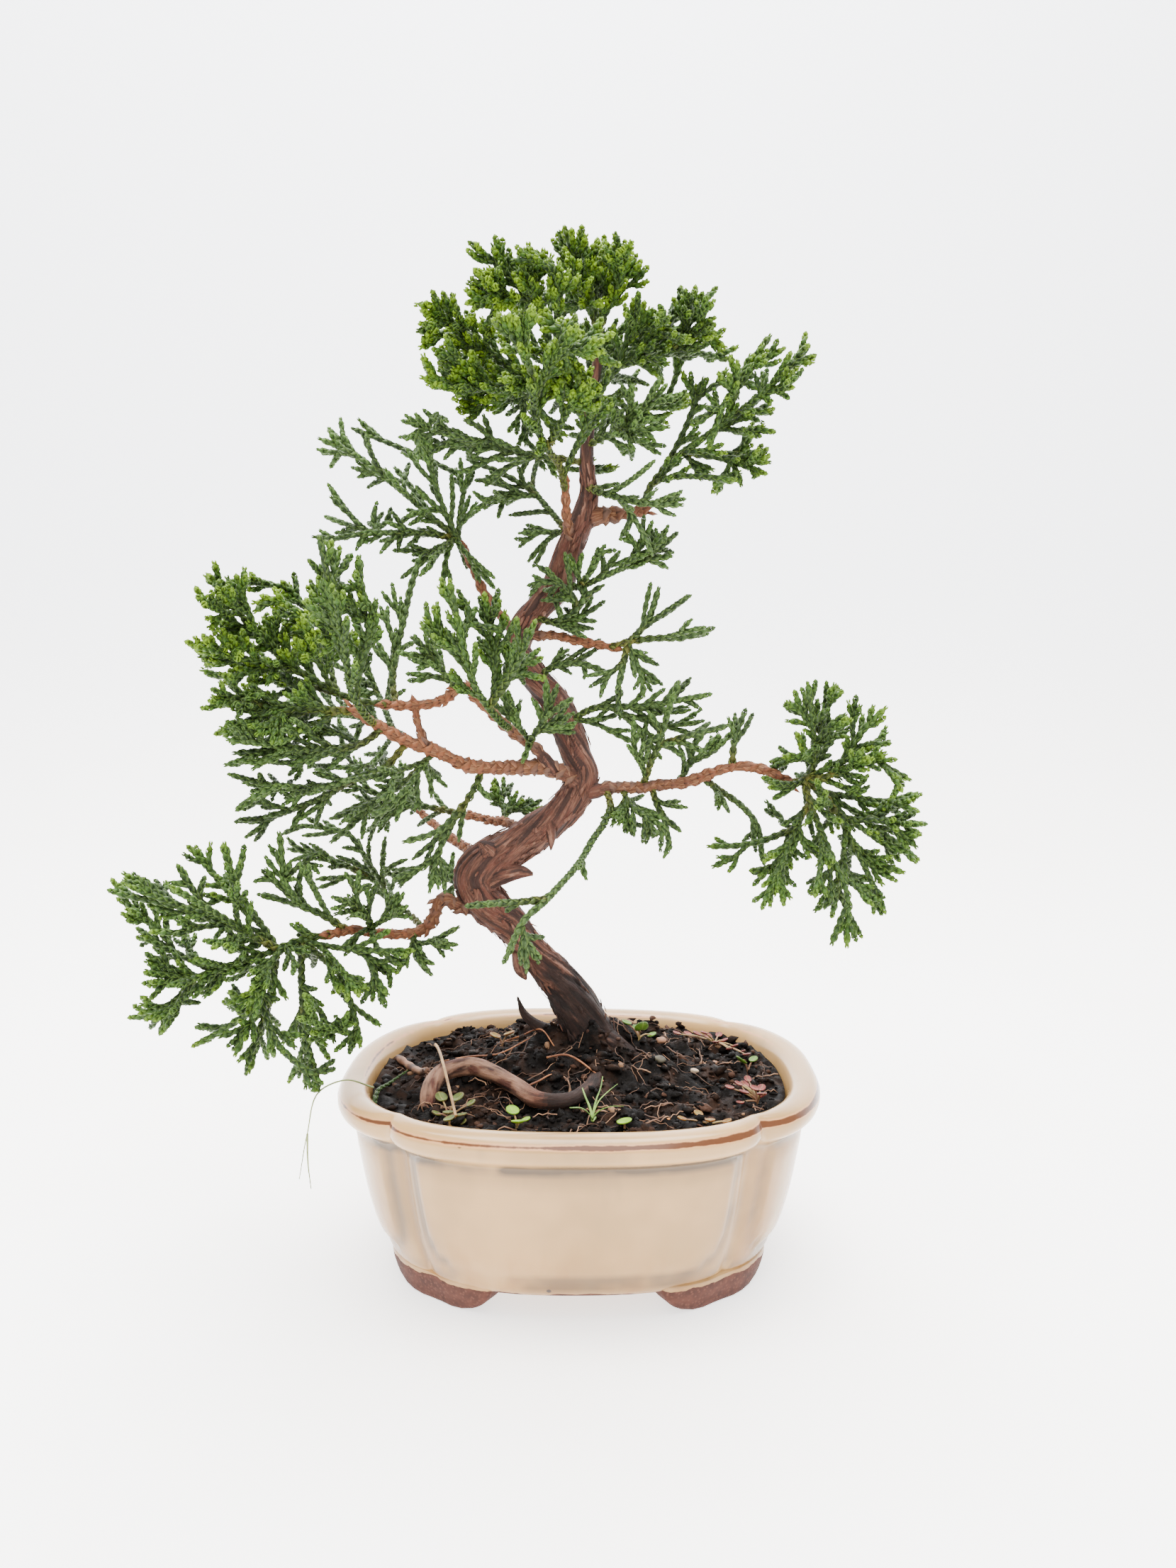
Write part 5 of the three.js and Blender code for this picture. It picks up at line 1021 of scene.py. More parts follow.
def bark_strips(limbs, sizes):
    """Thin loose strips of bark that follow the trunk, lifted at one end."""
    draw = np.random.default_rng(21)
    bm = bmesh.new()
    bmesh.ops.create_uvsphere(bm, u_segments=5, v_segments=4, radius=1)
    template = mesh_from(bm)
    line = limbs["trunk"]
    way, across, side = carried_frames(line[:, :3])
    at = draw.integers(int(STRIPS_FROM / LIMB_STEP), int(len(line) * STRIPS_TO), sizes.flakes)
    ragged = line[at, 2] < RAGGED_BELOW
    angle = draw.uniform(0, 2 * math.pi, len(at))
    out = across[at] * np.cos(angle)[:, None] + side[at] * np.sin(angle)[:, None]
    origins = line[at, :3] + out * (line[at, 3] * 1.03)[:, None]
    length = draw.uniform(*STRIP_LENGTH, len(at))
    width = draw.uniform(*STRIP_WIDTH, len(at))
    thick = draw.uniform(*STRIP_THICK, len(at))
    lean = draw.normal(0.0, 0.13, len(at)) + np.where(ragged, draw.uniform(-0.3, 0.3, len(at)), 0)
    skew = draw.normal(0, 0.16, len(at))
    tilted = unit(way[at] + out * lean[:, None] + np.cross(out, way[at]) * skew[:, None])
    flat = unit(np.cross(tilted, out))
    rows = {
        "along": tilted,
        "out": np.cross(flat, tilted),
        "size": np.column_stack([thick, width, length]),
        # A random darker tone for each strip, read through the same value as the furrows' painted shade
        "furrow_shade_and_tone": draw.uniform(0.0, 0.6, len(at)),
        "stain": smooth_step(106, 80, origins[:, 2]) * draw.uniform(0.4, 1, len(at)),
    }
    strips = stamped(template, origins, rows)
    keep(strips, "straight", (read(strips) - HOME) / MM * 0.6)
    return paint_faces(strips, 0)


# Bark and twigs: the colour at each value of the fibres' noise
BARK_DARK = [(0.25, linear(30, 19, 15)), (0.42, linear(66, 41, 32))]
BARK_LIGHT = (0.72, linear(114, 82, 66))
TWIG_SHADES = [(0.28, linear(58, 35, 22)), (0.5, linear(98, 62, 40)), (0.72, linear(136, 98, 68))]
BARK_RED = linear(78, 42, 32)
BARK_PALE = linear(146, 106, 88)
BARK_THREAD = linear(132, 100, 82)
# Painted shade in the furrows, and a darker tone on some strips
BARK_SHADE_AND_TONE = linear(34, 21, 18)
ROOT_PALE = linear(142, 106, 84)
DIRT = linear(24, 18, 16)


def bark_finish():
    """Stringy reddish bark with painted shade in its furrows, stained dark near the soil."""
    colour = tuple(bpy.context.scene.bonsai_wood.colour)
    make = Finish("bark", roughness=0.85, Specular_IOR_Level=0.25)
    straight = make.kept("straight", "Vector")
    fibres = make.noise(make.stretched(straight, (1.6, 1.6, 0.14)), 1, 5, 0.65)
    threads = make.noise(make.stretched(straight, (5.5, 5.5, 0.5)), 1, 4, 0.6)
    patches = make.noise(make.stretched(straight, (0.3, 0.3, 0.09)), 1, 3)
    bark = make.ramp(fibres, *BARK_DARK, (0.55, colour), BARK_LIGHT)
    bark = make.tint(bark, BARK_RED, patches, 0.5, 0.64, 0.7)
    bark = make.tint(bark, BARK_PALE, patches, 0.42, 0.34, 0.42)
    bark = make.tint(bark, BARK_THREAD, threads, 0.54, 0.72, 0.32)
    # Painted shade in the furrows, and the strips' random darker tone
    bark = make.tint(bark, BARK_SHADE_AND_TONE, make.kept("furrow_shade_and_tone"), 0.36, 0.76, 0.84)
    wood = make.blend(make.kept("twig"), bark, make.ramp(fibres, *TWIG_SHADES))
    pale = make.maths("MULTIPLY", make.kept("pale"), make.band(patches, 0.62, 0.4))
    wood = make.blend(pale, wood, ROOT_PALE)
    stain = make.maths("ADD", make.kept("stain"), make.band(patches, 0.3, 0.7, -0.3, 0.3))
    make.set("Base Color", make.tint(wood, DIRT, stain, 0.35, 0.85, 0.86))
    make.set("Roughness", make.band(threads, 0.3, 0.7, 0.9, 0.68))
    coarse = make.bump(fibres, 0.7, 0.0006)
    make.set("Normal", make.bump(threads, 0.6, 0.00025, coarse))
    return make.material


def twig_scale_finish():
    """Old scales on the twigs, orange-brown with pale edges and painted shade at their bases."""
    make = Finish("old_scales", roughness=0.75, Specular_IOR_Level=0.25)
    pale_edge_and_crevice_shade = make.kept("pale_edge_and_crevice_shade")
    growth = make.kept("growth", "Vector")
    base = make.blend(make.part(growth, "Y"), linear(88, 50, 31), linear(113, 67, 41))
    base = make.blend(make.band(make.part(growth, "X"), 0.04, 0.26, 0.85, 0.0), base, linear(80, 60, 50))
    base = make.tint(base, linear(140, 96, 65), pale_edge_and_crevice_shade, 0.5, 1.1, 0.85)
    # Painted shade where each scale's base tucks under the pair before it
    make.set("Base Color", make.tint(base, linear(36, 21, 14), pale_edge_and_crevice_shade, 0.36, 0.05))
    make.set("Normal", make.bump(make.noise(make.spots(), 1600, 3), 0.4, 0.0002))
    return make.material


class BONSAI_OT_wood(bpy.types.Operator):
    """Grow the trunk, branches and roots as one skin, with ridged bark, loose strips and old scales"""

    bl_idname = "bonsai.wood"
    bl_label = "Wood"

    def execute(self, context):
        sizes = context.scene.bonsai_wood
        limbs = all_limbs()
        draw = np.random.default_rng(31)
        scales = ScaleCoat()
        for name, start in TWIGS.items():
            line = limbs[name] * [1, 1, 1, TWIG_COAT]
            scales.cover(line[int(len(line) * start) :], TWIG_PITCH, draw, 0.0, 1.0, open_end=True)
        meshes = [bark_skin(limbs, sizes), bark_strips(limbs, sizes), paint_faces(scales.mesh(), 1)]
        piece("tree_wood", joined(meshes), [bark_finish(), twig_scale_finish()], ["tree"])
        return {"FINISHED"}


# Scale leaves

SCALE_PITCH = 1.6
CORD_RADIUS = 0.92
TIP_RADIUS = 1.02
STEM_RADIUS = 1.2
FRESH_PITCH = 1.3
FRESH_REACH = 3.2  # how far from its tip a cord is fresh
CORE_SHARE = 0.8
# The last two pairs of a cord close its tip: their width, length and how far they lean in
TIP_WIDTH, TIP_LENGTH, TIP_LEAN = (0.86, 1.04), (0.52, 0.78), (0.42, 0.2)


def scale_shape():
    """One scale leaf: an eight-sided lump drawn out along its cord. X is out from the cord, Y
    across it and Z along it, in radii and pitches."""
    bm = bmesh.new()
    bmesh.ops.create_uvsphere(bm, u_segments=4, v_segments=2, radius=1)
    for vertex in bm.verts:
        x, y, z = vertex.co
        if z > 0.5:
            vertex.co = (0.93, 0, 1.72)
        elif z < -0.5:
            vertex.co = (0.5, 0, -0.3)
        elif x > 0.5:
            vertex.co = (1.13, 0, 0.86)
        elif x < -0.5:
            vertex.co = (0.2, 0, 0.6)
        else:
            vertex.co = (0.5, math.copysign(0.97, y), 0.55)
    mesh = mesh_from(bm)
    # How pale each part is: the edges and the point are paler than the back, and the base and the side
    # against the cord, where the scale tucks under the pair before it, are lowest and take painted shade
    _, across, along = read(mesh).T
    keep(mesh, "pale_edge_and_crevice_shade", np.clip(np.abs(across) * 0.95 + 0.62 * (along - 0.55), 0, 1))
    return mesh


SCALE = scale_shape()


class ScaleCoat:
    """Gathers cords and coats them with pairs of scale leaves, each pair square to the last."""

    def __init__(self, bloom=0.0):
        self.bloom = bloom  # how grey-blue the grown scales are
        self.spots = []
        self.rows = {"along": [], "out": [], "size": [], "growth": []}
        self.cores = []
        self.core_growth = []

    def cover(self, line, pitch, draw, young, younger, open_end=False):
        """Coats a line of x, y, z, radius. young and younger say how fresh its two ends are."""
        line = smooth_line(line, pitch)
        points, radii = line[:, :3], line[:, 3].copy()
        count = len(points)
        ways = ways_along(points)
        start = draw.normal(size=3)
        across = unit(start - ways * (ways @ start)[:, None])
        side = np.cross(ways, across)
        turn = np.arange(count) % 2
        out = np.where(turn[:, None] == 1, across, side)
        left = np.arange(count)[::-1]
        lean, long = np.zeros(count), np.ones(count)
        if not open_end:
            last = [left == 0, left == 1]
            radii *= np.select(last, TIP_WIDTH, 1.0)
            long = np.select(last, TIP_LENGTH, 1.0)
            lean = np.select(last, TIP_LEAN, 0.0)
        reach = radii * draw.uniform(0.94, 1.06, count)
        chance = draw.uniform(0, 1)
        grown = np.linspace(young, min(younger, max(young, 0.52)), count)
        youth = grown + (younger - grown) * np.exp(-((left * pitch / FRESH_REACH) ** 1.5))
        bloom = np.full(count, self.bloom)
        for facing in (1, -1):
            self.spots.append(points)
            self.rows["along"].append(unit(ways - out * facing * lean[:, None]))
            self.rows["out"].append(out * facing)
            self.rows["size"].append(np.column_stack([reach, reach, pitch * long]))
            luck = chance + draw.normal(0, 0.12, count)
            self.rows["growth"].append(np.column_stack([youth, luck, bloom]))
        kept = np.unique(np.append(np.arange(0, count, 2), count - 1))
        core = np.column_stack([points, radii * CORE_SHARE])[kept]
        core[-1, 3] *= 0.6
        self.cores.append(core)
        self.core_growth.append(np.column_stack([youth, np.full(count, chance), bloom])[kept])

    def mesh(self):
        rows = {name: np.concatenate(kept) for name, kept in self.rows.items()}
        leaves = stamped(SCALE, np.concatenate(self.spots), rows)
        cores = tubes(self.cores, 0)
        keep(cores, "growth", tube_values(cores, np.concatenate(self.core_growth)))
        return joined([leaves, cores])


# Sprays. A spray's stems and tips are across, up and perhaps depth. depth gives its depth at its
# start and at its far tips, spread how far its tips stray from that, leafy how bushy it is and
# fresh how bright its ends are.
Spray = namedtuple("Spray", "depth spread leafy fresh stems tips")

SPRAYS = {
    "crown_top": Spray((2, 4), 15, 1, 1, [
        [(5.6, 277, 2), (5, 290, 1), (2, 302, 3), (0.3, 313.7, 3)],
        [(5.2, 284, 2), (10, 296, -2), (17, 307, -4)],
    ], [
        (-3.8, 315.4), (-5.2, 311), (-2, 311), (4.9, 311.5), (7.8, 309.8), (11.3, 309.8), (13.6, 308),
        (4.3, 304), (11.8, 305.3), (0.9, 296), (6.6, 294), (0.3, 303), (9, 296.8), (-7, 300), (2, 308),
    ]),
    "crown_peak": Spray((0, -22), 10, 1, 1, [
        [(4.2, 270, 2), (-4, 282, -8), (-16, 297, -17), (-31.5, 312, -25)],
    ], [
        (-29.2, 303.6), (-22.3, 308.6), (-17.6, 308.4), (-14.2, 307.8), (-10.7, 309), (-8.4, 306),
        (-6, 302), (-27.7, 295.4), (-32.7, 294.8), (-24, 301), (-13, 302), (-20, 296),
    ]),
    "crown_left": Spray((2, -4), 16, 1, 1, [
        [(3.4, 264, 2), (-10, 270, 0), (-24, 279, -2), (-38, 287, -4)],
    ], [
        (-45, 294.5), (-42, 292), (-39.3, 293.4), (-44.8, 286), (-46, 284), (-46.5, 278), (-46.5, 273),
        (-41.3, 275), (-37.6, 270), (-37, 267.4), (-35.8, 264.3), (-32.7, 290), (-27, 284), (-33, 277),
        (-22, 290),
    ]),
    "crown_front": Spray((-8, -56), 5, 0.95, 0.95, [
        [(-4.2, 240, -7), (-5.5, 246.5, -14), (-9.5, 252.5, -26), (-13, 261, -40), (-14, 274, -50)],
        [(-9.5, 252.5, -26), (-3, 263, -42), (1, 270, -50)],
    ], [
        (-14.2, 292.8), (-15.3, 284), (-10, 287), (-23.4, 290.6), (-15.9, 274.7), (-22.8, 272.5),
        (-18.2, 270.5), (-8.4, 272), (0.9, 273.6), (4.9, 271.3), (6.6, 268), (2, 281.5), (-0.9, 277.6),
        (9.5, 285.5), (7.2, 280.4), (-1.4, 290), (-4.9, 289.4), (-12.4, 290), (-4.9, 276), (-18, 281),
        (-9, 281),
    ]),
    "crown_low_left": Spray((2, -2), 10, 0.72, 0.35, [
        [(2.4, 248, 2), (-10, 250, -1), (-25, 252.5, -3), (-38, 257, -4)],
    ], [
        (-46, 248.8), (-45.4, 253.3), (-48.8, 252), (-48.8, 262), (-43, 262.3), (-52.4, 260.3),
        (-26.9, 243.7), (-51.4, 255.4), (-40, 250), (-30, 259),
    ]),
    "crown_right": Spray((2, 6), 16, 0.9, 0.85, [
        [(3.8, 267, 2), (13, 277, 4), (24, 287, 6), (34.5, 296, 6)],
        [(13, 277, 4), (26, 280, 2), (36.4, 285.7, 0)],
    ], [
        (34.7, 298.4), (30.6, 298.4), (39, 294.4), (40, 290), (35.4, 291.6), (42, 284.8), (43.3, 282),
        (44.5, 278.5), (28.7, 295), (21.5, 280), (19.4, 288), (16.7, 295), (10, 286), (34.5, 295.6),
        (30.9, 291.4), (36.4, 288), (8, 280), (24, 291), (28, 284), (23, 274),
    ]),
    "crown_right_far": Spray((6, -12), 9, 0.6, 0.75, [
        [(20, 233.6, 4), (20.6, 238.4, 5), (25, 245, 4), (31.6, 251.4, 2), (41.6, 258.5, -2),
         (51.2, 265.5, -6), (60.8, 274, -10), (67.9, 282, -13)],
        [(31.6, 251.4, 2), (42, 250, 4), (51.7, 251.5, 6)],
    ], [
        (47.6, 277), (51.2, 278.7), (55, 279), (60.8, 281), (66.3, 276.8), (63.6, 270), (57.4, 268),
        (57.2, 262.7), (45.5, 273), (42.6, 272), (37.3, 272), (44.7, 267), (56.5, 251.7), (56.9, 248.2),
        (56, 245), (49, 242), (31.3, 244), (41.1, 240), (67.7, 285), (63.6, 274), (56.9, 264.8),
        (52.2, 261), (56.5, 249.5), (51.7, 255), (70, 279),
    ]),
    "crown_low_right": Spray((0, -18), 6, 0.3, 0.15, [
        [(2.6, 241, 1), (9, 238.4, -8), (19, 236.4, -14), (30.4, 235.5, -18)],
    ], [
        (22.2, 248), (11.2, 241.7), (15, 228), (22, 221.5), (30.4, 239),
    ]),
    "crown_middle": Spray((1, -16), 12, 0.76, 0.45, [
        [(2.4, 253, 2), (10, 257, -6), (18, 263, -14)],
    ], [
        (17.7, 254.7), (26.3, 258.5), (13.4, 251), (10.8, 267), (30, 268), (24, 272), (20.6, 263.7),
        (16, 270),
    ]),
    "crown_back": Spray((2, 40), 6, 0.95, 0.8, [
        [(2.8, 259, 2), (-2, 268, 18), (-12, 281, 34)],
        [(-2, 268, 18), (10, 276, 30), (20, 286, 36)],
        [(2.8, 259, 2), (3, 258, 20), (2, 256, 38)],
    ], [
        (-30, 285, 30), (-20, 296, 32), (-8, 300, 34), (6, 299, 36), (18, 294, 34), (32, 282, 26),
        (-36, 274, 26), (-24, 264, 36), (-10, 274, 46), (4, 284, 46), (18, 272, 44), (33, 268, 32),
        (-16, 254, 36), (16, 256, 40), (26, 260, 32), (-6, 246, 36), (10, 246, 32),
    ]),
    "fan_left": Spray((10, 6), 8, 0.45, 0.35, [
        [(-34.4, 220.6, 10), (-37, 225, 10), (-45, 232, 8), (-52, 238.5, 5), (-60, 245, 2), (-69, 251, 0)],
        [(-37, 225, 10), (-45, 227, 7), (-56, 227.4, 4), (-66, 227, 2)],
    ], [
        (-77.7, 255), (-74, 254), (-71, 256), (-67.6, 258), (-64.8, 257), (-75.6, 241), (-74.8, 247.6),
        (-44.7, 241), (-76.7, 232), (-78.2, 227.5), (-78.7, 224.5), (-61.4, 231.6), (-55, 223),
        (-53.5, 214.3), (-45.7, 216.8, -8), (-47.8, 239), (-39.5, 246), (-33, 246), (-46.8, 253),
        (-41.5, 212), (-30.7, 234), (-77, 251), (-62, 248), (-57.6, 231), (-51.4, 234), (-37, 245.8),
        (-29.7, 209.7), (-26.6, 214.3), (-60, 222), (-50, 219),
    ]),
    "fan_middle": Spray((4, 14), 8, 0.4, 0.2, [
        [(-2.6, 226, 4), (-8, 233, 10), (-14.3, 240.7, 14)],
    ], [
        (-31.3, 239), (-27.2, 243.8), (-33, 248.8), (-21.5, 236), (-14.8, 219.4), (-24.3, 232.6),
        (-12, 250, 20), (-31.3, 234.6), (-18, 246), (-26, 238),
    ]),
    "mid_high": Spray((2, -6), 5, 0.5, 0.4, [
        [(-6.6, 210.6, 3), (0.4, 211.2, -2), (8, 214.2, -5), (16.8, 217.8, -6), (20, 219, -6)],
        [(0.4, 211.2, -2), (3, 214.6, -7), (5.6, 218.6, -8)],
    ], [
        (22, 229.7), (24, 225.8), (29.3, 226.6), (28.2, 221.5), (26.4, 217), (-2.5, 218.5, -9),
        (0.9, 220, -8), (23.5, 227.6), (27.4, 220), (5.8, 222), (12, 221),
    ]),
    "mid_upright": Spray((3, -6), 5, 0.5, 0.3, [
        [(-13.6, 202, 4), (-8, 200.4, -1), (-3, 202.4, -4), (3.2, 209, -6)],
    ], [
        (-4, 207.6), (6.8, 211), (7, 206), (4.3, 200.6), (-12.1, 217, -8), (-14.5, 211.6, -6),
        (-1.5, 206.4), (1.7, 212), (-5.9, 204), (0.6, 198), (1.4, 196), (-9, 208),
    ]),
    "mid_light": Spray((-6, -10), 4, 0.12, 0.2, [
        [(9.6, 192.8, -6), (15.7, 194.6, -8), (20, 199, -9), (24, 210.6, -10)],
        [(15.7, 194.6, -8), (22, 195, -9), (31, 195.6, -10), (40.7, 198, -11)],
        [(15.7, 194.6, -8), (13.4, 186, -10), (12, 180, -11)],
    ], [
        (33.4, 207.8), (23.5, 187.6), (4.3, 181), (11.9, 173), (20, 178.3), (12.6, 184), (22, 180),
        (20, 191),
    ]),
    "mid_low": Spray((3, -6), 3, 0.2, 0.1, [
        [(-13, 183.4, 4), (-7, 187, -1), (0, 187.6, -4), (6.9, 186.4, -6)],
    ], [
        (2.4, 190.2, -2), (-5.6, 191.5), (1.7, 184), (-4, 190), (5.3, 192),
    ]),
    "mid_long": Spray((1, -6), 5, 0.3, 0.25, [
        [(-4, 169, 2), (3.8, 173.4, -3), (14, 174.6, -6), (27.7, 175.4, -8), (40.2, 178.6, -9)],
    ], [
        (30.3, 181.4), (36.6, 172.6), (35, 166), (17.3, 169), (25, 159), (8, 168), (34, 182.6),
        (32.4, 181.4), (37, 174), (12.6, 178), (20, 179), (22, 170),
    ]),
    "mid_front": Spray((-12, -26), 4, 0.4, 0.35, [
        [(-15.6, 162.6, -10), (-14.4, 165, -18), (-10.6, 171, -22), (-7, 180, -24)],
    ], [
        (-19.6, 173), (-2.6, 176.5), (-23, 178.8), (-3, 168), (-17.2, 158), (-27, 175.8), (-4, 174),
        (-14, 176),
    ]),
    "right_up_inner": Spray((-4, -12), 6, 0.3, 0.3, [
        [(20, 149.8, -4), (22, 156, -7), (24.8, 162, -10), (26.6, 168.8, -12), (30.6, 181, -15)],
        [(24.8, 162, -10), (34, 165, -12), (45.5, 168.6, -14)],
    ], [
        (15.6, 161.8), (17, 170), (38.5, 160.4), (19, 166), (28.8, 176), (31.4, 160), (40, 169), (22, 172),
    ]),
    "right_up_outer": Spray((-4, 4), 5, 0.35, 0.3, [
        [(31, 150.4, -4), (34.6, 156.5, 0), (39.8, 159.2, 2), (47.2, 165.7, 5)],
    ], [
        (31.4, 161.3), (36.6, 165.4), (43, 166), (41, 164.4), (45, 162),
    ]),
    "right_up_far": Spray((-5, -2), 2, 0.2, 0.3, [
        [(47.6, 155.6, -5), (48.2, 163, -4), (50.8, 172.5, -2)],
    ], [
        (46.6, 170), (51, 166),
    ]),
    "right_knot": Spray((-3, -12), 6, 0.5, 0.4, [
        [(14, 149.2, -3), (15, 144.6, -7), (18.3, 142, -10), (26, 137.4, -12)],
    ], [
        (12.6, 138), (17, 137.6), (19.4, 146.4), (22.7, 134.6), (10.6, 142.6), (15, 136), (16.5, 139.6),
        (26, 133.7), (8, 140),
    ]),
    "right_whip": Spray((-4, -48), 4, 0.1, 0.25, [
        [(8.4, 148.7, -2), (9.8, 143.6, -9), (8.2, 138.6, -16), (4.6, 133.2, -23), (1, 127, -30),
         (-6.2, 118, -38), (-11, 112.6, -43), (-16, 107.8, -46), (-23.9, 94.2, -49)],
        [(-10, 113.6, -42), (-20, 112.6, -45), (-35, 112.2, -48)],
    ], [
        (-12.1, 101.5, -44), (-16.7, 91.2, -50), (-13, 95.6, -47), (-30, 109.5, -47), (-26, 115, -47),
        (2, 121, -34),
    ]),
    "right_down": Spray((-4, -8), 4, 0.2, 0.2, [
        [(22.6, 149.8, -4), (24.2, 144.5, -5), (26.6, 140, -6), (28.4, 131, -7)],
    ], [
        (32.8, 143), (23.6, 134), (27, 128), (31, 136),
    ]),
    "right_down_far": Spray((-4, 4), 4, 0.25, 0.2, [
        [(38, 152.4, -4), (44.6, 148, 0), (49.4, 144.6, 1), (54, 139.4, 2), (58, 126, 3)],
    ], [
        (46.4, 142.3), (42.9, 144.4), (52, 133), (57, 133), (60, 128),
    ]),
    "right_end": Spray((-8, -14), 11, 0.6, 0.7, [
        [(65.6, 150.8, -8), (69.6, 151.4, -8), (73.9, 161, -9), (76.5, 176, -10)],
        [(69.6, 151.4, -8), (78, 153, -11), (84, 161, -13), (89, 168.8, -14), (94.7, 174, -15)],
        [(78, 153, -11), (89.7, 157, -14), (97.5, 158, -16)],
        [(69.6, 151.4, -8), (76, 148, -6), (86.7, 146, -4), (95, 145, -3), (104.5, 147.4, -2)],
        [(76, 148, -6), (81, 141, -10), (93.3, 138.6, -14), (107.4, 138.3, -18)],
        [(81, 141, -10), (86, 132, -14), (97, 123.6, -18)],
        [(69.6, 151.4, -8), (72.4, 144, -12), (76.4, 134, -18), (80.3, 125, -22), (84, 117, -24),
         (84.8, 100, -26)],
        [(72.4, 144, -12), (67, 136, -8), (62.6, 126.5, -5), (55.3, 118.7, -3)],
        [(67, 136, -8), (57.8, 132.6, -3), (49, 130.6, 0), (41.1, 130.4, 2)],
    ], [
        (70.7, 181), (69.2, 179), (64.7, 175.5), (79.3, 180), (81.8, 171.5), (69.3, 169.4), (68, 165.3),
        (64.2, 159), (60.3, 157.4), (94.7, 167.3), (95.4, 163.4), (82.4, 169.4), (102.2, 152), (96.5, 142),
        (92.6, 135), (106, 134.3), (102.7, 130.7), (105.6, 127), (101.2, 122.6), (89.4, 121), (88.7, 102.6),
        (96, 110.5), (94.4, 114.8), (90, 117.4), (79.8, 109), (76, 113), (72.4, 119.3), (60.2, 112.6),
        (64.7, 114.8), (54.6, 123), (66.4, 124.5), (72, 128), (76.4, 181), (80.8, 178.5), (76.7, 175.5),
        (70.5, 166.7), (60, 150.7), (86.6, 147.4), (105, 142), (105, 131), (95.5, 131.3), (79.7, 117.8),
        (58, 111.7), (64, 121), (70.9, 138), (80.8, 137), (75.5, 146), (97, 127), (90, 163), (88, 170),
        (100, 149), (99, 136),
    ]),
    "pad_top": Spray((-15, -20), 17, 0.9, 0.9, [
        [(-59, 175, -15), (-66.5, 175.8, -16), (-75, 178.6, -17), (-85.5, 185, -18), (-98, 196, -19),
         (-109, 208.8, -20)],
        [(-75, 178.6, -17), (-92, 184, -12), (-104, 189, -10), (-115, 188.6, -8)],
    ], [
        (-113, 214), (-105, 213.5), (-107, 202.8), (-100.8, 212.7), (-90.5, 212), (-82, 212), (-112, 198),
        (-117, 191.3), (-115, 184.6), (-109.7, 181.6), (-104, 196), (-96, 194), (-97.3, 182.5),
        (-93, 204.7), (-83.7, 202.7), (-76, 204), (-70, 197), (-88, 197), (-115, 187.8), (-113, 184),
        (-105.5, 178.8), (-102, 173), (-96.5, 208), (-99, 204), (-90, 191), (-82, 197), (-108, 193),
    ]),
    "pad_outer": Spray((-22, -28), 15, 0.85, 0.75, [
        [(-70, 172.8, -22), (-80, 173.4, -24), (-92, 173.6, -26), (-106, 175.8, -28)],
    ], [
        (-113, 179.4), (-112, 174.5), (-102, 180), (-106.6, 169.5), (-112.3, 166), (-107, 163.7),
        (-101, 171), (-92, 184), (-90, 166), (-98, 162), (-84, 182), (-84, 164), (-112, 176.5), (-96, 178),
        (-100, 166), (-94, 170),
    ]),
    "pad_front": Spray((-24, -56), 4, 0.85, 0.7, [
        [(-63.4, 168.8, -20), (-66.4, 172, -33), (-70, 179, -44), (-72, 190, -52), (-74.4, 200.5, -55),
         (-77, 215, -56)],
    ], [
        (-79, 225), (-76.5, 223.6), (-73.3, 222), (-82, 218.4), (-67.5, 219), (-69.5, 212), (-66.6, 209.3),
        (-62, 201.8), (-80, 202.5), (-80, 195), (-66, 196), (-77.7, 220), (-78.3, 214), (-76, 204),
        (-83.7, 206), (-72, 196), (-78, 208),
    ]),
    "pad_whip": Spray((-14, -8), 4, 0.1, 0.25, [
        [(-56.6, 174.8, -14), (-57.6, 182, -11), (-56.6, 189.5, -9), (-53.6, 202, -7), (-49.3, 220, -5)],
    ], [
        (-60.6, 204), (-62, 194), (-51, 194), (-51.5, 209), (-58.8, 204),
    ]),
    "pad_middle": Spray((-12, -46), 5, 0.75, 0.7, [
        [(-21.6, 167.6, -11), (-24.4, 169.6, -24), (-28, 174.4, -34), (-32, 180.4, -40), (-35.4, 191, -44),
         (-38, 204, -46)],
        [(-28, 174.4, -34), (-21, 184, -40), (-14.2, 200, -44)],
    ], [
        (-39.4, 212), (-36.6, 209), (-34, 205.4), (-43.5, 205.3), (-46.8, 201), (-28.8, 208),
        (-22.9, 202.8), (-12.8, 191.5), (-44, 193), (-27, 196), (-12, 183), (-38, 207), (-34, 201),
        (-46.8, 205), (-47.9, 199.5), (-32, 199), (-20, 194),
    ]),
    "pad_small": Spray((-13, -22), 5, 0.35, 0.4, [
        [(-37.6, 179.6, -13), (-41, 184, -18), (-45.6, 189.6, -22)],
    ], [
        (-54, 190.5), (-50, 195.4), (-45.6, 196.8), (-52, 184.4), (-49.2, 192), (-43, 191.8),
    ]),
    "pad_low_outer": Spray((-20, -30), 12, 0.5, 0.4, [
        [(-61, 167.5, -20), (-68, 162.6, -23), (-80, 161.2, -26), (-94, 160.6, -28), (-107, 160.4, -30)],
    ], [
        (-108.6, 164), (-101, 155.4), (-106.4, 156.3), (-92, 166), (-90, 153.5), (-78, 155), (-76, 168),
        (-101, 160), (-96, 157), (-86, 168), (-104, 167), (-84, 157),
    ]),
    "pad_low_middle": Spray((-18, -20), 12, 0.5, 0.3, [
        [(-53, 163.8, -18), (-60, 156, -19), (-70, 152, -20), (-84, 148.6, -20), (-104, 150.5, -20)],
        [(-70, 152, -20), (-84, 144, -16), (-96, 140, -14), (-107, 138, -13)],
    ], [
        (-108.6, 153), (-106.4, 143), (-101.6, 135), (-95.8, 146), (-90, 136), (-82.6, 137.3), (-90, 151),
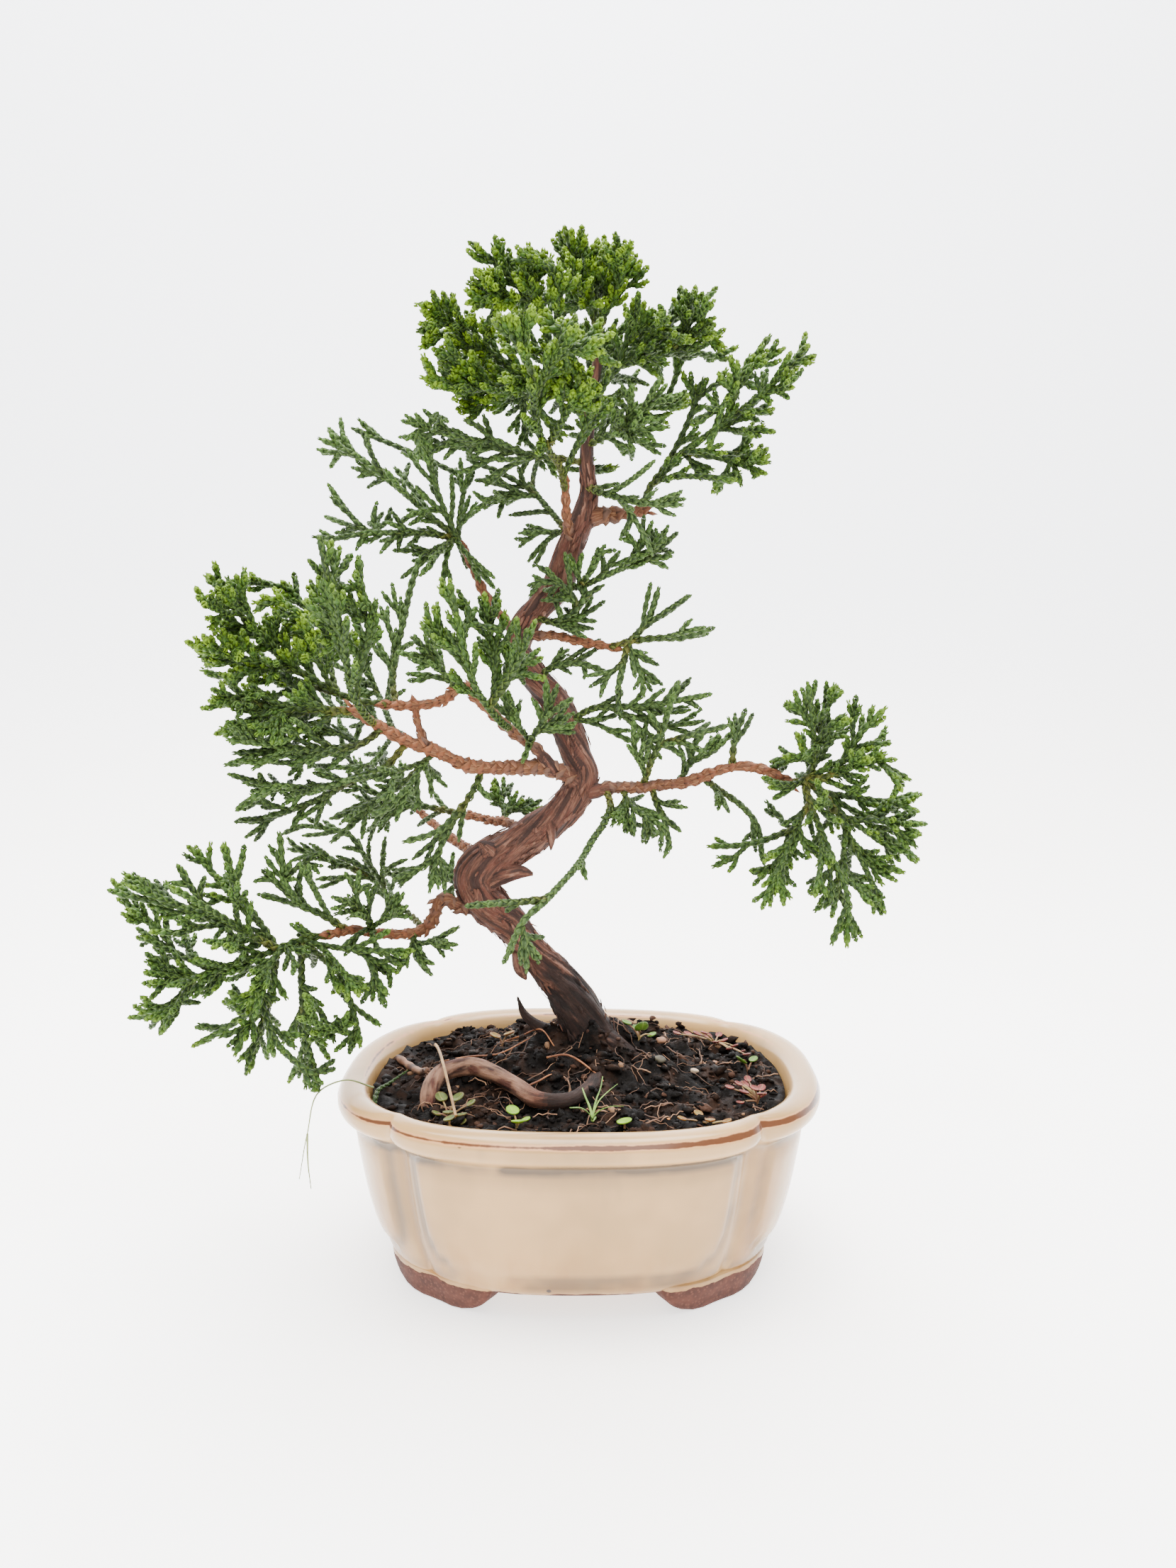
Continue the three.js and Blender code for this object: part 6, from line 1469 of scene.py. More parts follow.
        (-106.4, 142.4), (-105.7, 139), (-99, 150), (-92, 144), (-100, 145), (-78, 144),
    ]),
    "pad_low_inner": Spray((-16, -14), 9, 0.5, 0.2, [
        [(-45, 160.5, -16), (-50, 155, -13), (-58, 148, -10), (-66.5, 142, -9), (-78, 132, -8)],
    ], [
        (-76.7, 139.5), (-68, 134), (-57, 139.5, -26), (-66, 153), (-50, 143), (-42, 150), (-78, 135),
        (-71, 151.6, -40), (-58.4, 146, -34), (-62, 147),
    ]),
    "pad_back": Spray((-17, 40), 7, 0.7, 0.5, [
        [(-51, 163, -17), (-58, 167, 2), (-68, 171, 20), (-82, 172, 34)],
        [(-58, 167, 2), (-62, 178, 16), (-66, 186, 26)],
    ], [
        (-100, 172, 42), (-94, 184, 34), (-96, 162, 36), (-82, 190, 30), (-80, 156, 32), (-72, 196, 24),
        (-66, 152, 26), (-56, 190, 22), (-60, 160, 34), (-90, 176, 48),
    ]),
    "under_whip": Spray((-12, -18), 4, 0.25, 0.15, [
        [(-30, 155, -12), (-32, 150, -14), (-35.7, 143.6, -15), (-41.5, 135.8, -17), (-45.4, 127, -18),
         (-56.5, 119, -20)],
        [(-35.7, 143.6, -15), (-44, 135.4, -22), (-54, 132.4, -26)],
    ], [
        (-47, 116.8), (-28.4, 146, -15), (-47, 121), (-56.2, 118), (-43, 130.7), (-58, 123),
    ]),
    "under_left": Spray((18, 26), 6, 0.35, 0.2, [
        [(-37, 140.8, 17.5), (-44, 142.4, 20), (-55, 143.4, 23), (-66, 142, 26)],
    ], [
        (-62.5, 135.8), (-57, 150), (-50, 137.4), (-68, 148), (-65.7, 146), (-45, 147),
    ]),
    "under_bright": Spray((8, 22), 5, 0.7, 0.7, [
        [(-23.6, 138, 7), (-23, 141.6, 13), (-24, 146, 18)],
    ], [
        (-30, 147.6), (-19.6, 147), (-26, 151), (-14, 143.6), (-27, 144), (-21, 150),
    ]),
    "back_low_spray": Spray((38, 52), 8, 0.5, 0.3, [
        [(-48.6, 140.4, 37.6), (-54, 144.6, 42), (-62, 147, 46), (-74, 150, 50)],
    ], [
        (-76.7, 139.7), (-82, 156), (-70, 158), (-60, 136), (-58, 156), (-66, 132), (-50, 152), (-84, 147),
        (-66, 142), (-78, 146),
    ]),
    "back_sprig": Spray((4, 14), 4, 0.4, 0.3, [
        [(-36, 120.6, -1), (-40, 119.6, 7), (-43.4, 121, 11)],
    ], [
        (-46.6, 118.6), (-44, 127), (-39.6, 127.6), (-41, 114.6),
    ]),
    "low_pad": Spray((-26, -44), 13, 0.6, 0.65, [
        [(-78.6, 102.4, -25.6), (-88, 100.4, -30), (-96, 97.4, -34), (-108.5, 92.4, -38), (-122, 88.4, -40),
         (-137.5, 86.3, -42)],
        [(-96, 97.4, -34), (-108, 104, -40), (-122, 110, -44), (-136, 113, -46), (-147, 116, -48)],
        [(-96, 97.4, -34), (-104, 110, -30), (-114, 120, -28), (-123, 128.8, -26)],
        [(-96, 97.4, -34), (-98, 85, -32), (-101, 73, -30), (-106.5, 57, -28)],
        [(-88, 100.4, -30), (-88.6, 84, -30), (-87.5, 70.6, -30), (-84, 51.6, -30)],
        [(-88, 100.4, -30), (-79, 92, -24), (-71, 84.4, -20)],
        [(-122, 88.4, -40), (-130, 80, -42), (-139.6, 75.6, -44)],
    ], [
        (-141.5, 117.4), (-142.7, 110), (-139.5, 103.6), (-133.5, 119), (-128, 117, -62), (-138.3, 99),
        (-126, 123.4), (-116, 130.5), (-111.3, 130.5), (-107, 124.7), (-136, 93.7), (-139, 81),
        (-131.5, 72.6), (-123, 66), (-124.6, 80), (-113, 80), (-104.4, 84.5, -52), (-110, 63.5),
        (-95.6, 64.4), (-93, 54.5), (-88, 55), (-79.4, 58), (-77.4, 64.8), (-70.2, 66.4), (-74.2, 73),
        (-78, 84), (-62, 79.7), (-116, 98, -58), (-128, 102, -54), (-147, 119), (-145, 113),
        (-130.6, 114.4), (-137.5, 89.5), (-136, 82), (-143, 75), (-137, 72), (-121.8, 88), (-110.5, 83),
        (-102.4, 88, -50), (-106.5, 60), (-83.5, 54), (-82, 58.5), (-78, 90), (-70.6, 83), (-58.5, 90.4),
        (-53.6, 97), (-65.3, 86.3), (-76, 70.6), (-118, 118), (-111, 113), (-131, 107), (-127, 93),
        (-99, 79), (-93, 62),
    ]),
    "low_up": Spray((-24, -30), 6, 0.45, 0.35, [
        [(-73, 103.2, -23), (-80, 108, -25), (-90, 113, -28), (-94, 134, -30)],
    ], [
        (-87.5, 124.3), (-82, 124.3), (-84, 118), (-99, 122), (-98.8, 115), (-82.7, 128), (-91, 125),
        (-97, 130),
    ]),
    "low_front": Spray((-18, -34), 5, 0.45, 0.4, [
        [(-65, 102.8, -19), (-67, 107.6, -25), (-70, 113, -29), (-69.8, 121, -31)],
    ], [
        (-77.2, 114), (-59.3, 113.7), (-54, 107.8), (-75, 98, -30), (-63, 96, -30), (-73, 121),
        (-76.2, 109), (-55, 111), (-64, 118),
    ]),
    "low_back": Spray((-10, 18), 6, 0.3, 0.1, [
        [(-49.6, 104.3, -11), (-53, 108.4, 0), (-59.3, 114, 8), (-69, 124.3, 16)],
        [(-65.6, 120.7, 13.4), (-76, 125.6, 17), (-91, 129.5, 20)],
    ], [
        (-87.5, 137), (-92.7, 134.5), (-79.8, 138.3), (-72.4, 135), (-60.9, 132.6), (-55, 126),
        (-56.4, 119.5), (-82, 120), (-91, 132.5), (-90, 126), (-73.4, 130), (-78, 124), (-66, 131),
    ]),
    "low_hang": Spray((-12, -20), 4, 0.3, 0.2, [
        [(-52.4, 103.2, -12.6), (-52.6, 98.6, -15), (-51, 94, -17), (-48, 90, -18)],
    ], [
        (-40.4, 103.6), (-41, 97.6), (-57.6, 90.4), (-54.6, 92.6), (-47, 93), (-39.5, 99),
    ]),
}

FORK_SPACING = 4.0
SHORTEST_CORD = 3.0
# What makes a place bad for a fork: a sharp turn, a high level, other forks near, a short cord
TURN_COST, LEVEL_COST, CROWD_COST, STUB_COST = 3.2, 1.5, 2.0, 20.0
BOW_REACH = 0.4
STEP = 1.5
SPLAY = math.radians(31)
FINGER_SPLAY = math.radians(32)
LIGHT_PULL = np.array([0, -0.08, 0.42])
# From the barest spray to the leafiest: fillers for each tip, and the space between side cords
FILLERS = (0.9, 3.3)
SIDE_SPACING = (14.0, 4.0)
BARE_STEM, BARE_CORD = 0.4, 0.2  # shares of their length without side cords


class FoliageSizes(bpy.types.PropertyGroup):
    """How dense the foliage is, and its colours."""

    density: FloatProperty(name="Density", description="Side cords for each length of cord", default=1.0)
    deep: FloatVectorProperty(
        name="Deep green", description="Colour of grown scales", default=linear(36, 58, 14), size=3,
        subtype="COLOR", min=0, max=1,
    )
    bright: FloatVectorProperty(
        name="Bright green", description="Colour of new tips", default=linear(90, 118, 3), size=3,
        subtype="COLOR", min=0, max=1,
    )


def even_draws(seed):
    """A seeded draw of numbers between 0 and 1."""
    state = seed
    while True:
        state = state * 48271 % 2147483647
        yield state / 2147483647


class Sprig:
    """One spray as it grows: its stems from the wood, cords to its tips, and short ones beside them."""

    def __init__(self, spray, seed):
        self.spray = spray
        self.even = even_draws(seed)
        self.draw = np.random.default_rng(seed)
        self.cords = []  # x, y, z, radius rows, level, youth at both ends
        self.spots = np.empty((0, 3))
        self.ways = np.empty((0, 3))
        self.facts = np.empty((0, 4))  # cord, place along it, level, crowding
        self.root = seen(*spray.stems[0][0])

    def add(self, points, level, start_radius, end_radius, young, younger):
        line = smooth_line(points, STEP)
        radii = np.linspace(start_radius, end_radius, len(line))
        self.cords.append((np.column_stack([line, radii]), level, young, younger))
        step = max(1, round(FORK_SPACING / 3 / STEP))
        marks = np.arange(step // 2, len(line) - 1, step)
        marks = marks[np.linalg.norm(line[marks] - self.root, axis=1) > SHORTEST_CORD]
        facts = np.zeros((len(marks), 4))
        facts[:, 0] = len(self.cords) - 1
        facts[:, 1] = marks * STEP
        facts[:, 2] = level
        self.spots = np.concatenate([self.spots, line[marks]])
        self.ways = np.concatenate([self.ways, ways_along(line)[marks]])
        self.facts = np.concatenate([self.facts, facts])

    def plant_stems(self):
        fresh = self.spray.fresh
        for rows in self.spray.stems:
            points = np.array([seen(*row) for row in rows])
            if self.cords:
                every = np.concatenate([cord[0][:, :3] for cord in self.cords])
                points[0] = every[np.linalg.norm(every - points[0], axis=1).argmin()]
            line = smooth_line(points, 3)
            wander = np.stack([ripple(line / 9, 90 + k) for k in range(3)], axis=1) * 0.5
            line += wander * np.linspace(0, 1, len(line))[:, None]
            self.add(line, 0, STEM_RADIUS, TIP_RADIUS, 0.02, 0.35 + 0.6 * fresh)

    def fork_to(self, tip, younger):
        """Grows a cord to a tip from the best place on what has grown, bowed away from its parent."""
        to_tip = tip - self.spots
        length = np.linalg.norm(to_tip, axis=1)
        turn = 1 - np.einsum("vk,vk->v", to_tip, self.ways) / np.maximum(length, 1e-6)
        cost = length * (1 + TURN_COST * turn)
        cost = cost + LEVEL_COST * self.facts[:, 2] + CROWD_COST * self.facts[:, 3]
        cost += np.where(length < SHORTEST_CORD, STUB_COST, 0)
        best = cost.argmin()
        start, way = self.spots[best], self.ways[best]
        cord, at, level = self.facts[best, :3]
        reach = length[best]
        bow = unit(2 * unit(tip - start) + way)
        bend = start + bow * reach * BOW_REACH
        share = np.linspace(0, 1, max(5, int(reach / 2)))[:, None]
        points = start * (1 - share) ** 2 + bend * 2 * share * (1 - share) + tip * share**2
        sway = self.draw.normal(0, 0.012 * reach, 3) * np.sin(share * math.pi)
        young = min(0.14 + 0.1 * level, 0.4)
        end = TIP_RADIUS * mix(0.84, 1.1, self.spray.fresh)
        self.add(points + sway, int(level) + 1, CORD_RADIUS * 1.04, end, young, younger)
        close = (self.facts[:, 0] == cord) & (np.abs(self.facts[:, 1] - at) < FORK_SPACING)
        self.facts[close, 3] += 1

    def grow_tips(self):
        """Cords to each tip, the longest first, and then fillers between them."""
        spray, even = self.spray, self.even
        first = np.array(spray.stems[0][0][:2])
        reaches = [math.hypot(*(np.array(tip[:2]) - first)) for tip in spray.tips]
        furthest = max(reaches)
        spots = []
        for tip, reach in zip(spray.tips, reaches):
            stray = (next(even) * 2 - 1) * spray.spread
            usual = mix(*spray.depth, reach / furthest) + stray
            spots.append(seen(tip[0], tip[1], tip[2] if len(tip) > 2 else usual))
        stems = np.concatenate([cord[0][:, :3] for cord in self.cords])
        gaps = [np.linalg.norm(stems - spot, axis=1).min() for spot in spots]
        fresh_end = 0.42 + 0.58 * spray.fresh
        for number in np.argsort(gaps)[::-1]:
            if gaps[number] > SHORTEST_CORD:
                self.fork_to(spots[number], fresh_end)
        spots = np.array(spots)
        draw = self.draw
        for _ in range(int(len(spots) * mix(*FILLERS, spray.leafy**2))):
            one, two = spots[draw.integers(len(spots), size=2)]
            between = mix(mix(one, two, draw.uniform(0.25, 0.75)), self.root, draw.uniform(0.0, 0.26))
            between = between + draw.normal(0, 1, 3) * [1.5, spray.spread * 0.5, 1.5]
            self.fork_to(between, fresh_end * draw.uniform(0.7, 1))

    def side_cords(self):
        """Cords on alternate sides of each cord, and fingers near its end."""
        draw, leafy, fresh = self.draw, self.spray.leafy, self.spray.fresh
        density = bpy.context.scene.bonsai_foliage.density
        grown = []
        for line, level, young, younger in self.cords:
            points = line[:, :3]
            length = (len(points) - 1) * STEP
            ways = ways_along(points)
            normal = unit(np.cross(ways[len(ways) // 2], draw.normal(size=3)))
            bare = (BARE_STEM if level == 0 else BARE_CORD) * length
            spacing = mix(*SIDE_SPACING, leafy**1.5) / density
            at = bare + draw.uniform(0, spacing)
            hand = draw.choice([-1, 1])
            while at < length - mix(8.5, 5, fresh):
                place = min(int(at / STEP), len(points) - 1)
                size = min(draw.uniform(7, mix(18, 13, leafy)), 2.5 + 0.85 * (length - at))
                youth = mix(young, min(younger, 0.5), at / length)
                side = self.short_cord(points[place], ways[place], normal, hand, size, youth)
                grown.append(side)
                if size > 8 and draw.uniform() < mix(0.1, 0.9, fresh):
                    grown += self.fingers(side[0][:, :3], size, mix(1, 2, fresh), 0.5 * side[2])
                at += spacing * draw.uniform(0.65, 1.4)
                hand = -hand
                if draw.uniform() < 0.3:
                    normal = unit(np.cross(ways[place], draw.normal(size=3)))
            grown += self.fingers(points, length, mix(0.3, 2.6, fresh**2), 0.5 * younger)
        return grown

    def fingers(self, points, length, count, youth):
        """Blunt tips beside the end of a cord, each further back than the last."""
        draw = self.draw
        line = smooth_line(points, STEP)
        ways = ways_along(line)
        grown = []
        normal = unit(np.cross(ways[-1], draw.normal(size=3)))
        for number in range(int(count + draw.uniform())):
            back = mix(8.0, 4.2, self.spray.fresh) + 2.1 * number * draw.uniform(0.8, 1.2)
            if back > 0.8 * length:
                break
            place = max(0, len(line) - 1 - round(back / STEP))
            if number == 2:
                normal = unit(np.cross(ways[place], normal))
            hand = 1 if number % 2 else -1
            size = draw.uniform(0.82, 1.12) * min(back, 5.4 if number else 9)
            grown.append(self.short_cord(line[place], ways[place], normal, hand, size, youth, FINGER_SPLAY))
        return grown

    def short_cord(self, start, way, normal, hand, size, youth, splay=SPLAY):
        """A short cord that leaves its parent aslant, turns along it and, where fresh, to the light."""
        draw, fresh = self.draw, self.spray.fresh
        out = np.cross(normal, way) * hand
        splay = splay * draw.uniform(0.85, 1.2)
        first = way * math.cos(splay) + out * math.sin(splay)
        last = unit(first + 0.3 * way + LIGHT_PULL * fresh + draw.normal(0, 0.05, 3))
        knee = start + first * size * 0.5
        points = np.array([start, knee, knee + last * size * 0.5])
        radius = CORD_RADIUS * draw.uniform(0.86, 0.98)
        line = np.column_stack([points, np.linspace(radius, TIP_RADIUS * mix(0.82, 1.12, fresh), 3)])
        return line, youth, mix(youth, 1.0, mix(0.25, 0.88, fresh**1.3))

    def coat(self):
        """The whole spray as a mesh of scale leaves round slim cores."""
        coat = ScaleCoat(1 - self.spray.fresh)
        short = self.side_cords()
        for line, _, young, younger in self.cords:
            coat.cover(line, SCALE_PITCH, self.draw, young, younger)
        for line, young, younger in short:
            coat.cover(line, mix(SCALE_PITCH, FRESH_PITCH, self.spray.fresh), self.draw, young, younger)
        return coat.mesh()


def scale_leaf_finish():
    """Green scales with paler edges and painted shade at their bases, from olive stems through blue-green to
    bright tips.
    """
    sizes = bpy.context.scene.bonsai_foliage
    make = Finish("scale_leaves", Specular_IOR_Level=0.2)
    growth = make.kept("growth", "Vector")
    youth, chance, bloom = (make.part(growth, letter) for letter in "XYZ")
    pale_edge_and_crevice_shade = make.kept("pale_edge_and_crevice_shade")
    spots = make.spots()
    patch = make.noise(spots, 55, 2)
    age = make.maths("ADD", youth, make.band(patch, 0.3, 0.7, -0.09, 0.09))
    age = make.maths("ADD", age, make.band(chance, 0, 1, -0.07, 0.07))
    green = make.ramp(
        age, (0.0, linear(74, 70, 22)), (0.1, linear(44, 56, 18)), (0.24, linear(34, 52, 17)),
        (0.44, tuple(sizes.deep)), (0.68, linear(42, 72, 9)), (0.95, tuple(sizes.bright)),
    )
    bloomed = make.blend(0.28, green, linear(98, 122, 74))
    green = make.blend(make.maths("MULTIPLY", bloom, make.band(youth, 0.1, 0.3)), green, bloomed)
    green = make.tint(green, linear(22, 36, 14), chance, 0.5, 0.0, 0.62)
    edge = make.blend(bloom, linear(120, 150, 20), linear(142, 168, 86))
    pale = make.blend(0.34, green, edge, "SCREEN")
    green = make.tint(green, pale, pale_edge_and_crevice_shade, 0.4, 1.0, 0.62)
    # Painted shade where each scale's base tucks under the pair before it
    green = make.tint(green, linear(15, 27, 13), pale_edge_and_crevice_shade, 0.34, 0.0, 0.46)
    fleck = make.noise(spots, 1400, 3)
    make.set("Base Color", make.tint(green, linear(34, 52, 24), fleck, 0.35, 0.7, 0.2))
    make.set("Roughness", make.band(fleck, 0.3, 0.7, 0.5, 0.7))
    make.set("Normal", make.bump(make.noise(spots, 2200, 2), 0.25, 0.0001))
    return make.material


class BONSAI_OT_foliage(bpy.types.Operator):
    """Grow every spray of foliage from its place on the wood and coat it with scale leaves"""

    bl_idname = "bonsai.foliage"
    bl_label = "Foliage"

    def execute(self, context):
        finish = scale_leaf_finish()
        for number, (name, spray) in enumerate(SPRAYS.items()):
            sprig = Sprig(spray, 101 + 37 * number)
            sprig.plant_stems()
            sprig.grow_tips()
            piece("spray_" + name, sprig.coat(), [finish], [name])
        return {"FINISHED"}


# What grows in the soil and lies on it

LEAF_THICK = 0.00035
LEAF_WIDTH = 0.85
LEAF_CUP = 0.12  # how far its edge is lifted
STALK_FOOT = -2  # how far under the soil a stalk starts
STALK_RADII = (0.34, 0.32, 0.27, 0.22)


def leaf_blade(spot, turn, tilt, length, notch):
    """A small closed leaf with a rounded outline, whose base is drawn in by notch."""
    bm = bmesh.new()
    bmesh.ops.create_grid(bm, x_segments=8, y_segments=8, size=1)
    for vertex in bm.verts:
        u, v = vertex.co.x, vertex.co.y
        x, y = u * math.sqrt(1 - v * v / 2), v * math.sqrt(1 - u * u / 2)
        reach = math.hypot(x, y)
        angle = math.atan2(y, x)
        pull = 1 - notch * math.exp(-(((abs(angle) - math.pi) / 0.5) ** 2))
        height = LEAF_CUP * reach**2 * 2 - 0.1 * abs(y) * (1 - reach)
        across = y * pull * length * LEAF_WIDTH / 2
        vertex.co = Vector((x * pull * length / 2, across, height * length / 2)) * MM
    bmesh.ops.solidify(bm, geom=bm.faces, thickness=LEAF_THICK)
    mesh = faced_out(bm)
    flat = read(mesh)
    keep(mesh, "blade", np.column_stack([flat[:, :2] / (length / 2 * MM), np.zeros(len(flat))]))
    cos_tilt, sin_tilt = math.cos(tilt), math.sin(tilt)
    cos_turn, sin_turn = math.cos(turn), math.sin(turn)
    lean = np.array([[cos_tilt, 0, -sin_tilt], [0, 1, 0], [sin_tilt, 0, cos_tilt]])
    spin = np.array([[cos_turn, -sin_turn, 0], [sin_turn, cos_turn, 0], [0, 0, 1]])
    write(mesh, flat @ (spin @ lean).T + home(spot))
    return mesh


def leaf_finish(name, inner, outer, rim):
    """A leaf with a paler middle and vein, and a darker rim."""
    make = Finish(name, roughness=0.5, Specular_IOR_Level=0.25)
    blade = make.kept("blade", "Vector")
    across = make.maths("ABSOLUTE", make.part(blade, "Y"))
    reach = make.add("VectorMath", {0: blade}, operation="LENGTH").outputs["Value"]
    blotch = make.noise(make.spots(), 700, 3)
    colour = make.tint(inner, outer, blotch, 0.35, 0.65)
    colour = make.tint(colour, rim, reach, 0.72, 0.98, 0.7)
    make.set("Base Color", make.tint(colour, linear(160, 160, 96), across, 0.1, 0.02, 0.25))
    make.set("Normal", make.bump(blotch, 0.3, 0.0002))
    return make.material


Seedling = namedtuple("Seedling", "root finish replaced leaves")
# Each leaf is how far from the root to the right and to the back, its height over the soil,
# its length, its tilt and how far its base is drawn in
SEEDLINGS = {
    "seedling_pair": Seedling((-17, -43), "bright", ["seedling_pair"], [
        (-1.4, 2.6, 4, 4.4, 0.25, 0.05), (0.6, -3.6, 3.4, 4.6, 0.3, 0.25), (2.6, 0.2, 2.6, 2.6, 0.3, 0),
    ]),
    "seedling_grey": Seedling((-37.4, -35.6), "olive", ["seedling_grey"], [
        (-2.6, 4, 4.6, 4.2, 0.4, 0.2), (2.6, 1.8, 5.2, 4.2, 0.4, 0.2), (0.4, -3.4, 4, 3.8, 0.2, 0.2),
        (4, -5, 3.4, 4.6, 0.3, 0), (-3.4, -0.8, 3, 3, 0.4, 0), (6.4, 2, 2.6, 3.2, 0.5, 0.1),
    ]),
    "seedling_heart": Seedling((19.4, 7.4), "green", ["seedling_heart"], [
        (0.8, -2.6, 6, 5.4, 0.9, 0.42), (-4, 0.4, 3.6, 3.4, 0.3, 0.1), (4.2, 1.2, 3.6, 3.2, 0.3, 0.1),
        (-1, 3, 2.6, 2.8, 0.4, 0),
    ]),
    "seedling_pink": Seedling((54, -23), "pink", ["seedling_pink"], [
        (-4.4, -2, 4, 3.3, 0.3, 0), (0.6, -4.6, 4.4, 3.5, 0.3, 0), (1.6, 3.4, 4, 3.1, 0.3, 0),
        (-3.4, 4.4, 4.8, 3.1, 0.4, 0), (-8.4, 0.6, 3.6, 2.9, 0.2, 0), (-1, 0.6, 5.2, 3, 0.3, 0),
        (-5.6, 1.8, 5.6, 2.6, 0.4, 0), (1.4, -0.6, 3, 2.8, 0.5, 0), (-2, 8, 3.6, 2.7, 0.4, 0),
        (-6, -6, 3, 2.6, 0.2, 0),
    ]),
    "seedling_green": Seedling((54.4, 3), "green", ["seedling_green"], [
        (-2.4, -1.4, 5, 4.4, 0.7, 0.1), (2, 2, 3.8, 3.2, 0.3, 0),
    ]),
    "seedling_brownish": Seedling((-26, 17), "copper", [], [
        (-2.4, 0.4, 4.6, 4, 0.35, 0.1), (2.4, -0.8, 4, 4, 0.35, 0.1),
    ]),
    "seedling_round": Seedling((13.6, -42), "bright", [], [
        (0, 0, 2.4, 4.4, 0.2, 0),
    ]),
    "seedling_rounds": Seedling((38, -40), "copper", [], [
        (0, -1.6, 2.2, 3.4, 0.2, 0), (5, 0, 2, 2.8, 0.3, 0), (-3, 3, 2.4, 3, 0.3, 0),
        (-8, -1, 2, 2.8, 0.3, 0),
    ]),
    "seedling_back": Seedling((46, 26), "pink", [], [
        (-6, 0, 3, 3.4, 0.4, 0), (-2, 3, 3.4, 3, 0.4, 0), (3, -1, 3, 3.2, 0.4, 0), (6, -6, 3, 3, 0.4, 0),
        (-9, 4, 2.8, 3, 0.3, 0), (2, 6, 2.6, 2.8, 0.3, 0), (0, -4, 2.4, 2.8, 0.3, 0),
        (8, -10, 2.6, 2.8, 0.4, 0), (9, -15, 2.4, 3, 0.3, 0), (-13, 1, 2.6, 2.8, 0.3, 0),
        (4, -9, 3.2, 2.8, 0.4, 0), (-4, -2, 4, 2.6, 0.3, 0),
    ]),
    "seedling_olive": Seedling((-36, -44), "olive", [], [
        (0, 0, 2.6, 3.8, 0.3, 0.1), (3.4, 1.4, 2, 2.8, 0.4, 0),
    ]),
}


# The colours of a leaf's middle, its blotches and its rim
LEAF_COLOURS = {
    "bright": [(128, 164, 24), (104, 146, 16), (80, 118, 16)],
    "olive": [(84, 96, 34), (64, 76, 28), (80, 56, 30)],
    "green": [(92, 124, 40), (70, 102, 32), (60, 82, 30)],
    "copper": [(116, 96, 26), (112, 70, 24), (100, 52, 22)],
    "pink": [(126, 56, 48), (96, 42, 36), (66, 28, 28)],
}


def seedling_mesh(plan):
    x, y = plan.root
    fork = over_soil(x, y, 0.5)
    stems, blades = [], []
    for dx, dy, height, length, tilt, notch in plan.leaves:
        end = over_soil(x + dx, y + dy, height)
        knee = mix(fork, end, 0.5) + [0, 0, 0.25 * height]
        spots = [over_soil(x, y, STALK_FOOT), fork, knee, end - [0, 0, 0.1]]
        rows = [[*spot, radius] for spot, radius in zip(spots, STALK_RADII)]
        stems.append(smooth_line(rows, 0.8))
        blades.append(leaf_blade(end, math.atan2(dy, dx), tilt, length, notch))
    stalks = tubes(stems, 1)
    keep(stalks, "blade", np.zeros((len(stalks.vertices), 3)))
    return joined([paint_faces(mesh, 0) for mesh in blades] + [paint_faces(stalks, 1)])


class BONSAI_OT_seedlings(bpy.types.Operator):
    """Plant the small leafy seedlings that came up in the soil"""

    bl_idname = "bonsai.seedlings"
    bl_label = "Seedlings"

    def execute(self, context):
        leaves = {
            name: leaf_finish("leaf_" + name, *(linear(*colour) for colour in colours))
            for name, colours in LEAF_COLOURS.items()
        }
        stalk = fibre_finish("seedling_stalks", linear(112, 78, 56), linear(140, 118, 70))
        for name, plan in SEEDLINGS.items():
            thing = "leaves_" + name
            piece(thing, seedling_mesh(plan), [leaves[plan.finish], stalk], plan.replaced)
        return {"FINISHED"}


# Blades of grass: each point is how far from the root to the right and to the back, and its
# height over the soil
TUFT_ROOT = (4.4, -37)
TUFT_BLADES = [
    [(-1.2, -1.2, 3.6), (-3.6, -3.6, 5.6), (-6.4, -5, 5.4)],
    [(1.6, 1.8, 4), (5, 5.4, 6.4), (7.4, 9, 7)],
    [(1.8, -0.4, 2.8), (5.6, -1.4, 4.2), (9, -1, 3.6)],
    [(-0.6, 1.3, 3), (-2, 4, 5), (-3, 8, 6)],
    [(0.6, -2, 2), (1, -5.6, 3.4), (0.4, -9, 3)],
    [(1, 3, 4), (2.4, 6.6, 7), (3, 10, 8.6)],
]
HANGING_BLADES = [  # a thin blade that hangs over the left rim, in the pot's own places
    [(-62, -20, 59.6), (-70, -24, 63.4), (-76.6, -28, 61.5), (-79.6, -32, 50), (-81.8, -34, 37)],
    [(-79.6, -32, 50), (-79.4, -33, 42), (-78.4, -34, 34)],
]


TUBE_SIDES = 6  # of the tubes that blades of grass are made from


def tapered(points, radius, spacing=1.2, end=0.35):
    line = smooth_line(points, spacing)
    return np.column_stack([line, radius * np.linspace(1, end, len(line))])


def flattened(mesh, share):
    """Thins a blade by squeezing every ring of its tube flat."""
    rings = read(mesh).reshape(-1, TUBE_SIDES, 3)
    middle = rings.mean(axis=1, keepdims=True)
    away = rings - middle
    normal = unit(away[:, :1])
    away -= normal * np.einsum("rak,rbk->rab", away, normal) * (1 - share)
    write(mesh, (middle + away).reshape(-1, 3))
    return mesh


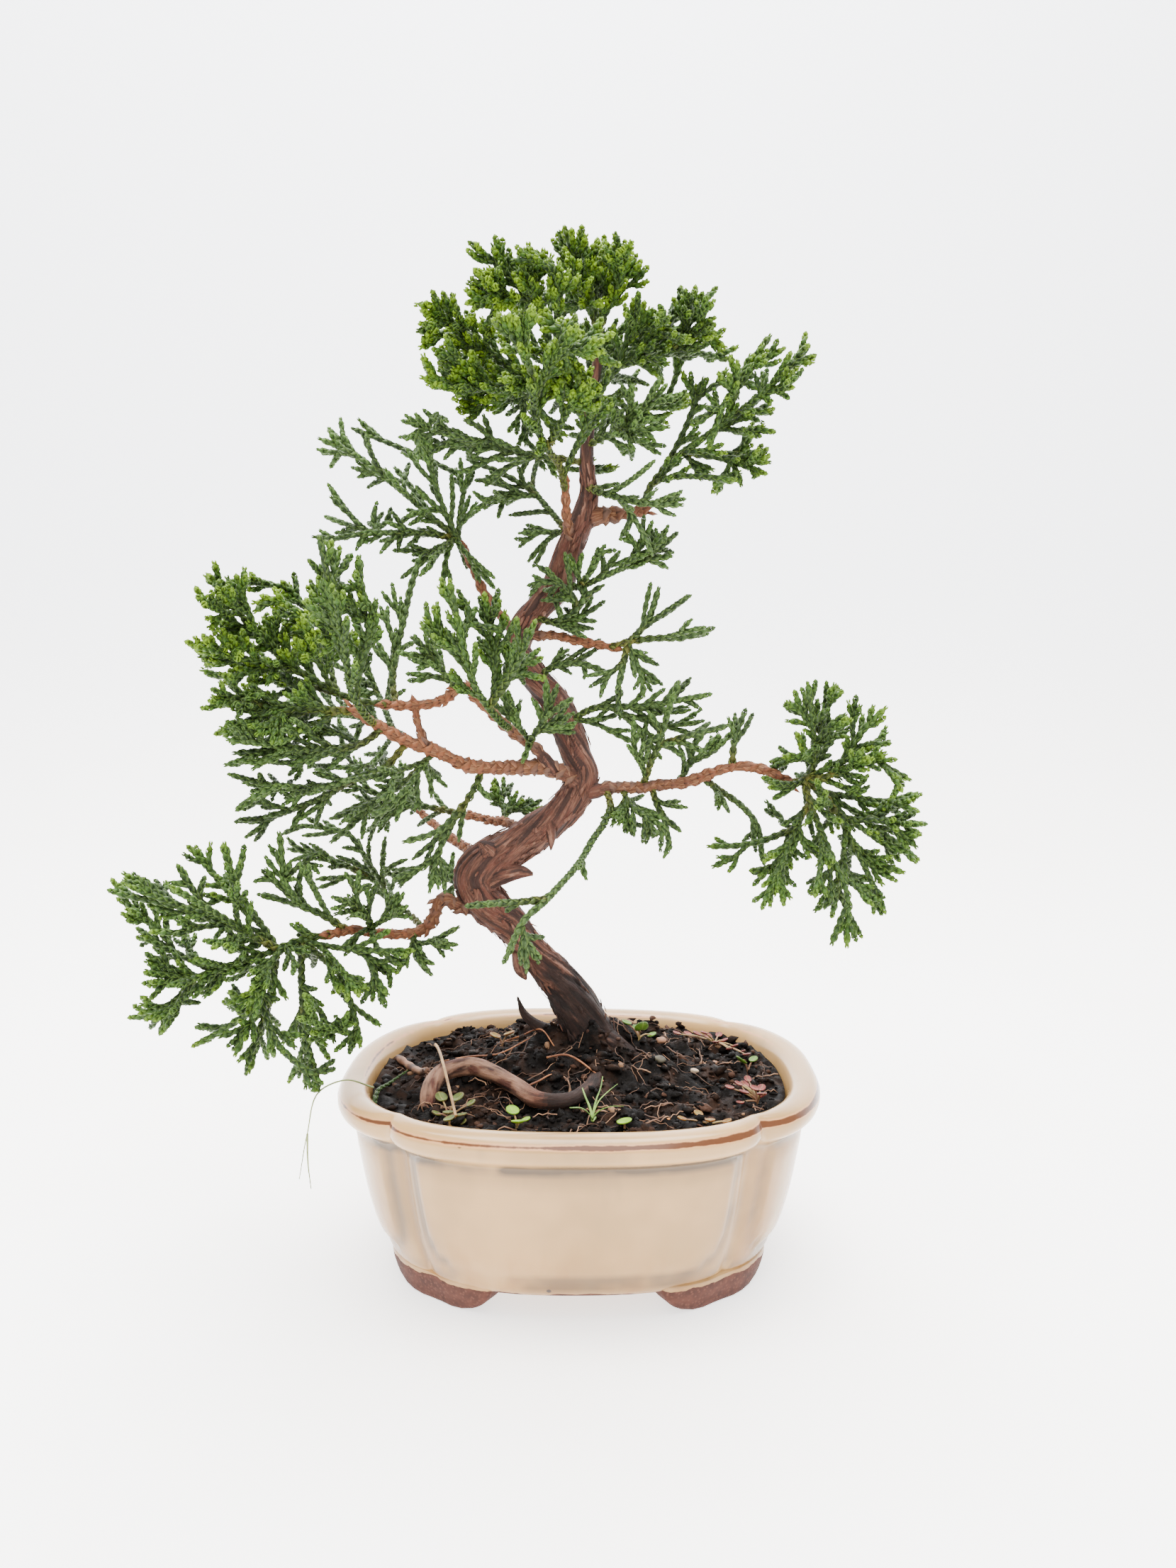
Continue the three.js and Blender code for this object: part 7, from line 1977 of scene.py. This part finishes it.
class BONSAI_OT_grass(bpy.types.Operator):
    """Grow the tuft of grass, and the thin blade that hangs over the rim"""

    bl_idname = "bonsai.grass"
    bl_label = "Grass"

    def execute(self, context):
        x, y = TUFT_ROOT
        lines = []
        for blade in TUFT_BLADES:
            points = [over_soil(x, y, STALK_FOOT), over_soil(x, y, 0.6)]
            points += [over_soil(x + dx, y + dy, height) for dx, dy, height in blade]
            lines.append(tapered(points, 0.55))
        green = fibre_finish("grass_green", linear(84, 116, 48), linear(128, 160, 74))
        piece("grass_blades", flattened(tubes(lines, 1), 0.4), [green], ["grass_tuft"])
        hanging = flattened(tubes([tapered(blade, 0.36) for blade in HANGING_BLADES], 1), 0.5)
        dry = fibre_finish("grass_thin", linear(120, 128, 82), linear(150, 158, 104))
        piece("grass_hanging", hanging, [dry])
        return {"FINISHED"}


# Loose things: points are x, y, height over the soil
TWIG_POINTS = [(-60.4, 13, 1.4), (-55, 4.4, 1.5), (-50, -5, 2.4), (-47, -11.4, 5.4)]
STRAW_POINTS = [(-50, 28, 0.6), (-46.4, 10, 4.4), (-40.4, -20.6, 8.2), (-34, -46, 4.8)]
ROOTLETS = [
    [(-16.5, -20, 1.6), (-12, -19, 2.4), (-8, -17, 2.2), (-5.4, -16, 1.2)],
    [(-27, 20, 1.2), (-20, 14, 2.6), (-12, 6, 2), (-8, 0, 1)],
    [(-44, 6, 1.4), (-36, 8, 2.8), (-26, 4, 2.6), (-16, 6, 1.6)],
    [(-10, -8, 1.4), (-4, -10, 3), (4, -14, 2.4), (10, -20, 1)],
]
FALLEN_CORD = [(-60, -31, 3), (-60.4, -22, 2.8), (-58.6, -12, 2.2), (-55, -3, 1.6)]
PEBBLE_SEED = 200
PEBBLES = [  # x, y, height, size, colour number
    (26.6, 8, 3.0, 3.4, 0), (25.4, -4, 1.6, 4.2, 1), (36.5, -4, 2.2, 2.6, 2), (44, 8, 1.4, 2.2, 0),
    (-12, -48, 0.9, 1.7, 2), (30, -20, 0.8, 1.5, 2), (-24, 28, 1.4, 2.4, 1), (26.5, -36, 0.9, 1.1, 3),
]


def laid(rows):
    return [over_soil(*row) for row in rows]


def bark_chip(spot, size, seed):
    """A rounded piece of bark or stone with an uneven face."""
    bm = bmesh.new()
    bmesh.ops.create_icosphere(bm, subdivisions=3, radius=1)
    mesh = mesh_from(bm)
    ball = read(mesh)
    bumps = 1 + 0.16 * ripple(ball * 1.6, seed) + 0.06 * ripple(ball * 5, seed + 1)
    shape = ball * bumps[:, None] * np.array([1, 0.8, 0.62]) * size / 2
    write(mesh, home(shape + np.asarray(spot)))
    return mesh


def frayed_end(points, radius, draw, count=16):
    """Thin fibres that stand out from a twig's broken end."""
    end, before = np.array(points[-1], float), np.array(points[-2], float)
    way = unit(end - before)
    lines = []
    for _ in range(count):
        start = end - way * draw.uniform(0.5, 2.5) + draw.normal(0, radius * 0.4, 3)
        stop = start + way * draw.uniform(1.6, 3.6) + draw.normal(0, 0.7, 3)
        lines.append(tapered([start, mix(start, stop, 0.5) + draw.normal(0, 0.2, 3), stop], 0.2, 0.6))
    return lines


class BONSAI_OT_litter(bpy.types.Operator):
    """Lay the broken twig, the straw, dead roots, bark chips and a fallen cord on the soil"""

    bl_idname = "bonsai.litter"
    bl_label = "Litter"

    def execute(self, context):
        draw = np.random.default_rng(41)
        twig_points = laid(TWIG_POINTS)
        twig = tapered(twig_points, 1.25, 0.6, 0.8)
        twig[:, 3] *= 1 + 0.12 * ripple(twig[:, :3] / 2, 7)
        brown = fibre_finish("twig_brown", linear(70, 46, 34), linear(134, 94, 66))
        twig = tubes([twig, *frayed_end(twig_points, 1.1, draw)], 2)
        piece("twig_dead", twig, [brown], ["twig_broken"])
        straw = tubes([tapered(laid(STRAW_POINTS), 0.55, 0.8, 0.75)], 2)
        gold = fibre_finish("straw_gold", linear(120, 88, 52), linear(168, 132, 84))
        piece("straw_dry", straw, [gold], ["straw_stem"])
        orange = fibre_finish("rootlet_orange", linear(104, 60, 34), linear(156, 98, 58))
        rootlets = tubes([tapered(laid(rows), 0.38, 0.6, 0.5) for rows in ROOTLETS], 1)
        piece("rootlets", rootlets, [orange])
        fallen = ScaleCoat()
        fallen.cover(tapered(laid(FALLEN_CORD), 0.85), SCALE_PITCH, draw, 0.3, 0.5)
        piece("cord_fallen", fallen.mesh(), [bpy.data.materials["scale_leaves"]])
        finishes = [
            fibre_finish("chip_brown", linear(96, 64, 46), linear(140, 100, 74)),
            fibre_finish("chip_dark", linear(44, 40, 30), linear(70, 64, 46)),
            fibre_finish("chip_tan", linear(150, 124, 98), linear(188, 164, 136)),
            fibre_finish("grain_orange", linear(166, 92, 40), linear(206, 134, 72)),
        ]
        chips = []
        for number, (*place, size, colour) in enumerate(PEBBLES):
            chips.append(paint_faces(bark_chip(over_soil(*place), size, PEBBLE_SEED + number), colour))
        piece("chips", joined(chips), finishes)
        return {"FINISHED"}


# Drain meshes under the soil


class BONSAI_OT_drain_meshes(bpy.types.Operator):
    """Give the plastic meshes over the drain holes their finish"""

    bl_idname = "bonsai.drain_meshes"
    bl_label = "Drain meshes"

    def execute(self, context):
        make = Finish("mesh_plastic", roughness=0.5)
        grain = make.noise(make.spots(), 300, 3)
        make.set("Base Color", make.tint(linear(28, 32, 28), linear(44, 50, 42), grain, 0.3, 0.7))
        make.set("Normal", make.bump(grain, 0.3, 0.0001))
        for name in ("drain_mesh_left", "drain_mesh_right"):
            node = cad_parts[name]
            node.data.materials.clear()
            node.data.materials.append(make.material)
        return {"FINISHED"}


# Stage


class StageSettings(bpy.types.PropertyGroup):
    """The floor, the light and the camera."""

    lens: FloatProperty(
        name="Lens", description="Focal length in millimetres", default=26.886, unit="CAMERA",
    )
    pitch: FloatProperty(
        name="Pitch", description="How far the camera looks down", default=math.radians(6.25),
        subtype="ANGLE",
    )
    turn: FloatProperty(
        name="Turn", description="How far the camera is turned to the left", default=math.radians(0.5),
        subtype="ANGLE",
    )
    sky: FloatProperty(name="Sky", description="Strength of the even light", default=0.42)


SENSOR_HEIGHT = 36
SHEET_HALF_WIDTH = 3.0
SHEET_FRONT = -1.6
SHEET_BEND = 0.34  # where the floor starts to rise into the wall
SHEET_RADIUS = 0.22
SHEET_TOP = 2.2
SHEET_ARC = SHEET_RADIUS * math.pi / 2
MIDDLE = (0.0, 0.0, 0.15)
LIGHTS = {  # place, aim, size, power, colour
    "ceiling": ((-0.05, -0.05, 1.3), MIDDLE, 1.2, 82, (1, 1, 1)),
    "front": ((0.05, -1.0, 0.75), MIDDLE, 0.9, 14, (1, 0.99, 0.97)),
    "wall": ((0, 0.2, 1.7), (0, SHEET_BEND + SHEET_RADIUS, 0.7), 1.2, 24, (1, 1, 1)),
}


def sheet_mesh():
    """A floor that turns up into a wall behind the pot."""
    bm = bmesh.new()
    bmesh.ops.create_grid(bm, x_segments=2, y_segments=60, size=1)
    flat = SHEET_BEND - SHEET_FRONT
    for vertex in bm.verts:
        walked = (vertex.co.y + 1) / 2 * (flat + SHEET_ARC + SHEET_TOP)
        if walked < flat:
            y, z = SHEET_FRONT + walked, 0
        elif walked < flat + SHEET_ARC:
            angle = (walked - flat) / SHEET_RADIUS
            y = SHEET_BEND + SHEET_RADIUS * math.sin(angle)
            z = SHEET_RADIUS * (1 - math.cos(angle))
        else:
            y, z = SHEET_BEND + SHEET_RADIUS, SHEET_RADIUS + walked - flat - SHEET_ARC
        vertex.co = (vertex.co.x * SHEET_HALF_WIDTH, y, z)
    return faced_out(bm)


def sheet_finish():
    # Painted light: the sheet glows, brighter on the floor than up the wall
    make = Finish("sheet_glowing_white", roughness=0.6, Emission_Strength=1.2)
    spots = make.spots()
    height = make.part(spots, "Z")
    faint = make.noise(spots, 6, 4)
    floor = make.tint(linear(240, 238, 236), linear(232, 227, 220), faint, 0.4, 0.75, 0.5)
    make.set("Base Color", make.tint(floor, linear(226, 228, 233), height, 0.0, 0.3))
    glow = make.tint((1.4, 1.39, 1.375), (0.98, 0.975, 0.97), height, 0.0, 0.25)
    make.set("Emission Color", glow)
    return make.material


def area_light(name, spot, aim, size, power, colour):
    light = bpy.data.lights.new(name, "AREA")
    light.size = size
    light.energy = power
    light.color = colour
    lamp = shown(name, light)
    lamp.location = spot
    lamp.rotation_euler = (Vector(aim) - Vector(spot)).to_track_quat("-Z", "Y").to_euler()


class BONSAI_OT_stage(bpy.types.Operator):
    """Set the pale floor and wall, which glow with painted light, the soft lights and the camera"""

    bl_idname = "bonsai.stage"
    bl_label = "Stage"

    def execute(self, context):
        settings = context.scene.bonsai_stage
        sheet = shown("sheet", sheet_mesh())
        sheet.data.materials.append(sheet_finish())
        sheet.data.shade_smooth()
        world = bpy.data.worlds.new("even_light")
        world.use_nodes = True
        sky = world.node_tree.nodes["Background"].inputs
        sky["Color"].default_value = (0.97, 0.985, 1, 1)
        sky["Strength"].default_value = settings.sky
        context.scene.world = world
        for name, light in LIGHTS.items():
            area_light(name, *light)
        camera = bpy.data.cameras.new("camera")
        camera.sensor_fit = "VERTICAL"
        camera.sensor_height = SENSOR_HEIGHT
        camera.lens = settings.lens
        camera.clip_start = 0.01
        view = shown("camera", camera)
        view.location = home(EYE)
        view.rotation_euler = (math.pi / 2 - settings.pitch, 0, settings.turn)
        context.scene.camera = view
        return {"FINISHED"}


OPERATORS = [
    BONSAI_OT_pot, BONSAI_OT_drain_meshes, BONSAI_OT_soil, BONSAI_OT_wood, BONSAI_OT_foliage,
    BONSAI_OT_seedlings, BONSAI_OT_grass, BONSAI_OT_litter, BONSAI_OT_stage,
]
SETTINGS = {
    "bonsai_pot": PotSizes, "bonsai_soil": SoilSizes, "bonsai_wood": WoodSizes,
    "bonsai_foliage": FoliageSizes, "bonsai_stage": StageSettings,
}


class BONSAI_PT_panel(bpy.types.Panel):
    """Lists the steps that make the tree"""

    bl_label = "Bonsai"
    bl_idname = "BONSAI_PT_panel"
    bl_space_type = "VIEW_3D"
    bl_region_type = "UI"
    bl_category = "Bonsai"

    def draw(self, context):
        for operator in OPERATORS:
            self.layout.operator(operator.bl_idname)
        for name, group in SETTINGS.items():
            settings = getattr(context.scene, name)
            for field in group.__annotations__:
                self.layout.prop(settings, field)


def register():
    for kind in (*SETTINGS.values(), *OPERATORS, BONSAI_PT_panel):
        bpy.utils.register_class(kind)
    for name, group in SETTINGS.items():
        setattr(bpy.types.Scene, name, PointerProperty(type=group))


def unregister():
    for name in SETTINGS:
        delattr(bpy.types.Scene, name)
    for kind in (BONSAI_PT_panel, *reversed(OPERATORS), *SETTINGS.values()):
        bpy.utils.unregister_class(kind)


def main():
    register()
    for operator in OPERATORS:
        group, step = operator.bl_idname.split(".")
        if getattr(getattr(bpy.ops, group), step)() != {"FINISHED"}:
            raise RuntimeError(f"{operator.bl_label} wasn't made")


if __name__ == "__main__":
    main()
